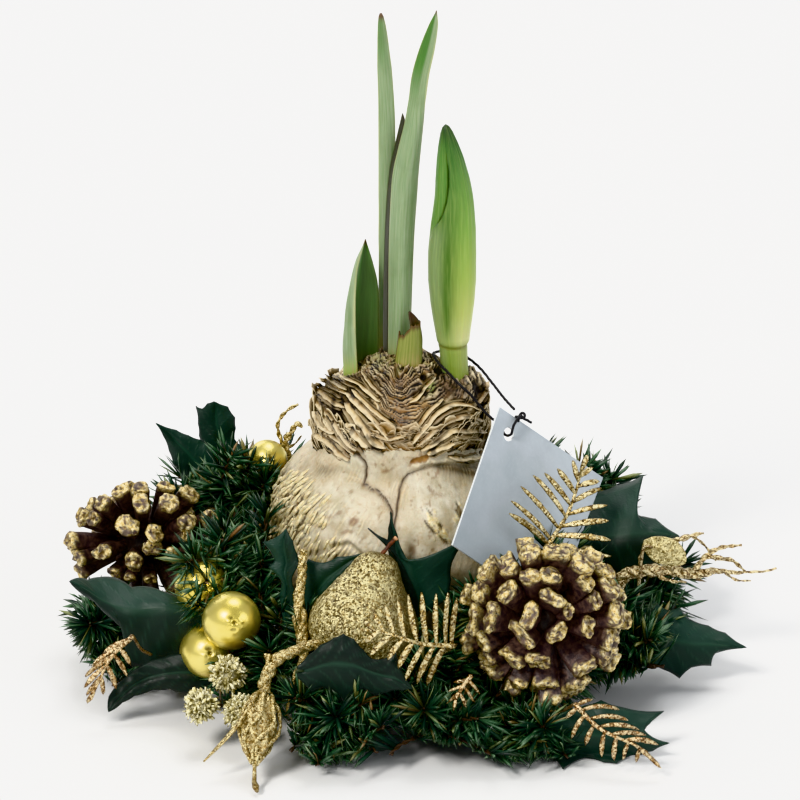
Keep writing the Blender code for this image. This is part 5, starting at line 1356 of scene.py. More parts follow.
def make_pine():
    mat = pine_material()
    for k, (name, pts) in enumerate(SPRIGS.items()):
        g = Geo()
        main = noise_path(smooth_path(pts, 40), 0.5, 9.0, 200 + k)
        twisted_wire(g, smooth_path(list(main), 90))
        brush(g, main, 4.1, 13.4, 300 + 7 * k)
        for j, b in enumerate(BRANCHES[name]):
            p = noise_path(smooth_path(b, 26), 0.6, 8.0, 230 + 9 * k + j)
            twisted_wire(g, smooth_path(list(p), 30), 0.5)
            brush(g, p, 3.95, 12.8, 400 + 31 * k + j)
        o = g.build(name + "_needles", mat)
        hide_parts(name)
    # the garland wound on the ring itself
    g = Geo()
    a = np.linspace(0, TAU, 361)[:-1]
    wind = 26 * a
    ring = np.stack([(RING_R + 1.5 * np.cos(wind)) * np.cos(a), (RING_R + 1.5 * np.cos(wind)) * np.sin(a), RING_Z + 1.5 * np.sin(wind)], 1)
    core = np.stack([RING_R * np.cos(a), RING_R * np.sin(a), RING_Z + 0 * a], 1)
    for pth, r in ((core, 1.2), (ring, 0.6)):
        t, s, f = frames_along(np.concatenate([pth, pth[:1]]), (0, 0, 1))
        up = np.array([0, 0, 1.0])
        rad = np.stack([np.cos(a), np.sin(a), 0 * a], 1)
        ang = np.arange(8) * TAU / 8
        v = pth[:, None] + r * (np.cos(ang)[None, :, None] * rad[:, None] + np.sin(ang)[None, :, None] * up)
        nrow = len(a)
        f4 = grid_faces(nrow, 8, True)
        last = np.array([((nrow - 1) * 8 + j, (nrow - 1) * 8 + (j + 1) % 8, (j + 1) % 8, j) for j in range(8)])
        g.add(v.reshape(-1, 3), f4=np.concatenate([f4, last]), along=0.0, tone=-1.0)
    rng = np.random.default_rng(77)
    n = 1750
    th = rng.uniform(0, TAU, n)
    ph = rng.uniform(0, TAU, n)
    rad = np.stack([np.cos(th), np.sin(th), 0 * th], 1)
    tan = np.stack([-np.sin(th), np.cos(th), 0 * th], 1)
    root = rad * RING_R + np.array([0, 0, RING_Z])
    d = units(np.cos(ph)[:, None] * rad + np.sin(ph)[:, None] * np.array([0, 0, 1.0]) + rng.normal(0, 0.45, n)[:, None] * tan)
    ln = rng.normal(11.2, 1.6, n).clip(6, 14)
    ln, ok = keep_clear(root, d, ln)
    ok &= ln > 2.5
    needles(g, (root + d * 1.2)[ok], d[ok], ln[ok], rng.uniform(1.0, 1.45, n)[ok], rng.normal(0, 0.1, n)[ok], rng.uniform(0, 1, n)[ok], 78)
    # short loose branchlets along the ring
    for k in range(46):
        a0 = TAU * k / 46 + rng.uniform(-0.05, 0.05)
        out = rng.uniform(0.55, 1.0)
        start = np.array(on_ring(math.degrees(a0), 0, 1))
        dr = np.array([math.cos(a0 + rng.normal(0, 0.45)), math.sin(a0 + rng.normal(0, 0.45)), rng.uniform(0.0, 1.3)])
        if k % 3 == 0:
            dr = np.array([0.25 * math.cos(a0 + 1.2), 0.25 * math.sin(a0 + 1.2), 1.0])
        dr = unit(dr)
        end = start + dr * 22 * out
        end[2] = max(end[2], 5.0)
        p = smooth_path([start, (start + end) / 2 + rng.normal(0, 1.2, 3) * (1, 1, 0.3), end], 16)
        twisted_wire(g, smooth_path(list(p), 18), 0.45)
        brush(g, p, 3.7, 11.8, 900 + k)
    # longer ones stand up behind the ornaments and close the gaps between them
    for k, (pts) in enumerate([[on_ring(226, -2, 3), (-50, -50, 26), (-50.5, -47.5, 47)], [on_ring(232, -4, 3), (-43, -55, 24), (-43, -53, 42)], [on_ring(238, -1, 3), (-44, -66, 22), (-47, -70, 34)],
                               [on_ring(246, -3, 3), (-30, -66, 26), (-34, -60, 44)], [on_ring(262, -4, 3), (-4, -72, 26), (0, -66, 40)], [on_ring(272, -3, 3), (4, -76, 22), (8, -80, 34)],
                               [on_ring(284, -4, 3), (16, -66, 28), (20, -60, 44)], [on_ring(296, -5, 3), (28, -56, 30), (27, -50, 50)], [on_ring(308, -4, 3), (42, -48, 34), (40, -42, 56)],
                               [on_ring(322, -4, 3), (54, -38, 34), (53, -32, 58)], [on_ring(340, -4, 3), (64, -20, 32), (62, -16, 54)], [on_ring(266, 3, 2), (-6, -80, 14), (-2, -90, 24)],
                               [on_ring(228, 5, 1), (-58, -62, 10), (-66, -70, 11)], [on_ring(218, 2, 3), (-56, -42, 28), (-58, -38, 44)], [on_ring(196, -4, 3), (-62, -14, 30), (-61, -10, 50)],
                               [on_ring(172, -5, 3), (-62, 10, 32), (-60, 12, 54)], [on_ring(155, -4, 3), (-58, 28, 34), (-56, 30, 56)], [on_ring(222, 3, 2), (-60, -56, 24), (-62, -58, 30)],
                               [on_ring(5, -4, 3), (64, 6, 34), (62, 8, 56)], [on_ring(22, -4, 3), (60, 26, 36), (57, 27, 58)]]):
        p = noise_path(smooth_path(pts, 26), 0.7, 8.0, 1500 + k)
        twisted_wire(g, smooth_path(list(p), 24), 0.5)
        brush(g, p, 3.7, 12.4, 1600 + 13 * k)
    o = g.build("wreath_garland", mat)
    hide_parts("wreath_ring")


make_pine()


# ================================================================ cloth holly
HOLLY = {
    "holly_leaf_left_upper": (on_ring(200, 0, 4), (-79, -49.5, 40), (-96, -46, 45), (-117, -41, 47), 9.5, (0.1, 0.4, -0.9)),
    "holly_leaf_left_lower": (on_ring(221, 4, 1), (-78, -50, 17), (-92, -52, 16), (-107, -53, 8), 12.0, (0.25, 0.35, 0.9)),
    "holly_leaf_far_left": (on_ring(150, 3, 3), (-72, 54, 55), (-80, 54, 63), (-88, 53, 69.5), 9.0, (0.6, 0.2, -0.6)),
    "holly_leaf_top_left": (on_ring(138, 4, 2), (-64, 60, 52), (-66, 62, 62), (-67, 63, 73), 8.5, (1, 0.1, 0.1)),
    "holly_leaf_slim": (on_ring(236, -3, 3), (-38.5, -56, 48), (-42, -51.5, 60), (-44.5, -48.5, 71), 7.0, (0.9, -0.3, -0.3)),
    "holly_leaf_behind_twig": (on_ring(244, -6, 3), (-32.5, -54, 49), (-29, -51.5, 57), (-20, -50.5, 63), 5.5, (0.6, -0.2, 0.7)),
    "holly_leaf_centre": (on_ring(281, -2, 3), (14.0, -70, 49), (11.5, -67, 60), (5, -60, 76), 8.0, (0.9, 0.2, 0.2)),
    "holly_leaf_under_pear": (on_ring(255, 6, 3), (-31, -93, 37), (-16, -99, 40), (2, -101, 36), 8.5, (0.1, 0.35, 0.9)),
    "holly_leaf_right_upper": (on_ring(352, 4, 2), (84, -1, 40), (86, 2, 54), (88, 5, 69), 15.0, (0.9, -0.45, 0.0)),
    "holly_leaf_right_lower": (on_ring(335, 6, -1), (84, -38, 12), (104, -33, 15), (126, -26, 14), 13.0, (0.25, -0.7, -0.55)),
    "holly_leaf_front_right": (on_ring(309, 6, -2.5), (62, -74, 5.5), (78, -82, 5), (96, -88, 4.5), 13.0, (0.5, 0.85, 0.05)),
    "holly_leaf_back_right": (on_ring(47, 3, 3), (58, 60, 27), (67, 69, 34), (75, 80, 37), 14.0, (0.7, -0.6, 0.1)),
    "holly_leaf_back": (on_ring(75, 3, 3), (22, 78, 30), (24, 88, 38), (27, 99, 42), 14.5, (1.0, -0.1, 0.0)),
    "holly_leaf_back_left": (on_ring(121, 2, 3), (-40, 70, 28), (-43, 80, 35), (-47, 91, 38), 14.0, (0.95, 0.3, 0.0)),
}
# outline of one half: (place along, width, is a spine)
HOLLY_EDGE = [(0.0, 0.06, 0), (0.12, 0.50, 0), (0.31, 1.06, 1), (0.43, 0.56, 0), (0.64, 1.0, 1), (0.73, 0.46, 0), (0.90, 0.22, 0), (1.0, 0.0, 1)]


def holly_outline(count):
    """Edge place and width for evenly spread stations, with hollow bays between sharp spines."""
    a_out, w_out, mid = [], [], []
    for (a0, w0, s0), (a1, w1, s1) in zip(HOLLY_EDGE[:-1], HOLLY_EDGE[1:]):
        m = max(4, int(count * (a1 - a0)))
        t = np.linspace(0, 1, m, endpoint=False)
        if s1 and not s0:
            w = w0 + (w1 - w0) * (0.25 * t + 0.75 * t ** 2.6)
        elif s0 and not s1:
            w = w1 + (w0 - w1) * (1 - t) ** 2.4
        else:
            w = w0 + (w1 - w0) * t
        a_out.extend(a0 + (a1 - a0) * t)
        w_out.extend(w)
    a_out.append(1.0)
    w_out.append(0.0)
    return np.array(a_out), np.array(w_out)


def add_holly(g, key, spec, seed):
    root, base, mid_p, tip, half, side = spec
    rng = np.random.default_rng(seed)
    ea, ew = holly_outline(56)
    n = len(ea)
    path = smooth_path([base, mid_p, tip], 161)
    t, s, f = frames_along(path, side)
    length = float(np.sum(np.linalg.norm(np.diff(path, axis=0), axis=1)))
    cols = 13
    q = np.linspace(-1, 1, cols)
    # each half has its own small irregularity
    spine_shift = 2.6 * half / 12.0 / length

    def point(al, w, sgn, lift):
        k = np.clip(al, 0, 1) * 160
        i = np.clip(k.astype(int), 0, 159)
        fr = (k - i)[..., None]
        p = path[i] * (1 - fr) + path[i + 1] * fr
        over = np.clip(al - 1, 0, None)[..., None]
        return p + t[160] * over * length + s[i] * (w * sgn)[..., None] + f[i] * lift[..., None]

    rows = []
    bump = rng.uniform(-0.12, 0.12, 4)
    for j, qq in enumerate(q):
        sgn = np.sign(qq) if qq != 0 else 1.0
        irr = 1 + (bump[0] if qq > 0 else bump[1]) * np.sin(ea * 7 + (bump[2] if qq > 0 else bump[3]) * 30)
        w = np.maximum(ew * half * irr, 0.35) * abs(qq)
        reach = np.clip((ew - 0.55) / 0.45, 0, 1) ** 2 * spine_shift * 0.9
        al = ea + reach * abs(qq) ** 3
        fold = 0.26 * w + 0.16 * half * (np.clip(ew - 0.5, 0, 1) * 1.6) * abs(qq) ** 3 - 0.10 * half * np.sin(math.pi * abs(qq)) * np.minimum(1, ew * 1.4)
        wav = 0.045 * half * np.sin(ea * 23 + 2.2 * sgn) * abs(qq) ** 2
        rows.append(point(al, w, sgn, fold + wav))
    mid = np.stack(rows, axis=1)
    vein_mid = np.exp(-(q / 0.07) ** 2)[None, :] * np.ones((n, 1))
    aa = ea[:, None] * np.ones((1, cols))
    slant = (aa * 9.0 - np.abs(q)[None, :] * 1.9)
    vein_side = np.exp(-((((slant + 0.5) % 1.0) - 0.5) / 0.075) ** 2) * step(np.abs(q), 0.03, 0.15)[None, :] * (1 - step(np.abs(q), 0.8, 1.0))[None, :]
    mid = mid - 0 * mid
    sheet(g, mid, 0.55 + 0.35 * vein_mid, vein=np.maximum(vein_mid, 0.6 * vein_side), edge=step(np.abs(q), 0.86, 1.0)[None, :] * np.ones((n, 1)), u=(q * half)[None, :] * np.ones((n, 1)),
          along=aa, stalk=0.0, tone=float(rng.uniform(0, 1)))
    # raised midrib and wire stalk, one bent tube each
    rib = path[::4] + f[::4] * 0.32
    w = np.linspace(0.62, 0.22, len(rib))
    add_tube(g, rib, w, 7, side, vein=0.9, edge=0.0, u=0.0, along=0.5, stalk=0.0, face=1.0, tone=0.5)
    stalk = smooth_path([root, (np.array(root) * 0.45 + np.array(base) * 0.55) + rng.normal(0, 1.0, 3), base], 30)
    stalk = np.concatenate([stalk, path[4:10:2] + f[4:10:2] * -0.2])
    add_tube(g, stalk, 0.62, 8, side, vein=0.0, edge=0.0, u=0.0, along=0.5, stalk=1.0, face=1.0, tone=0.5)


# leaves of the show side, by their outline as seen at 24 degrees: (root, left edge, right edge, midrib, depth plane,
# slope of both halves, painted shade of both halves)
# a point is (x, height in the view); both edges and the midrib have the same count, from the stalk to the tip
CUT = {
    "holly_leaf_left_upper": (on_ring(200, 0, 4),
        [(-71.0, 18.5), (-75.5, 21.5), (-79.0, 20.5), (-86.0, 23.6), (-91.7, 25.2), (-97.0, 24.9), (-103.0, 28.4), (-109.0, 28.6), (-113.0, 27.7), (-116.5, 28.4), (-119.6, 27.3)],
        [(-71.0, 8.0), (-73.7, -0.6), (-77.0, -1.0), (-82.5, -7.2), (-89.4, -9.6), (-92.0, -5.0), (-98.6, -2.5), (-98.2, 9.0), (-103.5, 13.4), (-110.0, 19.8), (-119.6, 27.3)],
        [(-70.5, 14.5), (-74.2, 16.0), (-79.0, 17.0), (-84.0, 17.7), (-88.0, 17.7), (-93.0, 17.2), (-98.5, 16.9), (-104.0, 18.7), (-109.0, 20.9), (-114.0, 24.3), (-119.6, 27.3)],
        (-46.5, -90, 18, -0.06, 0.0), (1.35, 0.05), (0.0, 0.75)),
    "holly_leaf_left_lower": (on_ring(221, 4, 1),
        [(-66.0, -2.0), (-72.0, -0.8), (-80.0, 1.2), (-86.0, -0.5), (-92.0, -2.5), (-98.8, -7.0), (-105.2, -14.4), (-105.4, -20.0)],
        [(-66.0, -9.0), (-71.0, -12.6), (-77.9, -12.9), (-83.2, -11.5), (-89.4, -11.8), (-96.0, -14.0), (-100.3, -16.4), (-105.4, -20.0)],
        [(-66.0, -5.5), (-72.0, -5.5), (-79.0, -5.6), (-85.0, -6.2), (-91.0, -7.6), (-96.5, -10.4), (-102.0, -15.8), (-105.4, -20.0)],
        (-57.5, -85, -6, 0.03, 0.25), (0.4, -0.2), (0.8, 0.9)),
    "holly_leaf_slim": (on_ring(236, -3, 3),
        [(-41.6, 9.0), (-42.6, 16.0), (-43.6, 22.0), (-42.6, 27.5), (-47.4, 32.6), (-45.0, 35.0), (-49.4, 41.6), (-45.6, 42.6), (-40.9, 46.6)],
        [(-40.0, 9.0), (-39.6, 14.0), (-38.4, 18.5), (-38.2, 24.5), (-39.0, 28.4), (-36.0, 33.5), (-36.9, 37.0), (-38.6, 42.0), (-40.9, 46.6)],
        [(-40.8, 9.0), (-41.0, 15.0), (-41.0, 20.0), (-40.6, 26.0), (-41.6, 30.5), (-40.9, 34.4), (-41.6, 39.0), (-41.8, 42.6), (-40.9, 46.6)],
        (-53.5, -42, 25, 0.15, 0.16), (0.25, -0.35), (0.15, 0.55)),
    "holly_leaf_behind_twig": (on_ring(244, -6, 3),
        [(-36.0, 12.0), (-37.0, 18.0), (-35.6, 23.0), (-36.5, 28.0), (-33.2, 35.4), (-27.8, 34.0), (-22.5, 36.2), (-13.5, 37.6)],
        [(-33.0, 12.0), (-30.0, 16.0), (-29.0, 19.0), (-26.0, 21.5), (-23.5, 26.0), (-20.5, 28.0), (-17.5, 32.0), (-13.5, 37.6)],
        [(-34.5, 12.0), (-33.4, 17.0), (-31.8, 20.8), (-29.6, 24.0), (-27.0, 27.0), (-23.6, 30.3), (-19.5, 33.4), (-13.5, 37.6)],
        (-53.5, -26, 28, 0.0, 0.05), (0.30, -0.1), (0.30, 0.1)),
    "holly_leaf_centre": (on_ring(281, -2, 3),
        [(4.0, 15.0), (0.4, 21.0), (-2.4, 26.4), (-4.0, 34.0), (-4.4, 39.4), (-11.6, 46.6), (-4.6, 42.4), (-4.2, 46.5), (-3.4, 52.9)],
        [(8.0, 15.0), (18.0, 21.0), (18.4, 28.0), (18.6, 34.0), (24.0, 42.6), (4.8, 33.1), (1.7, 36.6), (-1.1, 44.2), (-3.4, 52.9)],
        [(6.0, 15.0), (7.2, 20.0), (5.6, 25.0), (3.6, 29.0), (2.4, 31.4), (0.4, 34.5), (-1.2, 38.6), (-2.6, 45.0), (-3.4, 52.9)],
        (-54.5, 5, 30, 0.0, 0.05), (0.12, 0.10), (0.95, 0.25)),
    "holly_leaf_under_pear": (on_ring(255, 6, 3),
        [(-37.0, -3.0), (-33.0, 1.0), (-28.4, 4.9), (-23.8, 7.4), (-20.4, 8.8), (-16.6, 6.9), (-13.0, 2.8), (-10.2, -0.2), (-6.0, -0.3), (-1.6, 2.0), (0.6, -4.4), (4.6, -11.0)],
        [(-37.0, -7.0), (-32.0, -12.0), (-28.0, -10.5), (-24.0, -12.0), (-20.0, -16.0), (-16.5, -12.0), (-13.0, -11.0), (-9.0, -13.5), (-5.0, -12.5), (-2.0, -11.5), (1.0, -11.6), (4.6, -11.0)],
        [(-37.0, -5.0), (-32.5, -4.0), (-28.0, -2.6), (-24.0, -1.8), (-20.0, -2.0), (-16.5, -2.6), (-13.0, -4.0), (-9.5, -5.2), (-5.5, -6.4), (-2.0, -7.2), (1.0, -8.8), (4.6, -11.0)],
        (-99.5, -16, 0, -0.02, 0.12), (0.30, 0.12), (0.9, 0.8)),
    "holly_leaf_right_upper": (on_ring(352, 4, 2),
        [(60.0, 42.0), (61.5, 48.0), (64.0, 55.5), (70.0, 59.0), (78.6, 61.6), (88.4, 65.4), (85.0, 56.0), (85.0, 51.4), (92.7, 49.6), (101.6, 43.4)],
        [(60.0, 38.0), (63.5, 36.0), (66.5, 38.5), (71.5, 35.0), (76.0, 32.0), (80.6, 27.6), (86.8, 31.5), (93.6, 33.6), (96.0, 38.0), (101.6, 43.4)],
        [(60.0, 40.0), (64.5, 42.2), (69.0, 43.0), (74.0, 43.2), (79.0, 43.6), (83.6, 44.2), (88.0, 44.2), (92.0, 44.4), (96.6, 44.0), (101.6, 43.4)],
        (0.0, 82, 44, 0.05, 0.0), (1.1, -0.15), (0.0, 0.7)),
    "holly_leaf_right_lower": (on_ring(335, 6, -1),
        [(78.0, 10.0), (85.0, 14.5), (92.0, 20.0), (97.0, 16.5), (101.3, 17.5), (104.8, 13.4), (111.7, 11.0), (117.8, 8.4), (125.8, 3.1)],
        [(78.0, 2.0), (83.0, -1.0), (89.0, -2.6), (95.1, -4.6), (101.4, -8.0), (105.6, -4.0), (112.8, -3.4), (112.6, 0.6), (125.8, 3.1)],
        [(78.0, 6.0), (84.5, 6.4), (91.0, 6.6), (97.0, 6.2), (102.5, 5.2), (107.5, 4.4), (112.0, 4.4), (117.0, 3.9), (125.8, 3.1)],
        (-29.5, 100, 5, 0.10, 0.0), (0.75, 0.25), (0.2, 0.45)),
    "holly_leaf_front_right": (on_ring(309, 6, -2.5),
        [(50.0, -24.0), (55.0, -20.0), (60.0, -18.5), (66.5, -17.4), (72.5, -15.4), (79.4, -17.8), (95.2, -19.4), (87.4, -25.4), (91.0, -28.8), (97.2, -30.8)],
        [(50.0, -30.0), (54.0, -34.5), (58.6, -40.0), (66.5, -35.8), (73.4, -37.4), (78.0, -37.9), (83.1, -35.4), (87.0, -35.0), (91.0, -33.6), (97.2, -30.8)],
        [(50.0, -27.0), (55.5, -27.4), (61.0, -27.4), (67.0, -27.6), (73.0, -28.2), (78.5, -28.8), (84.0, -29.6), (87.6, -30.2), (91.4, -30.6), (97.2, -30.8)],
        (-92.0, 75, -28, 0.02, 0.0), (0.62, 0.70), (0.25, 0.4)),
    "holly_leaf_top_left": (on_ring(138, 4, 2),
        [(-66.0, 62.0), (-69.0, 66.0), (-70.6, 70.0), (-72.2, 75.0), (-73.2, 79.8), (-73.6, 84.2), (-74.4, 90.6), (-72.2, 89.6), (-70.2, 91.6), (-67.8, 92.4)],
        [(-63.0, 62.0), (-60.0, 66.0), (-55.0, 69.0), (-52.4, 74.0), (-57.6, 75.6), (-60.4, 78.6), (-60.0, 82.6), (-60.2, 86.4), (-62.8, 90.4), (-67.8, 92.4)],
        [(-64.5, 62.0), (-64.8, 66.0), (-64.6, 70.0), (-64.6, 74.6), (-65.4, 78.4), (-66.4, 82.0), (-66.8, 85.0), (-67.2, 88.0), (-67.4, 90.4), (-67.8, 92.4)],
        (60.0, -65, 76, 0.0, 0.10), (0.3, 0.35), (0.4, 0.2)),
    "holly_leaf_far_left": (on_ring(150, 3, 3),
        [(-68.0, 60.0), (-72.0, 61.0), (-77.0, 62.0), (-80.0, 66.0), (-82.6, 69.6), (-84.1, 74.3), (-86.3, 79.9), (-89.2, 84.6)],
        [(-66.0, 64.0), (-66.0, 69.0), (-67.0, 75.0), (-70.0, 77.0), (-72.7, 78.4), (-77.0, 79.9), (-81.5, 81.8), (-89.2, 84.6)],
        [(-67.0, 62.0), (-69.5, 65.5), (-72.5, 68.5), (-75.5, 71.6), (-78.0, 74.4), (-81.0, 77.2), (-84.2, 80.6), (-89.2, 84.6)],
        (54.0, -78, 73, 0.0, 0.10), (0.35, 0.2), (0.35, 0.1)),
}


def cut_leaf(g, spec, seed):
    """A cloth leaf laid out from its seen outline: two halves that fold along the midrib."""
    root, left, right, rib, (y0, x0, s0, ax_, as_), slope, half_shades = spec
    rng = np.random.default_rng(seed)
    sub = 7
    k = len(left)

    def spread(pts, hollow):
        pts = np.array(pts, float)
        out = []
        for i in range(k - 1):
            t = np.arange(sub) / sub
            seg = pts[i] + (pts[i + 1] - pts[i]) * t[:, None]
            if hollow:
                d = pts[i + 1] - pts[i]
                nrm = np.array([-d[1], d[0]]) * hollow
                seg = seg + nrm * (0.05 * np.sin(np.pi * t))[:, None]
            out.append(seg)
        out.append(pts[-1:])
        return np.concatenate(out)
    l2, r2, m2 = spread(left, -1), spread(right, 1), spread(rib, 0)
    m2[:-1] = m2[:-1] * 0.5 + smooth_path([(a, b, 0) for a, b in rib], len(m2))[:-1, :2] * 0.5
    rows = len(l2)
    half = 8
    al = np.linspace(0, 1, rows)
    cols = []
    off, col_shades, qs = [], [], []
    for j in range(2 * half + 1):
        q = (j - half) / half
        e = l2 if q < 0 else r2
        w = abs(q)
        pt = m2 + (e - m2) * w
        dist = np.linalg.norm(e - m2, axis=1)
        sl = slope[0] if q < 0 else slope[1]
        bulge = -0.10 * dist * math.sin(math.pi * w)
        wav = 0.05 * dist * np.sin(al * 17 + (2.0 if q < 0 else 0.3) + seed) * w ** 2
        lift = 0.8 * np.exp(-(w / 0.16) ** 2) * np.minimum(1, dist / 4)
        y = y0 + ax_ * (m2[:, 0] - x0) + as_ * (m2[:, 1] - s0) + sl * dist * w + bulge + wav + lift
        y = y + 0.9 * vnoise(np.stack([pt[:, 0] / 7, pt[:, 1] / 7, al * 0], -1), 160 + seed)
        z = (pt[:, 1] - SIN24 * y) / COS24
        low = z < 1.0
        z = np.where(low, 1.0, z)
        y = np.where(low, (pt[:, 1] - COS24 * z) / SIN24, y)
        cols.append(np.stack([pt[:, 0], y, z], -1))
        qs.append(q)
        # each half takes its painted shade
        col_shades.append(half_shades[0] if q < 0 else half_shades[1])
    mid = np.stack(cols, axis=1)
    q = np.array(qs)
    col_shades = np.array(col_shades)
    # the dyed face looks to the show side
    if np.mean(np.cross(np.gradient(mid, axis=0), np.gradient(mid, axis=1))[..., 1]) > 0:
        mid, q, col_shades = mid[:, ::-1], q[::-1], col_shades[::-1]
    n = rows
    vein_mid = np.exp(-(q / 0.09) ** 2)[None, :] * np.ones((n, 1))
    slant = al[:, None] * 8.0 - np.abs(q)[None, :] * 1.8
    vein_side = np.exp(-((((slant + 0.5) % 1.0) - 0.5) / 0.08) ** 2) * step(np.abs(q), 0.05, 0.2)[None, :] * (1 - step(np.abs(q), 0.8, 1.0))[None, :]
    one = np.ones((n, 1))
    sheet(g, mid, 0.55 + 0.3 * vein_mid, vein=np.maximum(0.8 * vein_mid, 0.45 * vein_side), edge=step(np.abs(q), 0.88, 1.0)[None, :] * one, u=q[None, :] * 6 * one,
          along=al[:, None] * np.ones((1, len(q))), stalk=0.0, tone=col_shades[None, :] * one)
    axis = mid[:, half]
    base = axis[0]
    stalk = smooth_path([root, np.array(root) * 0.45 + base * 0.55 + rng.normal(0, 1.0, 3), base, axis[4]], 34)
    add_tube(g, stalk, 0.62, 8, (0.3, 0.9, 0.2), vein=0.0, edge=0.0, u=0.0, along=0.5, stalk=1.0, face=1.0, tone=0.5)


def holly_material():
    t = NT("holly_cloth")
    weave_a = t.voronoi(1500.0, "F1")
    blot = t.noise(60.0, 4.0)
    c = t.mix(t.span(t.noise(30.0, 3.0), 0.35, 0.65), srgb(27, 50, 40), srgb(37, 64, 53))
    # tone darkens a leaf: at random for the round-built leaves, as painted shade on the halves of the cut leaves
    c = t.mix(t.attr("tone"), c, srgb(9, 20, 14))
    c = t.mix(t.math("MULTIPLY", t.attr("vein"), 0.40, clamp=True), c, srgb(56, 92, 72))
    c = t.mix(t.math("MULTIPLY", t.math("SUBTRACT", 1.0, t.attr("face")), 0.6), c, srgb(38, 62, 46))
    c = t.mix(t.math("MULTIPLY", t.attr("edge"), t.span(blot, 0.4, 0.65, 0.0, 0.75), clamp=True), c, srgb(14, 26, 20))
    c = t.mix(t.attr("stalk"), c, srgb(40, 52, 28))
    n1 = t.bump(t.attr("vein"), 0.5, 0.0005)
    n2 = t.bump(weave_a, 0.16, 0.0002, n1)
    n3 = t.bump(blot, 0.12, 0.0009, n2)
    return t.set(color=c, rough=t.span(blot, 0.3, 0.7, 0.46, 0.58), spec=0.40, sheen=0.10, normal=n3)


def make_holly():
    mat = holly_material()
    for k, (name, spec) in enumerate(HOLLY.items()):
        g = Geo()
        if name in CUT:
            cut_leaf(g, CUT[name], 500 + k)
        else:
            add_holly(g, name, spec, 500 + k)
        o = g.build(name + "_cloth", mat)
        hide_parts(name)


make_holly()


# ================================================================ open cones with gilded scale tips
def scale_piece(g, root, tip, ax, width, thick, curl, seed, gold_from=0.90):
    """One woody scale: a claw that swells into a thick end with a pitted, gilded face."""
    rng = np.random.default_rng(seed)
    d = unit(tip - root)
    side = unit(np.cross(ax, d))
    up = np.cross(d, side)
    if np.dot(up, ax) < 0:
        up = -up
    side = np.cross(up, d)
    length = float(np.linalg.norm(tip - root))
    st = np.array([0.0, 0.22, 0.44, 0.60, 0.72, 0.81, 0.87, 0.92, 0.96, 0.985])
    hw = np.array([0.50, 0.66, 0.80, 0.88, 0.93, 0.96, 0.98, 1.0, 0.98, 0.90]) * width / 2 * rng.uniform(0.90, 1.06)
    ht = np.array([0.50, 0.52, 0.56, 0.62, 0.70, 0.80, 0.89, 0.97, 0.98, 0.88]) * thick / 2 * rng.uniform(0.88, 1.06)
    fr = np.array([0.78, 0.56, 0.34, 0.14])
    n = 22
    roll = rng.normal(0, 0.16)
    side, up = side * math.cos(roll) + up * math.sin(roll), up * math.cos(roll) - side * math.sin(roll)
    a = np.arange(n) * TAU / n
    ca, sa = np.cos(a), np.sin(a)
    ex = np.sign(ca) * np.abs(ca) ** 0.85
    ey = np.sign(sa) * np.abs(sa) ** 0.85
    st_all = np.concatenate([st, np.ones(len(fr))])
    hw_all = np.concatenate([hw, fr * width / 2])
    ht_all = np.concatenate([ht, fr * thick / 2])
    lift = np.concatenate([np.zeros(len(st)), 0.45 * (1 - fr ** 2)])
    c = root + d * (st_all[:, None] * length + lift[:, None]) + up * (curl * st_all[:, None] ** 2.5)
    lx, ly = hw_all[:, None] * ex[None], ht_all[:, None] * ey[None]
    v = c[:, None] + side * lx[..., None] + up * ly[..., None]
    end = step(st_all, 0.80, 0.95)[:, None]
    q = v + seed * 3.17
    out = units(side * ex[None, :, None] + up * ey[None, :, None] + d * np.where(st_all < 1, 0.3, 1.6)[:, None, None])
    lump = 0.80 * vnoise(q / 1.9, 700) + 0.55 * vnoise(q / 0.95, 701)
    groove = 0.22 * np.cos(5 * a + rng.uniform(0, 6))[None] * (1 - end)
    # small pits in the end face
    pit = np.zeros(lx.shape)
    for _ in range(int(rng.integers(3, 7))):
        px_, py_ = rng.uniform(-0.30, 0.30) * width, rng.uniform(-0.24, 0.24) * thick
        pr = rng.uniform(0.55, 0.95)
        pit = np.maximum(pit, np.exp(-(((lx - px_) / (1.25 * pr)) ** 2 + ((ly - py_) / pr) ** 2)))
    pit = pit * step(st_all, 0.90, 0.99)[:, None]
    v = v + out * (lump * (0.25 + 0.75 * end) + groove * step(st_all, 0.1, 0.4)[:, None])[..., None] - d * (1.0 * pit)[..., None]
    last = c[-1] + d * (0.05 - 0.6 * float(np.mean(pit[-1])))
    gold_at = np.broadcast_to(st_all[:, None], lx.shape) + 0.05 * vnoise(q / 2.2, 702) + 0.04 * vnoise(q / 0.9, 703)
    gm = step(gold_at, gold_from - 0.03, gold_from + 0.02)
    miss = step(vnoise(q / 1.15, 704), 0.02, 0.26)
    gm = gm * (1 - 0.92 * miss)
    pit = np.maximum(pit, step(-lump, 0.30, 0.62) * end)
    tone = rng.uniform(0, 1)
    rows = len(st_all)
    f4 = grid_faces(rows, n, True)
    k = rows * n
    f3 = np.concatenate([fan(0, n, k, True), fan((rows - 1) * n, n, k + 1)])
    g.add(np.concatenate([v.reshape(-1, 3), c[:1], last[None]]), f3, f4,
          gold=np.concatenate([gm.reshape(-1), [0, 1]]), pit=np.concatenate([pit.reshape(-1), [0, float(np.mean(pit[-1]))]]), tone=tone,
          along=np.concatenate([np.repeat(st_all, n), [0, 1]]), rub=np.concatenate([np.tile(0.5 + 0.5 * sa, rows), [0, 0.5]]))


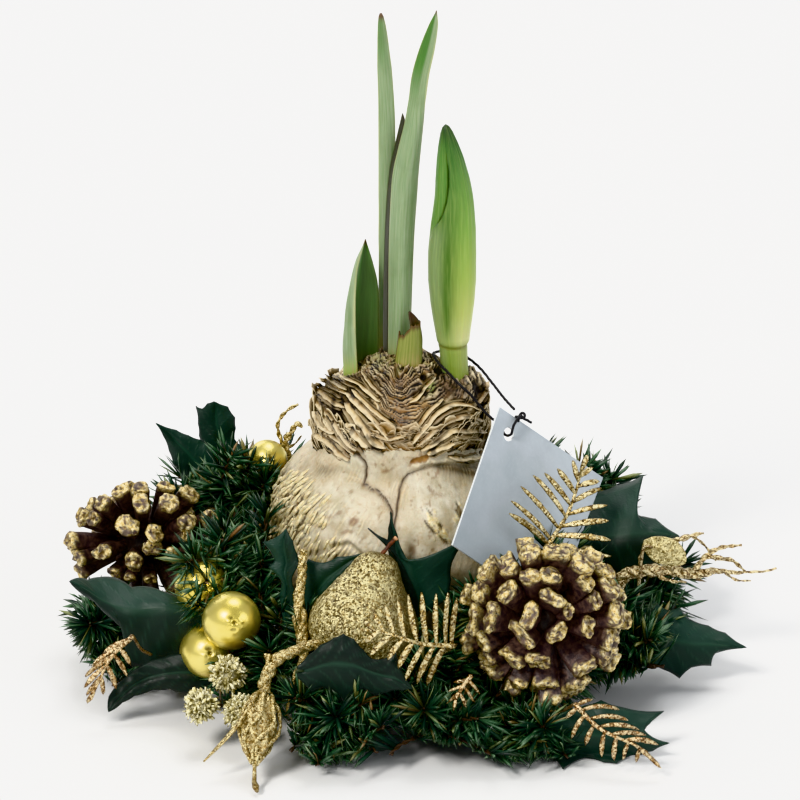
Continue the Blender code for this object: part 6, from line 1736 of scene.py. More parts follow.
def cone_material():
    t = NT("cone_gilded")
    fib = t.noise(500.0, 4.0, 0.6)
    fine = t.noise(1100.0, 3.0, 0.6)
    big = t.noise(120.0, 3.0)
    c = t.mix(t.attr("tone"), srgb(40, 35, 37), srgb(70, 59, 60))
    c = t.mix(t.math("MULTIPLY", t.span(fib, 0.42, 0.68), 0.7), c, srgb(120, 98, 88))
    # painted shade: scales darken towards their roots, deep inside the cone
    c = t.mix(t.math("MULTIPLY", t.span(t.attr("along"), 0.0, 0.5, 0.85, 0.0), 1.0, clamp=True), c, srgb(20, 15, 13))
    gold = t.math("MULTIPLY", t.attr("gold"), t.span(t.noise(650.0, 3.0), 0.33, 0.45), clamp=True)
    gc = t.ramp(fine, [(0.30, srgb(150, 118, 58)), (0.46, srgb(224, 200, 132)), (0.66, srgb(253, 242, 198))])
    gc = t.mix(t.math("MULTIPLY", t.attr("pit"), 0.92, clamp=True), gc, srgb(74, 50, 22))
    c = t.mix(gold, c, gc)
    n1 = t.bump(fine, 0.45, 0.0006)
    n2 = t.bump(fib, 0.4, 0.0009, n1)
    return t.set(color=c, rough=t.span(big, 0.3, 0.7, 0.36, 0.5), metal=t.math("MULTIPLY", gold, 0.50), spec=0.4, normal=n2)


def make_cone(node, centre, out, tips, seed, stalk, deep, half, hidden, size, claw):
    """An open cone seen on its tip. tips: (x, height in the view, long, wide) of each scale's end face; half: the
    seen half width and half height; the scales that look away are set in a spiral behind them."""
    g = Geo()
    rng = np.random.default_rng(seed)
    cx, cs, cy = centre
    eye = unit(vec(out))
    mid = vec(front_point(cx, cs, cy))
    right = unit(np.cross(eye, (0, 0, 1.0)) * -1.0)
    if right[0] < 0:
        right = -right
    upv = np.cross(right, eye)
    if upv[2] < 0:
        upv = -upv
    view = vec((0, -COS24, SIN24))
    for i, (x, s, long, wide) in enumerate(tips):
        u, w = (x - cx) / half[0], (s - cs) / half[1]
        rho = min(1.0, math.hypot(u, w))
        t = deep * (math.sqrt(max(0.0, 1 - rho * rho)) - 0.12)
        tip = vec(front_point(x, s, cy)) + view * t
        root = mid + view * (deep * (0.10 - 0.55 * rho ** 1.5)) + (tip - mid) * 0.10
        root = root + right * (u * claw) + upv * (w * claw * 0.6)
        radial = right * u + upv * w
        flat = unit(np.cross(view, radial)) if rho > 0.08 else right
        ax = np.cross(tip - root, flat)
        if np.dot(ax, view) < 0:
            ax = -ax
        scale_piece(g, root, tip, unit(ax), long, wide, 1.0 * rng.uniform(0.2, 1.2), seed * 1000 + i)
    for i in range(hidden):
        u = (i + 0.5) / hidden
        ph = i * 2.399963
        lat = -0.12 - 0.80 * u
        ring = math.sqrt(1 - lat * lat)
        tip = mid + right * (half[0] * 0.95 * ring * math.cos(ph)) + upv * (half[1] * 0.98 * ring * math.sin(ph)) + view * (deep * 1.05 * lat)
        root = mid + view * (deep * (-0.10 - 0.35 * u)) + (tip - mid) * 0.08
        scale_piece(g, root, tip + rng.normal(0, 0.5, 3), view, size[0] * rng.uniform(0.85, 1.1), size[1] * rng.uniform(0.85, 1.1), 0.6, seed * 1000 + 500 + i)
    # woody core and stalk
    m = 14
    q = np.linspace(-0.75, 0.55, m)
    rr = 7.0 * np.sin(np.pi * np.linspace(0.12, 0.88, m)) ** 0.8
    path = mid + view * (deep * q)[:, None]
    add_tube(g, path, rr, 20, right, along=0.0, gold=0.0, tone=0.2, rub=0.0, pit=0.0)
    if stalk is not None:
        p = smooth_path([mid - view * deep * 0.3, mid - view * deep * 0.8, stalk], 30)
        add_tube(g, p, 0.75, 8, right, along=0.3, gold=0.0, tone=0.3, rub=0.0, pit=0.0)
    o = g.build(node + "_scales", make_cone.mat)
    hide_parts(node)


RIGHT_TIPS = [(640, 150, 180, 150), (870, 140, 230, 110), (455, 265, 170, 150), (270, 310, 180, 110), (200, 480, 190, 120), (90, 500, 170, 80), (440, 480, 220, 150), (640, 345, 190, 130),
              (820, 325, 190, 140), (1100, 235, 230, 190), (1290, 300, 190, 110), (1130, 400, 170, 110), (1330, 430, 220, 150), (1215, 555, 160, 90), (1395, 680, 230, 180), (1350, 900, 200, 170),
              (1320, 1030, 210, 150), (1150, 785, 180, 110), (1105, 1150, 220, 150), (1040, 1290, 230, 140), (905, 1395, 160, 100), (770, 1290, 220, 120), (540, 1280, 180, 100), (700, 1090, 210, 170),
              (480, 1065, 240, 110), (300, 1170, 210, 80), (270, 1050, 190, 80), (225, 920, 190, 90), (85, 930, 180, 90), (150, 730, 270, 90), (290, 700, 280, 100), (560, 860, 290, 120),
              (630, 690, 230, 140), (840, 520, 230, 110), (885, 850, 210, 130), (980, 650, 150, 80)]
RIGHT_TIPS = [(18.4 + x * 0.04388, 45.6 - y * 0.04388, a * 0.0455, b * 0.0455) for x, y, a, b in RIGHT_TIPS]
LEFT_TIPS = [(165, 490, 100, 95), (215, 600, 90, 80), (230, 680, 100, 80), (230, 335, 100, 85), (300, 345, 80, 70), (362, 245, 100, 90), (475, 170, 90, 80), (595, 160, 100, 60), (605, 245, 90, 120),
             (765, 140, 100, 60), (780, 250, 110, 120), (905, 185, 130, 80), (895, 370, 90, 110), (890, 455, 80, 70), (1040, 350, 100, 110), (515, 390, 110, 140), (700, 435, 110, 90), (680, 545, 110, 100),
             (355, 560, 80, 130), (555, 620, 110, 110), (830, 600, 80, 160), (660, 740, 90, 70), (530, 735, 70, 60), (845, 730, 70, 60), (945, 545, 70, 90), (430, 700, 80, 60)]
LEFT_TIPS = [(-130.4 + x * 0.0603, 71.2 - y * 0.0603, a * 0.068, b * 0.066) for x, y, a, b in LEFT_TIPS]

make_cone.mat = cone_material()
make_cone("pinecone_right", (52.6, 13.6, -73.5), (0.0, -COS24, SIN24), RIGHT_TIPS, 11, on_ring(312, 1, 1), 19.0, (32.0, 32.0), 30, (7.6, 4.6), 2.4)
make_cone("pinecone_left", (-92.6, 41.6, 4.0), (0.0, -COS24, SIN24), LEFT_TIPS, 12, on_ring(172, 1, 2), 19.0, (29.0, 22.5), 26, (6.0, 5.4), 8.5)


# ================================================================ gilt materials
def glitter_material(name, dark, mid, light, flakes=(1500.0, 700.0), tilt=0.55, rough=0.3, metal=0.75):
    t = NT(name)
    geo = t.node("ShaderNodeNewGeometry")
    v1 = t.node("ShaderNodeTexVoronoi", feature="F1")
    v1.inputs["Scale"].default_value = flakes[0]
    t.link(t.tc.outputs["Object"], v1.inputs["Vector"])
    v2 = t.node("ShaderNodeTexVoronoi", feature="F1")
    v2.inputs["Scale"].default_value = flakes[1]
    t.link(t.tc.outputs["Object"], v2.inputs["Vector"])
    sub = t.node("ShaderNodeVectorMath", operation="SUBTRACT")
    t.link(v1.outputs["Color"], sub.inputs[0])
    sub.inputs[1].default_value = (0.5, 0.5, 0.5)
    scl = t.node("ShaderNodeVectorMath", operation="SCALE")
    t.link(sub.outputs[0], scl.inputs[0])
    scl.inputs["Scale"].default_value = tilt * 2
    add = t.node("ShaderNodeVectorMath", operation="ADD")
    t.link(geo.outputs["Normal"], add.inputs[0])
    t.link(scl.outputs[0], add.inputs[1])
    nor = t.node("ShaderNodeVectorMath", operation="NORMALIZE")
    t.link(add.outputs[0], nor.inputs[0])
    sep = t.node("ShaderNodeSeparateColor")
    t.link(v1.outputs["Color"], sep.inputs[0])
    sep2 = t.node("ShaderNodeSeparateColor")
    t.link(v2.outputs["Color"], sep2.inputs[0])
    c = t.ramp(sep.outputs[0], [(0.0, dark), (0.35, mid), (0.72, light), (1.0, light)])
    c = t.mix(t.math("MULTIPLY", t.math("LESS_THAN", sep2.outputs[1], 0.3), 0.45), c, dark)
    c = t.mix(t.math("MULTIPLY", t.attr("shade"), 0.75, clamp=True), c, dark)
    edge = t.bump(t.math("MULTIPLY", v1.outputs["Distance"], -1.0), 0.5, 0.0005, nor.outputs[0])
    return t.set(color=c, rough=t.span(sep.outputs[1], 0.0, 1.0, rough * 0.7, rough * 1.5), metal=metal, spec=0.5, normal=edge)


GLITTER = glitter_material("glitter_gold", srgb(96, 72, 32), srgb(180, 154, 92), srgb(243, 230, 178), (2100.0, 760.0), 0.5, 0.32, 0.55)
GLITTER_PEAR = glitter_material("glitter_pear", srgb(72, 58, 28), srgb(144, 126, 74), srgb(222, 211, 160), (1600.0, 640.0), 0.5, 0.34, 0.40)
GLITTER_PALE = glitter_material("glitter_pale", srgb(108, 96, 46), srgb(230, 220, 162), srgb(252, 248, 214), (900.0, 500.0), 0.3, 0.34, 0.30)
GLITTER_FERN = glitter_material("glitter_fern", srgb(64, 43, 20), srgb(192, 165, 102), srgb(252, 239, 188), (1500.0, 1100.0), 0.22, 0.30, 0.55)
GLITTER_LEAF = glitter_material("glitter_leaf", srgb(112, 96, 50), srgb(192, 176, 120), srgb(232, 220, 168), (1900.0, 760.0), 0.34, 0.36, 0.30)
GLITTER_TWIG = glitter_material("glitter_twig", srgb(84, 62, 42), srgb(184, 158, 110), srgb(244, 230, 184), (1700.0, 700.0), 0.45, 0.34, 0.45)
GLITTER_COPPER = glitter_material("glitter_copper", srgb(64, 40, 22), srgb(176, 138, 88), srgb(244, 224, 178), (1500.0, 1100.0), 0.24, 0.32, 0.55)


def bauble_material():
    t = NT("bauble_lacquer")
    dust = t.noise(700.0, 3.0)
    slow = t.noise(70.0, 3.0)
    c = t.mix(t.span(slow, 0.35, 0.65), srgb(244, 224, 116), srgb(250, 234, 142))
    c = t.mix(t.math("MULTIPLY", t.attr("seam"), 0.5), c, srgb(176, 132, 30))
    # painted shade: amber towards the lower right limb
    c = t.mix(t.math("MULTIPLY", t.attr("amber"), 0.9, clamp=True), c, srgb(168, 116, 22))
    # painted reflection: the dark spot in the dent that faces the camera
    c = t.mix(t.math("MULTIPLY", t.attr("pit"), 0.95, clamp=True), c, srgb(58, 38, 8))
    c = t.mix(t.math("MULTIPLY", t.attr("wire"), 1.0, clamp=True), c, srgb(60, 48, 24))
    r = t.span(slow, 0.3, 0.7, 0.25, 0.34)
    r = t.math("ADD", r, t.math("MULTIPLY", t.span(dust, 0.6, 0.75), 0.15))
    return t.set(color=c, rough=r, metal=0.9, coat=0.35, coat_rough=0.22, normal=t.bump(slow, 0.16, 0.0008, t.bump(dust, 0.05, 0.0001)))


def ball(g, centre, r, rows, cols, pole, fn=None, **attrs):
    """Closed ball with its pole along a direction; fn gives an offset for unit directions."""
    ax = unit(vec(pole))
    s = unit(np.cross(ax, (0.21, 0.93, 0.3)))
    f = np.cross(ax, s)
    la = np.linspace(0, np.pi, rows)[1:-1]
    lo = np.arange(cols) * TAU / cols
    d = (np.sin(la)[:, None, None] * (np.cos(lo)[None, :, None] * s + np.sin(lo)[None, :, None] * f) + np.cos(la)[:, None, None] * -ax).reshape(-1, 3)
    d = np.concatenate([d, [-ax], [ax]])
    off = fn(d) if fn else 0.0
    v = vec(centre) + d * (r + np.asarray(off)[..., None] if fn else r)
    m = rows - 2
    f4 = grid_faces(m, cols, True)
    f3 = np.concatenate([fan(0, cols, m * cols, True), fan((m - 1) * cols, cols, m * cols + 1)])
    out = {k: (x(d) if callable(x) else x) for k, x in attrs.items()}
    g.add(v, f3, f4, **out)


def make_baubles():
    mat = bauble_material()
    for k, (node, root, c, r) in enumerate([
        ("bauble_front", (-55.5, -51.0, 17.0), (-60.8, -62, 42), 10.6),
        ("bauble_low", (-60.0, -47.0, 10.0), (-69.6, -52.2, 25.4), 10.0),
        ("bauble_hidden", (-65.5, -36.0, 14.0), (-71.8, -41.4, 46.5), 9.7),
        ("bauble_back", (-55.0, 36.5, 14.0), (-48.2, 31.0, 64.2), 7.2)]):
        g = Geo()
        ax = unit(vec(c) - vec(root))
        # painted shade: direction of the ball's darker lower right limb
        low = unit(vec((0.62, -0.20, -0.76)))
        pole = unit(vec((0.12, -0.93, 0.34)))

        # the dent faces the camera on every ball; its dark spot is a painted reflection
        def dent(d, pole=pole, k=k, r=r):
            a = np.arccos(np.clip(d @ pole, -1, 1)) * r
            return a, np.exp(-(a / 0.75) ** 2), np.exp(-((a - 1.9) / 1.6) ** 2) * vnoise(d * 8 + k, 821)
        ball(g, c, r, 60, 72, pole, fn=lambda d, k=k, r=r, dent=dent: 0.016 * r * vnoise(d * 1.6 + k, 820) - 1.1 * dent(d)[1] + 0.30 * dent(d)[2],
             seam=lambda d, ax=ax: 0.6 * np.exp(-((d @ ax) / 0.02) ** 2), wire=0.0, amber=lambda d, low=low: step(d @ low, 0.30, 0.92),
             pit=lambda d, dent=dent: np.clip(1.2 * dent(d)[1] + 0.8 * step(-dent(d)[2], 0.25, 0.6), 0, 1))
        # neck collar and twisted wire
        p0 = vec(c) - ax * (r + 1.9)
        coll = np.stack([p0, p0 + ax * 0.2, p0 + ax * 1.3, p0 + ax * 2.6])
        add_tube(g, coll, [1.2, 1.55, 1.6, 2.1], 18, (1, 0.2, 0.1), seam=0.6, wire=0.0, amber=0.3, pit=0.0)
        path = smooth_path([vec(root), vec(root) * 0.5 + vec(c) * 0.5 + np.array([0.8, -0.6, 0]), p0 + ax * 0.5], 44)
        for ph0 in (0, math.pi):
            t, s, f = frames_along(path, (1, 0.1, 0))
            ph = np.linspace(0, 30, 44) + ph0
            add_tube(g, path + 0.32 * (np.cos(ph)[:, None] * s + np.sin(ph)[:, None] * f), 0.33, 6, (1, 0.1, 0), seam=0.0, wire=1.0, amber=0.0, pit=0.0)
        o = g.build(node + "_ball", mat)
        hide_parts(node)


def make_berries():
    for k, (node, root, c, r) in enumerate([
        ("glitter_berry_upper", (-53.0, -55.5, 11.0), (-62.0, -76, 27.4), 6.9),
        ("glitter_berry_left", (-60.0, -58.0, 8.0), (-71.8, -84, 18.4), 6.5),
        ("glitter_berry_low", (-51.0, -60.0, 6.5), (-57.6, -86.0, 17.0), 6.7)]):
        g = Geo()
        rng = np.random.default_rng(60 + k)
        ball(g, c, r * 0.66, 22, 30, (0, 0, 1), fn=lambda d: 0.6 * vnoise(d * 4 + k, 830), shade=0.75)
        n = 190
        i = np.arange(n) + 0.5
        zz = 1 - 2 * i / n
        ph = i * 2.399963
        d = np.stack([np.sqrt(1 - zz ** 2) * np.cos(ph), np.sqrt(1 - zz ** 2) * np.sin(ph), zz], 1)
        d = units(d + rng.normal(0, 0.16, (n, 3)))
        for j in range(n):
            # coarse tinsel chip: a bent strip standing out of the core
            s = unit(np.cross(d[j], rng.normal(size=3)))
            f = np.cross(d[j], s)
            ln, w = rng.uniform(1.9, 3.9), rng.uniform(0.5, 0.95)
            lean = d[j] + 0.35 * s * rng.normal()
            b = vec(c) + d[j] * r * 0.52
            m = b + lean * ln * 0.55
            e = b + lean * ln + f * 0.5 * rng.normal()
            pts = [b - s * w * 0.8, b + s * w * 0.8, m + s * w, e + s * w * 0.55, e - s * w * 0.55, m - s * w]
            top = [p + f * 0.2 for p in pts]
            low = [p - f * 0.2 for p in pts]
            g.add(np.array(top + low), f4=[(0, 1, 2, 5), (5, 2, 3, 4), (6, 11, 8, 7), (11, 10, 9, 8), (0, 6, 7, 1), (1, 7, 8, 2), (2, 8, 9, 3), (3, 9, 10, 4), (4, 10, 11, 5), (5, 11, 6, 0)],
                  shade=[0.6, 0.6, 0.1, 0, 0, 0.1] * 2)
        path = smooth_path([vec(root), (vec(root) + vec(c)) / 2 + np.array([0, -1, 1.0]), vec(c)], 26)
        add_tube(g, path, 0.5, 7, (1, 0.1, 0), shade=1.0)
        o = g.build(node + "_chips", GLITTER_PALE, smooth=False)
        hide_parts(node)


def make_pear():
    foot, top = vec((-16.5, -75.0, 28.5)), vec((-7.5, -60.0, 68.0))
    ax = unit(top - foot)
    prof = [(-0.2, 0.4), (0.3, 3.2), (0.0, 6.4), (0.9, 9.4), (3.2, 13.2), (6.5, 16.6), (10.5, 19.0), (15.5, 19.9), (20, 19.3), (24.5, 17.2), (29, 14.2), (33, 11.3), (36.5, 9.3), (39.5, 7.7), (41.6, 6.0), (43.0, 3.8), (43.2, 2.0), (42.3, 0.5)]
    pr = smooth_path([(a, b, 0) for a, b in prof], 100)
    s = unit(np.cross(ax, (0.2, 0.9, 0.37)))
    f = np.cross(ax, s)
    n = 140
    th = np.arange(n) * TAU / n
    dirs = np.cos(th)[:, None] * s + np.sin(th)[:, None] * f
    v = foot + ax * pr[:, 0][:, None, None] + dirs[None] * pr[:, 1][:, None, None]
    soft = 0.5 * fbm(v / 13.0, 2, 850)
    grit = 0.22 * np.abs(vnoise(v / 0.75, 851)) + 0.18 * vnoise(v / 1.5, 852)
    v = v + dirs[None] * ((soft + grit) * step(pr[:, 1], 0.5, 5.0)[:, None])[..., None]
    g = Geo()
    flat = v.reshape(-1, 3)
    ends = np.stack([foot + ax * pr[0, 0], foot + ax * pr[-1, 0]])
    rows = len(pr)
    sv = COS24 * v[..., 2] + SIN24 * v[..., 1]
    mid_x = foot[0] + (ax[0] * pr[:, 0])[:, None]
    rel = (v[..., 0] - mid_x) / np.maximum(pr[:, 1][:, None], 2.0)
    sh = (step(pr[:, 0], 40.5, 43.2) * 0.6 + 0.5 * (1 - step(pr[:, 0], 0, 2.5)))[:, None] + 0.80 * step(rel, 0.60, 0.95) + 0.55 * step(v[..., 0], -9.0, -2.0) * (1 - step(sv, 20, 25)) + 0.35 * step(-rel, 0.75, 1.0) * (1 - step(sv, 14, 24))
    shade = np.concatenate([np.clip(sh, 0, 1).reshape(-1), [0.6, 0.6]])
    g.add(np.concatenate([flat, ends]), np.concatenate([fan(0, n, rows * n, True), fan((rows - 1) * n, n, rows * n + 1)]), grid_faces(rows, n, True), shade=shade)
    # dried calyx at the foot end
    for k in range(6):
        a0 = TAU * k / 6
        o = math.cos(a0) * s + math.sin(a0) * f
        p = smooth_path([foot + o * 0.8, foot + o * 2.2 - ax * 0.9, foot + o * 3.6 - ax * 0.7], 9)
        w = np.array([0.5, 0.8, 1.0, 1.1, 1.0, 0.9, 0.7, 0.4, 0.12])
        sheet(g, plain_blade(p, w, np.cross(ax, o), 0.2, 5), 0.4, shade=0.8)
    ob = g.build("pear_skin", GLITTER_PEAR)
    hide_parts("glitter_pear")

    g = Geo()
    path = smooth_path([(-7.4, -60.4, 65.4), (-6.2, -60.0, 67.6), (-4.2, -59.0, 70.2), (-1.2, -58.2, 73.4)], 40)
    path = noise_path(path, 0.25, 2.5, 860)
    rr = np.interp(np.linspace(0, 1, 40), [0, 0.15, 0.5, 0.85, 0.95, 1.0], [1.25, 0.9, 0.66, 0.72, 0.98, 0.85])
    add_tube(g, path, rr * (1 + 0.12 * vnoise(path / 1.1, 861)), 14, (1, 0.1, 0), along=np.linspace(0, 1, 40))
    t = NT("stem_bark")
    fib = t.noise(900.0, 4.0)
    c = t.mix(t.span(fib, 0.35, 0.65), srgb(60, 30, 18), srgb(116, 66, 40))
    c = t.mix(t.span(t.attr("along"), 0.86, 0.95), c, srgb(196, 150, 112))
    m = t.set(color=c, rough=t.span(fib, 0.3, 0.7, 0.42, 0.6), spec=0.4, normal=t.bump(fib, 0.5, 0.0005))
    o = g.build("pear_stalk_bark", m)
    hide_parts("pear_stem")


# ================================================================ gilded ferns
def frond_cut(node, rib, leaflets, width, root, seed, mat=None):
    """A frond laid out from its seen shape. rib holds (x, height in the view, depth); a leaflet is
    (root x, height, tip x, height, bow, depth change, shade)."""
    g = Geo()
    rng = np.random.default_rng(seed)
    rp = smooth_path([front_point(*p) for p in rib], 90)
    rs = COS24 * rp[:, 2] + SIN24 * rp[:, 1]
    add_tube(g, rp, np.linspace(0.95, 0.45, 90) * (1 + 0.18 * vnoise(rp / 1.2, 880 + seed)), 9, (0.3, -0.8, 0.5), shade=0.2)
    eye = vec((0, -COS24, SIN24))
    t = np.linspace(0, 1, 15)
    for k, (x0, s0, x1, s1, bow, dy, shade) in enumerate(leaflets):
        i = int(np.argmin((rp[:, 0] - x0) ** 2 + (rs - s0) ** 2))
        y0 = rp[i, 1]
        a, b = rp[i], np.array(front_point(x1, s1, y0 + dy))
        up = unit(np.cross(eye, b - a))
        path = a + (b - a) * t[:, None] + up * (bow * 4 * t * (1 - t))[:, None] + eye * (0.9 * np.sin(np.pi * t))[:, None]
        w = width / 2 * np.interp(t, [0, 0.1, 0.35, 0.65, 0.86, 0.95, 1.0], [0.42, 0.66, 0.98, 1.0, 0.76, 0.46, 0.10]) * rng.uniform(0.88, 1.12)
        w = w * (1 + 0.14 * vnoise(np.stack([t * 9 + k * 3.1, t * 0, t * 0], -1), 870 + seed))
        tilt = rng.normal(0.25, 0.2)
        nrm = unit(eye + np.array([tilt, 0, 0.3 * rng.normal()]))
        mid = plain_blade(path, w, np.cross(nrm, unit(b - a)), 0.34, 7)
        q = np.linspace(-1, 1, 7)[None, :]
        sheet(g, mid, 0.40 + 0.75 * (1 - q ** 2) * np.ones((15, 1)), shade=np.maximum(np.maximum(shade, 0.7 * (1 - step(t, 0.0, 0.22))[:, None]), 0.55 * np.abs(q) ** 4 * np.ones((15, 1))) * np.ones_like(q))
    if root is not None:
        p = smooth_path([vec(root), (vec(root) + rp[0]) / 2 + rng.normal(0, 1.0, 3), rp[0], rp[4]], 30)
        add_tube(g, p, 0.6, 8, (1, 0.1, 0), shade=0.9)
    o = g.build(node + "_frond", mat or GLITTER_FERN)
    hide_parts(node)


def make_ferns():
    frond_cut("gold_fern_tag", [(52.6, 39.0, -45.0), (55.3, 43.4, -42.5), (58.1, 47.6, -40.0), (60.6, 51.9, -37.5), (63.0, 58.1, -33.5), (64.6, 63.6, -30.0), (65.8, 69.5, -26.5)], [
        (53.6, 41.0, 76.2, 36.4, -0.8, -1.0, 0.1), (56.0, 43.4, 76.0, 42.2, 0.6, 0.0, 0.0), (58.6, 46.4, 75.4, 49.2, 0.5, 1.0, 0.0), (61.0, 51.0, 74.8, 54.8, 0.5, 1.5, 0.0), (62.4, 55.6, 72.6, 61.0, 0.4, 2.0, 0.0),
        (64.2, 61.4, 72.0, 63.4, 0.4, 1.0, 0.0), (65.0, 65.0, 69.6, 68.4, 0.2, 1.0, 0.1), (65.6, 67.4, 67.8, 73.0, 0.0, 1.0, 0.1),
        (53.4, 40.6, 39.4, 51.8, -0.9, -2.5, 0.35), (54.4, 42.4, 40.2, 56.4, -0.8, -2.5, 0.15), (57.2, 46.4, 43.6, 61.6, -0.6, -2.0, 0.05), (59.6, 50.6, 48.2, 65.6, -0.6, -2.0, 0.0), (61.6, 54.6, 52.2, 66.4, -0.4, -1.5, 0.0),
        (63.2, 58.8, 56.8, 68.0, -0.3, -1.0, 0.0), (64.4, 63.4, 62.4, 71.0, 0.0, 0.0, 0.1)], 1.95, (60.5, -34.0, 36.0), 1)
    frond_cut("gold_fern_pear", [(19.6, 4.4, -95.5), (14.5, 4.6, -98.0), (8.5, 5.0, -99.8), (3.0, 6.4, -100.5), (-2.0, 8.2, -100.3), (-8.0, 9.6, -99.6), (-14.2, 10.3, -98.6)], [
        (18.6, 4.4, 20.6, 21.6, 0.5, 1.0, 0.6), (16.3, 4.6, 17.4, 23.4, 0.6, 0.5, 0.5), (13.2, 4.8, 13.1, 23.0, 0.5, 0.0, 0.1), (9.9, 5.0, 7.9, 23.6, 0.5, 0.0, 0.0), (6.2, 5.4, 3.0, 22.8, 0.4, 0.0, 0.0),
        (2.0, 6.8, -0.6, 21.0, 0.3, 0.0, 0.0), (-2.0, 8.2, -5.2, 19.2, 0.2, 0.0, 0.0), (-5.4, 9.0, -9.4, 16.4, 0.2, 0.5, 0.0), (-9.0, 9.8, -12.8, 13.6, 0.1, 0.5, 0.0),
        (-2.6, 8.4, -10.6, 1.0, -0.6, -1.0, 0.0), (1.6, 7.0, -4.4, -0.6, -0.5, -1.0, 0.05), (5.0, 5.8, -0.6, -3.6, -0.5, -1.0, 0.1), (8.6, 5.0, 2.0, -7.8, -0.5, -1.0, 0.1), (12.6, 4.8, 6.2, -9.0, -0.5, -1.0, 0.45),
        (16.0, 4.6, 9.8, -9.6, -0.5, -1.0, 0.7), (-7.6, 9.6, -12.4, 5.6, -0.3, -0.5, 0.0)], 2.0, (6.0, -75.0, 22.0), 2)
    frond_cut("gold_fern_front_right", [(63.0, -16.6, -97.5), (66.2, -20.2, -100.5), (69.6, -23.6, -103.0), (73.9, -26.6, -105.0), (79.4, -29.1, -106.8), (84.5, -31.2, -108.2), (89.0, -34.6, -109.6)], [
        (63.4, -17.0, 69.2, -15.0, 0.4, 0.5, 0.3), (65.0, -18.8, 78.8, -18.6, 1.4, 0.5, 0.35), (68.0, -21.8, 82.0, -22.4, 1.3, 0.0, 0.1), (71.4, -24.8, 86.0, -25.8, 1.3, 0.0, 0.05), (75.8, -27.4, 88.4, -27.8, 0.9, 0.0, 0.35),
        (80.4, -29.6, 92.8, -31.2, 1.0, 0.0, 0.15), (84.6, -31.2, 93.8, -39.6, 0.3, -0.5, 0.0), (64.0, -17.8, 60.0, -21.6, -0.3, -0.5, 0.4), (66.4, -20.4, 61.8, -28.8, -0.5, -0.5, 0.1), (70.2, -24.0, 66.8, -31.2, -0.4, -0.5, 0.35),
        (73.6, -26.4, 72.6, -35.4, -0.4, -0.3, 0.15), (78.0, -28.6, 77.0, -36.6, -0.4, -0.3, 0.1), (82.2, -30.4, 80.4, -36.4, -0.3, -0.3, 0.15), (86.4, -32.6, 85.0, -37.4, -0.2, -0.2, 0.4)], 1.6, (52.0, -86.0, 17.0), 3, GLITTER_COPPER)
    frond_cut("gold_fern_left", [(-96.5, 7.6, -60.5), (-99.0, 5.2, -61.5), (-102.4, 2.2, -63.0), (-105.8, -2.4, -65.0), (-108.4, -8.2, -66.5), (-110.6, -12.6, -67.4)], [
        (-98.0, 6.2, -107.0, 1.2, -0.7, -0.5, 0.3), (-100.8, 3.8, -111.2, -3.2, -0.7, -0.5, 0.1), (-103.8, 0.4, -113.6, -7.0, -0.5, -0.5, 0.0), (-106.0, -3.0, -114.0, -11.0, -0.4, -0.5, 0.1), (-107.8, -6.6, -113.2, -13.8, -0.2, -0.3, 0.1),
        (-101.2, 3.2, -97.4, -2.6, 0.3, -0.5, 0.1), (-103.4, 0.8, -98.6, -6.8, 0.4, -0.5, 0.0), (-105.8, -2.8, -102.6, -11.4, 0.4, -0.5, 0.1), (-108.0, -7.0, -107.2, -13.4, 0.2, -0.3, 0.2), (-110.0, -11.6, -113.0, -16.4, 0.0, -0.2, 0.1)], 1.75, (-90.0, -52.0, 24.0), 4, GLITTER_COPPER)
    frond_cut("gold_fern_small", [(25.6, -6.4, -99.0), (23.6, -8.8, -101.0), (21.6, -11.8, -103.0), (20.0, -15.0, -104.5)], [
        (24.6, -7.6, 19.6, -8.6, 0.2, -0.3, 0.2), (23.2, -9.4, 17.6, -11.8, 0.2, -0.3, 0.1), (22.0, -11.4, 17.2, -16.0, 0.2, -0.3, 0.1), (24.4, -7.8, 28.4, -12.6, 0.2, -0.3, 0.3), (22.8, -10.0, 26.4, -15.6, 0.2, -0.3, 0.1),
        (21.4, -12.4, 23.6, -17.4, 0.2, -0.3, 0.1), (20.4, -14.4, 19.2, -18.4, 0.0, -0.2, 0.1)], 1.1, (22.0, -82.0, 20.0), 5, GLITTER_COPPER)


# ================================================================ glitter twigs, pod, leaf
def rope_twig(g, path, r, strands, pitch, seed, taper=(1, 1), grit=0.35):
    n = len(path)
    t, s, f = frames_along(path, (0.9, 0.3, 0.2))
    run = np.concatenate([[0], np.cumsum(np.linalg.norm(np.diff(path, axis=0), axis=1))])
    tp = np.interp(np.linspace(0, 1, n), np.linspace(0, 1, len(taper)), taper)
    for k in range(strands):
        ph = run / pitch * TAU + TAU * k / strands + 0.6 * vnoise(np.stack([run / 7, run * 0 + k, run * 0], -1), seed)
        off = r * 0.55 * tp
        p = path + off[:, None] * (np.cos(ph)[:, None] * s + np.sin(ph)[:, None] * f)
        rr = r * 0.62 * tp * (1 + grit * vnoise(p / 1.4 + k, seed + 3) + 0.2 * vnoise(p / 0.6, seed + 4))
        add_tube(g, p, np.maximum(rr, 0.22), 10, (0.9, 0.3, 0.2), shade=0.35 * (0.5 + 0.5 * np.sin(ph)))


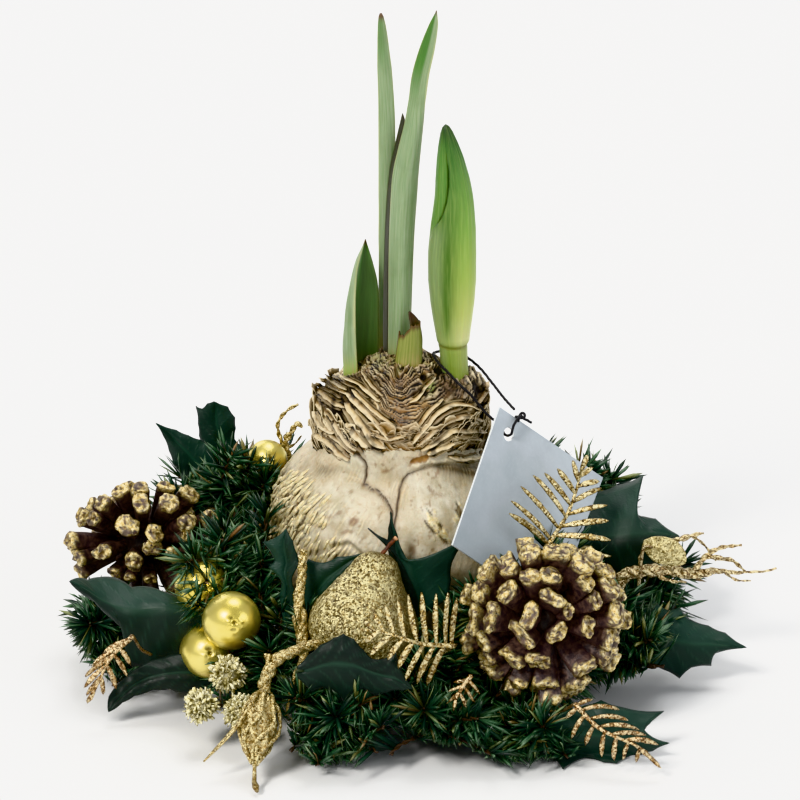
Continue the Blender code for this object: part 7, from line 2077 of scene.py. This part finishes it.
def make_twigs():
    def done(g, name, node, mat=GLITTER):
        o = g.build(name, mat)
        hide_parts(node)

    g = Geo()
    p = smooth_path([(-33, -64, 12), (-34.6, -72.5, 34), (-35.2, -70.0, 44), (-36.4, -63, 54), (-34.6, -54.6, 67)], 150)
    rope_twig(g, noise_path(p, 0.7, 6.0, 900), 1.75, 3, 13.0, 901, (0.8, 1.05, 1.15, 1.0, 0.75))
    p = smooth_path([(-34.9, -71.5, 40), (-37.5, -73.0, 44), (-38.5, -73.0, 49)], 30)
    rope_twig(g, p, 0.8, 2, 9.0, 905, (1, 0.6))
    done(g, "twig_front_rope", "glitter_twig_front")

    g = Geo()
    p = smooth_path([(-34.5, -68, 12), front_point(-29.6, -0.5, -80), front_point(-29.9, 4.4, -85), front_point(-35.3, 3.5, -87.5), front_point(-39.5, 1.9, -89.5), front_point(-44.3, -0.9, -91.5),
                     front_point(-47.8, -6.3, -93), front_point(-48.6, -12.6, -93.8)], 150)
    rope_twig(g, noise_path(p, 0.6, 5.0, 910), 1.6, 3, 11.0, 911, (0.8, 1.0, 1.0, 1.2, 1.3))
    p = smooth_path([(-45.0, -91.8, 35.0), (-47.4, -92.0, 39.0), (-47.8, -92.2, 42.5)], 30)
    rope_twig(g, p, 1.15, 2, 8.0, 915, (1, 1.1, 0.8))
    p = smooth_path([(-36.0, -88.0, 37.0), (-38.6, -90.5, 31.0), (-40.0, -92.0, 24.0), (-41.0, -93.0, 18.5)], 50)
    rope_twig(g, p, 0.8, 2, 8.0, 917, (1, 1.0, 0.7, 0.4))
    done(g, "twig_bent_rope", "glitter_twig_bent")

    # pod: a lantern of twisted strands over a shrunken skin, a tail, and one long blade beside it
    g = Geo()
    a, b = vec((-48.9, -93.6, 28.6)), vec((-52.4, -113.0, 8.5))
    ax = unit(b - a)
    ln = float(np.linalg.norm(b - a))
    s = unit(np.cross(ax, (0.2, 0.9, 0.37)))
    f = np.cross(ax, s)
    u = np.linspace(0, 1, 48)
    rad = np.interp(u, [0, 0.08, 0.25, 0.45, 0.62, 0.78, 0.9, 1.0], [1.0, 3.4, 6.0, 7.2, 6.6, 4.6, 2.4, 0.9])
    n = 60
    th = np.arange(n) * TAU / n
    dirs = np.cos(th)[:, None] * s + np.sin(th)[:, None] * f
    v = a + ax * (u * ln)[:, None, None] + dirs[None] * rad[:, None, None] * 0.82
    rib = np.abs(np.cos(3.5 * (th[None] + 1.6 * u[:, None])))
    v = v + dirs[None] * ((rib ** 3) * 0.9 + 0.9 * vnoise(v / 3.0, 920) + 0.35 * vnoise(v / 0.9, 921))[..., None] * step(rad, 0.6, 3.0)[:, None, None]
    ends = np.stack([a, b])
    g.add(np.concatenate([v.reshape(-1, 3), ends]), np.concatenate([fan(0, n, 48 * n, True), fan(47 * n, n, 48 * n + 1)]), grid_faces(48, n, True),
          shade=np.concatenate([(0.75 * (1 - rib)).reshape(-1), [0, 0]]))
    for k in range(7):
        ph = TAU * k / 7 + 1.7 * u + 0.25 * np.sin(u * 9 + k)
        p = a + ax * (u * ln)[:, None] + (np.cos(ph)[:, None] * s + np.sin(ph)[:, None] * f) * (rad + 0.3)[:, None]
        add_tube(g, p, 0.75 * (1 + 0.35 * vnoise(p / 1.2, 925 + k)) * np.interp(u, [0, 0.1, 0.9, 1], [0.7, 1, 0.9, 0.6]), 7, s, shade=0.05)
    tail = noise_path(smooth_path([b - ax * 1.0, b + ax * 1.5, b + np.array([0.5, -1.6, -2.8])], 30), 0.2, 2.0, 930)
    tail = noise_path(smooth_path([b - ax * 1.0, (-52.2, -115.6, 6.6), (-52.2, -118.6, 3.8), (-51.3, -122.5, 2.1)], 40), 0.25, 2.0, 930)
    add_tube(g, tail, np.interp(np.linspace(0, 1, 40), [0, 0.2, 0.6, 0.82, 1], [1.1, 0.7, 0.85, 1.35, 0.7]), 9, s, shade=np.linspace(0.1, 0.9, 40))
    p = smooth_path([(-47.0, -93.0, 32.0), (-52.5, -99.5, 25.0), (-61.5, -106.0, 16.0), (-70.7, -111.0, 8.6)], 40)
    w = np.interp(np.linspace(0, 1, 40), [0, 0.12, 0.45, 0.8, 0.97, 1.0], [0.7, 1.5, 1.9, 1.2, 0.35, 0.1])
    mid = plain_blade(p, w, (0.6, -0.3, 0.6), 0.5, 7)
    sheet(g, mid, 0.7 * np.ones((40, 1)) * (1 - 0.6 * np.linspace(-1, 1, 7)[None] ** 2), shade=0.15)
    done(g, "pod_lantern", "glitter_pod")

    g = Geo()
    p = smooth_path([(73, -13, 17), front_point(80.0, 27.6, -14), front_point(88.3, 31.0, -14), front_point(96.0, 30.8, -13.5), front_point(104.5, 30.2, -13), front_point(114.0, 30.4, -12), front_point(122.5, 30.2, -11.5),
                     front_point(128.5, 30.9, -11), front_point(136.3, 31.6, -10)], 130)
    rope_twig(g, noise_path(p, 0.7, 5.0, 940), 1.75, 3, 12.0, 941, (0.7, 0.95, 1.15, 1.2, 1.15, 1.0, 0.5, 0.26, 0.22), 0.45)
    for k, (pts, r) in enumerate([
        ([(97.0, 40.6, -14.5), (101.0, 42.4, -14), (106.0, 43.5, -13.5), (110.2, 44.6, -13)], 1.15),
        ([(106.0, 43.2, -13.5), (109.6, 41.0, -13), (113.0, 36.6, -12.5), (114.6, 34.6, -12)], 0.5),
        ([(105.6, 30.6, -12.5), (108.7, 33.8, -12), (112.4, 37.4, -11.5), (116.6, 39.3, -11), (124.0, 40.3, -10.5)], 1.05),
        ([(111.5, 36.2, -12.5), (117.0, 35.2, -12), (120.8, 34.1, -11.5), (125.8, 30.6, -11)], 0.95),
        ([(92.0, 30.6, -15.0), (97.0, 27.6, -16.0), (103.5, 26.8, -16.5)], 0.7),
        ([(88.0, 31.0, -14.5), (86.6, 34.6, -16.0), (88.4, 38.6, -17.0)], 0.6),
        ([(118.0, 30.2, -12.0), (121.5, 27.8, -12.6), (127.0, 27.2, -13.0)], 0.5)]):
        q = noise_path(smooth_path([front_point(*w) for w in pts], 32), 0.4, 4.0, 950 + k)
        rope_twig(g, q, r, 2, 8.0, 960 + k, (1, 0.95, 0.75, 0.4), 0.4)
    add_tube(g, smooth_path([(86.0, -19.0, 30.0), front_point(88.0, 38.6, -18.6), front_point(91.4, 39.4, -18.6)], 16), 0.6, 7, (1, 0.1, 0), shade=0.6)
    done(g, "twig_right_rope", "glitter_twig_right", GLITTER_TWIG)

    g = Geo()
    path = smooth_path([front_point(88.0, 40.6, -17.0), front_point(92.6, 39.2, -18.5), front_point(98.0, 37.0, -18.5), front_point(103.2, 33.8, -17.0)], 40)
    uu = np.linspace(0, 1, 40)
    w = 5.3 * np.sin(np.pi * np.clip(uu * 0.96 + 0.03, 0, 1)) ** 0.62
    mid = plain_blade(path, w, (0.35, -0.25, -0.9), 0.14, 17, wave=0.5, seed=6)
    mid = mid + 0.25 * vnoise(mid / 1.2, 970)[..., None] * np.array([0.2, -0.9, 0.3])
    q = np.linspace(-1, 1, 17)[None]
    sheet(g, mid, 0.7 + 0.5 * np.exp(-(q / 0.12) ** 2) * np.ones((40, 1)), shade=0.25 * np.exp(-(q / 0.10) ** 2) * np.ones((40, 1)))
    done(g, "leaf_right_glitter", "glitter_leaf_right", GLITTER_LEAF)

    # curly twig behind the left shoulder
    g = Geo()
    path = smooth_path([(-44, 46, 16), (-42.6, 47.0, 40), front_point(-39.6, 67.0, 41.0), front_point(-40.3, 72.7, 39.5), front_point(-42.4, 76.1, 38.5), front_point(-44.1, 80.2, 37.5), front_point(-44.1, 84.9, 37.0),
                        front_point(-41.2, 89.0, 36.8), front_point(-37.0, 91.1, 36.5)], 150)
    rope_twig(g, noise_path(path, 0.3, 4.0, 980), 0.85, 2, 9.0, 981, (1, 1, 1, 0.95, 0.7))
    path = smooth_path([front_point(-39.9, 70.5, 40.2), front_point(-41.6, 75.2, 38.0), front_point(-41.4, 78.2, 37.6), front_point(-39.5, 81.5, 37.2), front_point(-37.4, 84.2, 36.8), front_point(-35.3, 82.8, 36.2)], 80)
    rope_twig(g, noise_path(path, 0.3, 4.0, 985), 1.15, 2, 8.0, 986, (1.0, 1.1, 1.0, 0.6))
    path = smooth_path([(-41.8, 40.5, 64.0), (-38.6, 40.5, 66.0), (-35.8, 40.0, 69.5)], 40)
    rope_twig(g, path, 0.6, 2, 8.0, 988, (1.0, 0.5))
    done(g, "curly_twig_rope", "curly_twig")


make_baubles()
make_berries()
make_pear()
make_ferns()
make_twigs()


# ================================================================ card tag and its cord
TAG_CORNER = vec((35.8, -20.0, 107.7))
TAG_ALONG = unit(vec((29.0, 15.06, -28.34)))
TAG_DOWN = unit(vec((-17.1, -38.0, -37.7)))
TAG_FACE = unit(np.cross(TAG_DOWN, TAG_ALONG))
TAG_HOLE = TAG_CORNER + TAG_ALONG * 8.0 + TAG_DOWN * 7.0


def make_tag():
    """The card itself is the frame's own node, with a card finish, painted shade towards its lower part, a painted
    highlight on its edges, and softened edges.
    """
    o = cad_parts["tag"]
    t = NT("card_board")
    fibre = t.noise(900.0, 4.0, 0.65)
    mott = t.noise(90.0, 4.0)
    geo = t.node("ShaderNodeNewGeometry")
    dot = t.node("ShaderNodeVectorMath", operation="DOT_PRODUCT")
    t.link(geo.outputs["True Normal"], dot.inputs[0])
    dot.inputs[1].default_value = tuple(TAG_FACE)
    card_edge_highlight = t.span(t.math("ABSOLUTE", dot.outputs["Value"]), 0.6, 0.35)
    down = t.node("ShaderNodeVectorMath", operation="DOT_PRODUCT")
    t.link(geo.outputs["Position"], down.inputs[0])
    down.inputs[1].default_value = tuple(TAG_DOWN)
    top = float(np.dot(TAG_CORNER, TAG_DOWN)) * MM
    low = t.span(down.outputs["Value"], top, top + 0.056)
    c = t.mix(t.span(mott, 0.35, 0.65), srgb(172, 181, 187), srgb(184, 192, 198))
    c = t.mix(t.math("MULTIPLY", t.span(fibre, 0.5, 0.75), 0.25), c, srgb(202, 210, 216))
    # painted shade: darker towards the bottom of the card
    c = t.mix(t.math("MULTIPLY", low, 0.4), c, srgb(142, 154, 162))
    # painted highlight: the cut edges are painted near white
    c = t.mix(t.math("MULTIPLY", card_edge_highlight, 0.9, clamp=True), c, srgb(232, 236, 237))
    m = t.set(color=c, rough=t.span(mott, 0.3, 0.7, 0.5, 0.62), spec=0.4, normal=t.bump(fibre, 0.2, 0.0002, t.bump(mott, 0.15, 0.0006)))
    o.data.materials.clear()
    o.data.materials.append(m)
    bev = o.modifiers.new("soft_edge", "BEVEL")
    bev.width = 0.00016
    bev.segments = 2
    bev.limit_method = "ANGLE"
    bev.angle_limit = math.radians(40)
    return o


STRING_D = 1.1
STRING_ROUTE = [
    (47.6, -14.4, 99.0), (45.2, -16.6, 101.4), (43.0, -18.6, 102.9), (41.0, -22.2, 101.2),
    TAG_HOLE + TAG_FACE * 1.6, TAG_HOLE - TAG_FACE * 1.6, (35.6, -17.4, 99.8), (31.6, -15.2, 102.6), (28.9, -14.0, 105.4), (25.4, -13.0, 109.6),
    (21.4, -10.8, 112.6), (17.0, -6.6, 115.8), (13.0, -1.8, 118.0), (12.2, 3.6, 118.2), (15.6, 8.4, 117.4), (22.0, 9.2, 115.8), (28.2, 5.6, 112.6),
    (33.2, 0.4, 108.4), (37.4, -8.0, 106.2), (41.4, -15.4, 104.6),
]


def cord_material():
    t = NT("cord_waxed_black")
    fib = t.noise(1600.0, 3.0)
    c = t.mix(t.span(fib, 0.35, 0.65), srgb(14, 13, 15), srgb(36, 34, 38))
    # painted shade: the grooves between the plies are painted darker
    c = t.mix(t.math("MULTIPLY", t.attr("groove"), 0.7), c, srgb(6, 6, 7))
    return t.set(color=c, rough=t.span(fib, 0.3, 0.7, 0.48, 0.66), spec=0.35, sheen=0.15, normal=t.bump(fib, 0.35, 0.0002))


def make_cord():
    mat = cord_material()
    line = smooth_path(STRING_ROUTE, 260)
    rr = np.hypot(line[:, 0], line[:, 1])
    lay = neck_height(np.minimum(rr, 30.8), line[:, 0]) + 1.9
    need = np.where((rr < 31.0) & (line[:, 2] > 100), np.maximum(lay - line[:, 2], 0.0), 0.0)
    line[:, 2] += np.convolve(np.pad(need, 6, "edge"), np.hanning(13) / np.hanning(13).sum(), "valid")
    t, s, f = frames_along(line, (0.3, 0.2, 0.9))
    run = np.concatenate([[0], np.cumsum(np.linalg.norm(np.diff(line, axis=0), axis=1))])
    n = 20
    a = np.arange(n) * TAU / n
    twist = run / 2.6 * TAU
    lob = np.cos(3 * (a[None] + twist[:, None] / 3))
    r = STRING_D / 2 * (0.90 + 0.11 * lob)
    r[0] *= 0.6
    r[-1] *= 0.6
    v = line[:, None] + r[..., None] * (np.cos(a)[None, :, None] * s[:, None] + np.sin(a)[None, :, None] * f[:, None])
    rows = len(line)
    g = Geo()
    g.add(np.concatenate([v.reshape(-1, 3), line[:1], line[-1:]]), np.concatenate([fan(0, n, rows * n, True), fan((rows - 1) * n, n, rows * n + 1)]), grid_faces(rows, n, True),
          groove=np.concatenate([(0.5 - 0.5 * lob).reshape(-1), [0, 0]]))
    cord = g.build("tag_cord", mat)
    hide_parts("tag_string")
    # overhand knot near the cord's end: one tied loop of the same cord
    c0 = vec((43.4, -18.2, 103.0))
    kk = np.linspace(0, TAU, 140, endpoint=False)
    e1, e2 = unit(vec((0.75, -0.35, 0.45))), unit(vec((0.3, 0.9, 0.2)))
    e2 = unit(e2 - e1 * float(np.dot(e1, e2)))
    e3 = np.cross(e1, e2)
    kx = (np.sin(kk) + 2 * np.sin(2 * kk)) * 0.62
    ky = (np.cos(kk) - 2 * np.cos(2 * kk)) * 0.62
    kz = -np.sin(3 * kk) * 0.62
    loop = c0 + kx[:, None] * e1 + ky[:, None] * e2 + kz[:, None] * e3
    up = units(np.cross(np.gradient(loop, axis=0), e3 + 0.01))
    tt = units(np.roll(loop, -1, 0) - np.roll(loop, 1, 0))
    s1 = units(np.cross(tt, e3))
    f1 = np.cross(tt, s1)
    m = 12
    b = np.arange(m) * TAU / m
    vv = loop[:, None] + 0.52 * (np.cos(b)[None, :, None] * s1[:, None] + np.sin(b)[None, :, None] * f1[:, None])
    rows = len(loop)
    last = np.array([((rows - 1) * m + j, (rows - 1) * m + (j + 1) % m, (j + 1) % m, j) for j in range(m)])
    g = Geo()
    g.add(vv.reshape(-1, 3), f4=np.concatenate([grid_faces(rows, m, True), last]), groove=0.3)
    knot = g.build("tag_cord_knot", mat)
    length = float(run[-1]) * MM
    return length


CARD = make_tag()
CORD_LENGTH = make_cord()
print("cord length mm", round(CORD_LENGTH * 1000, 1))
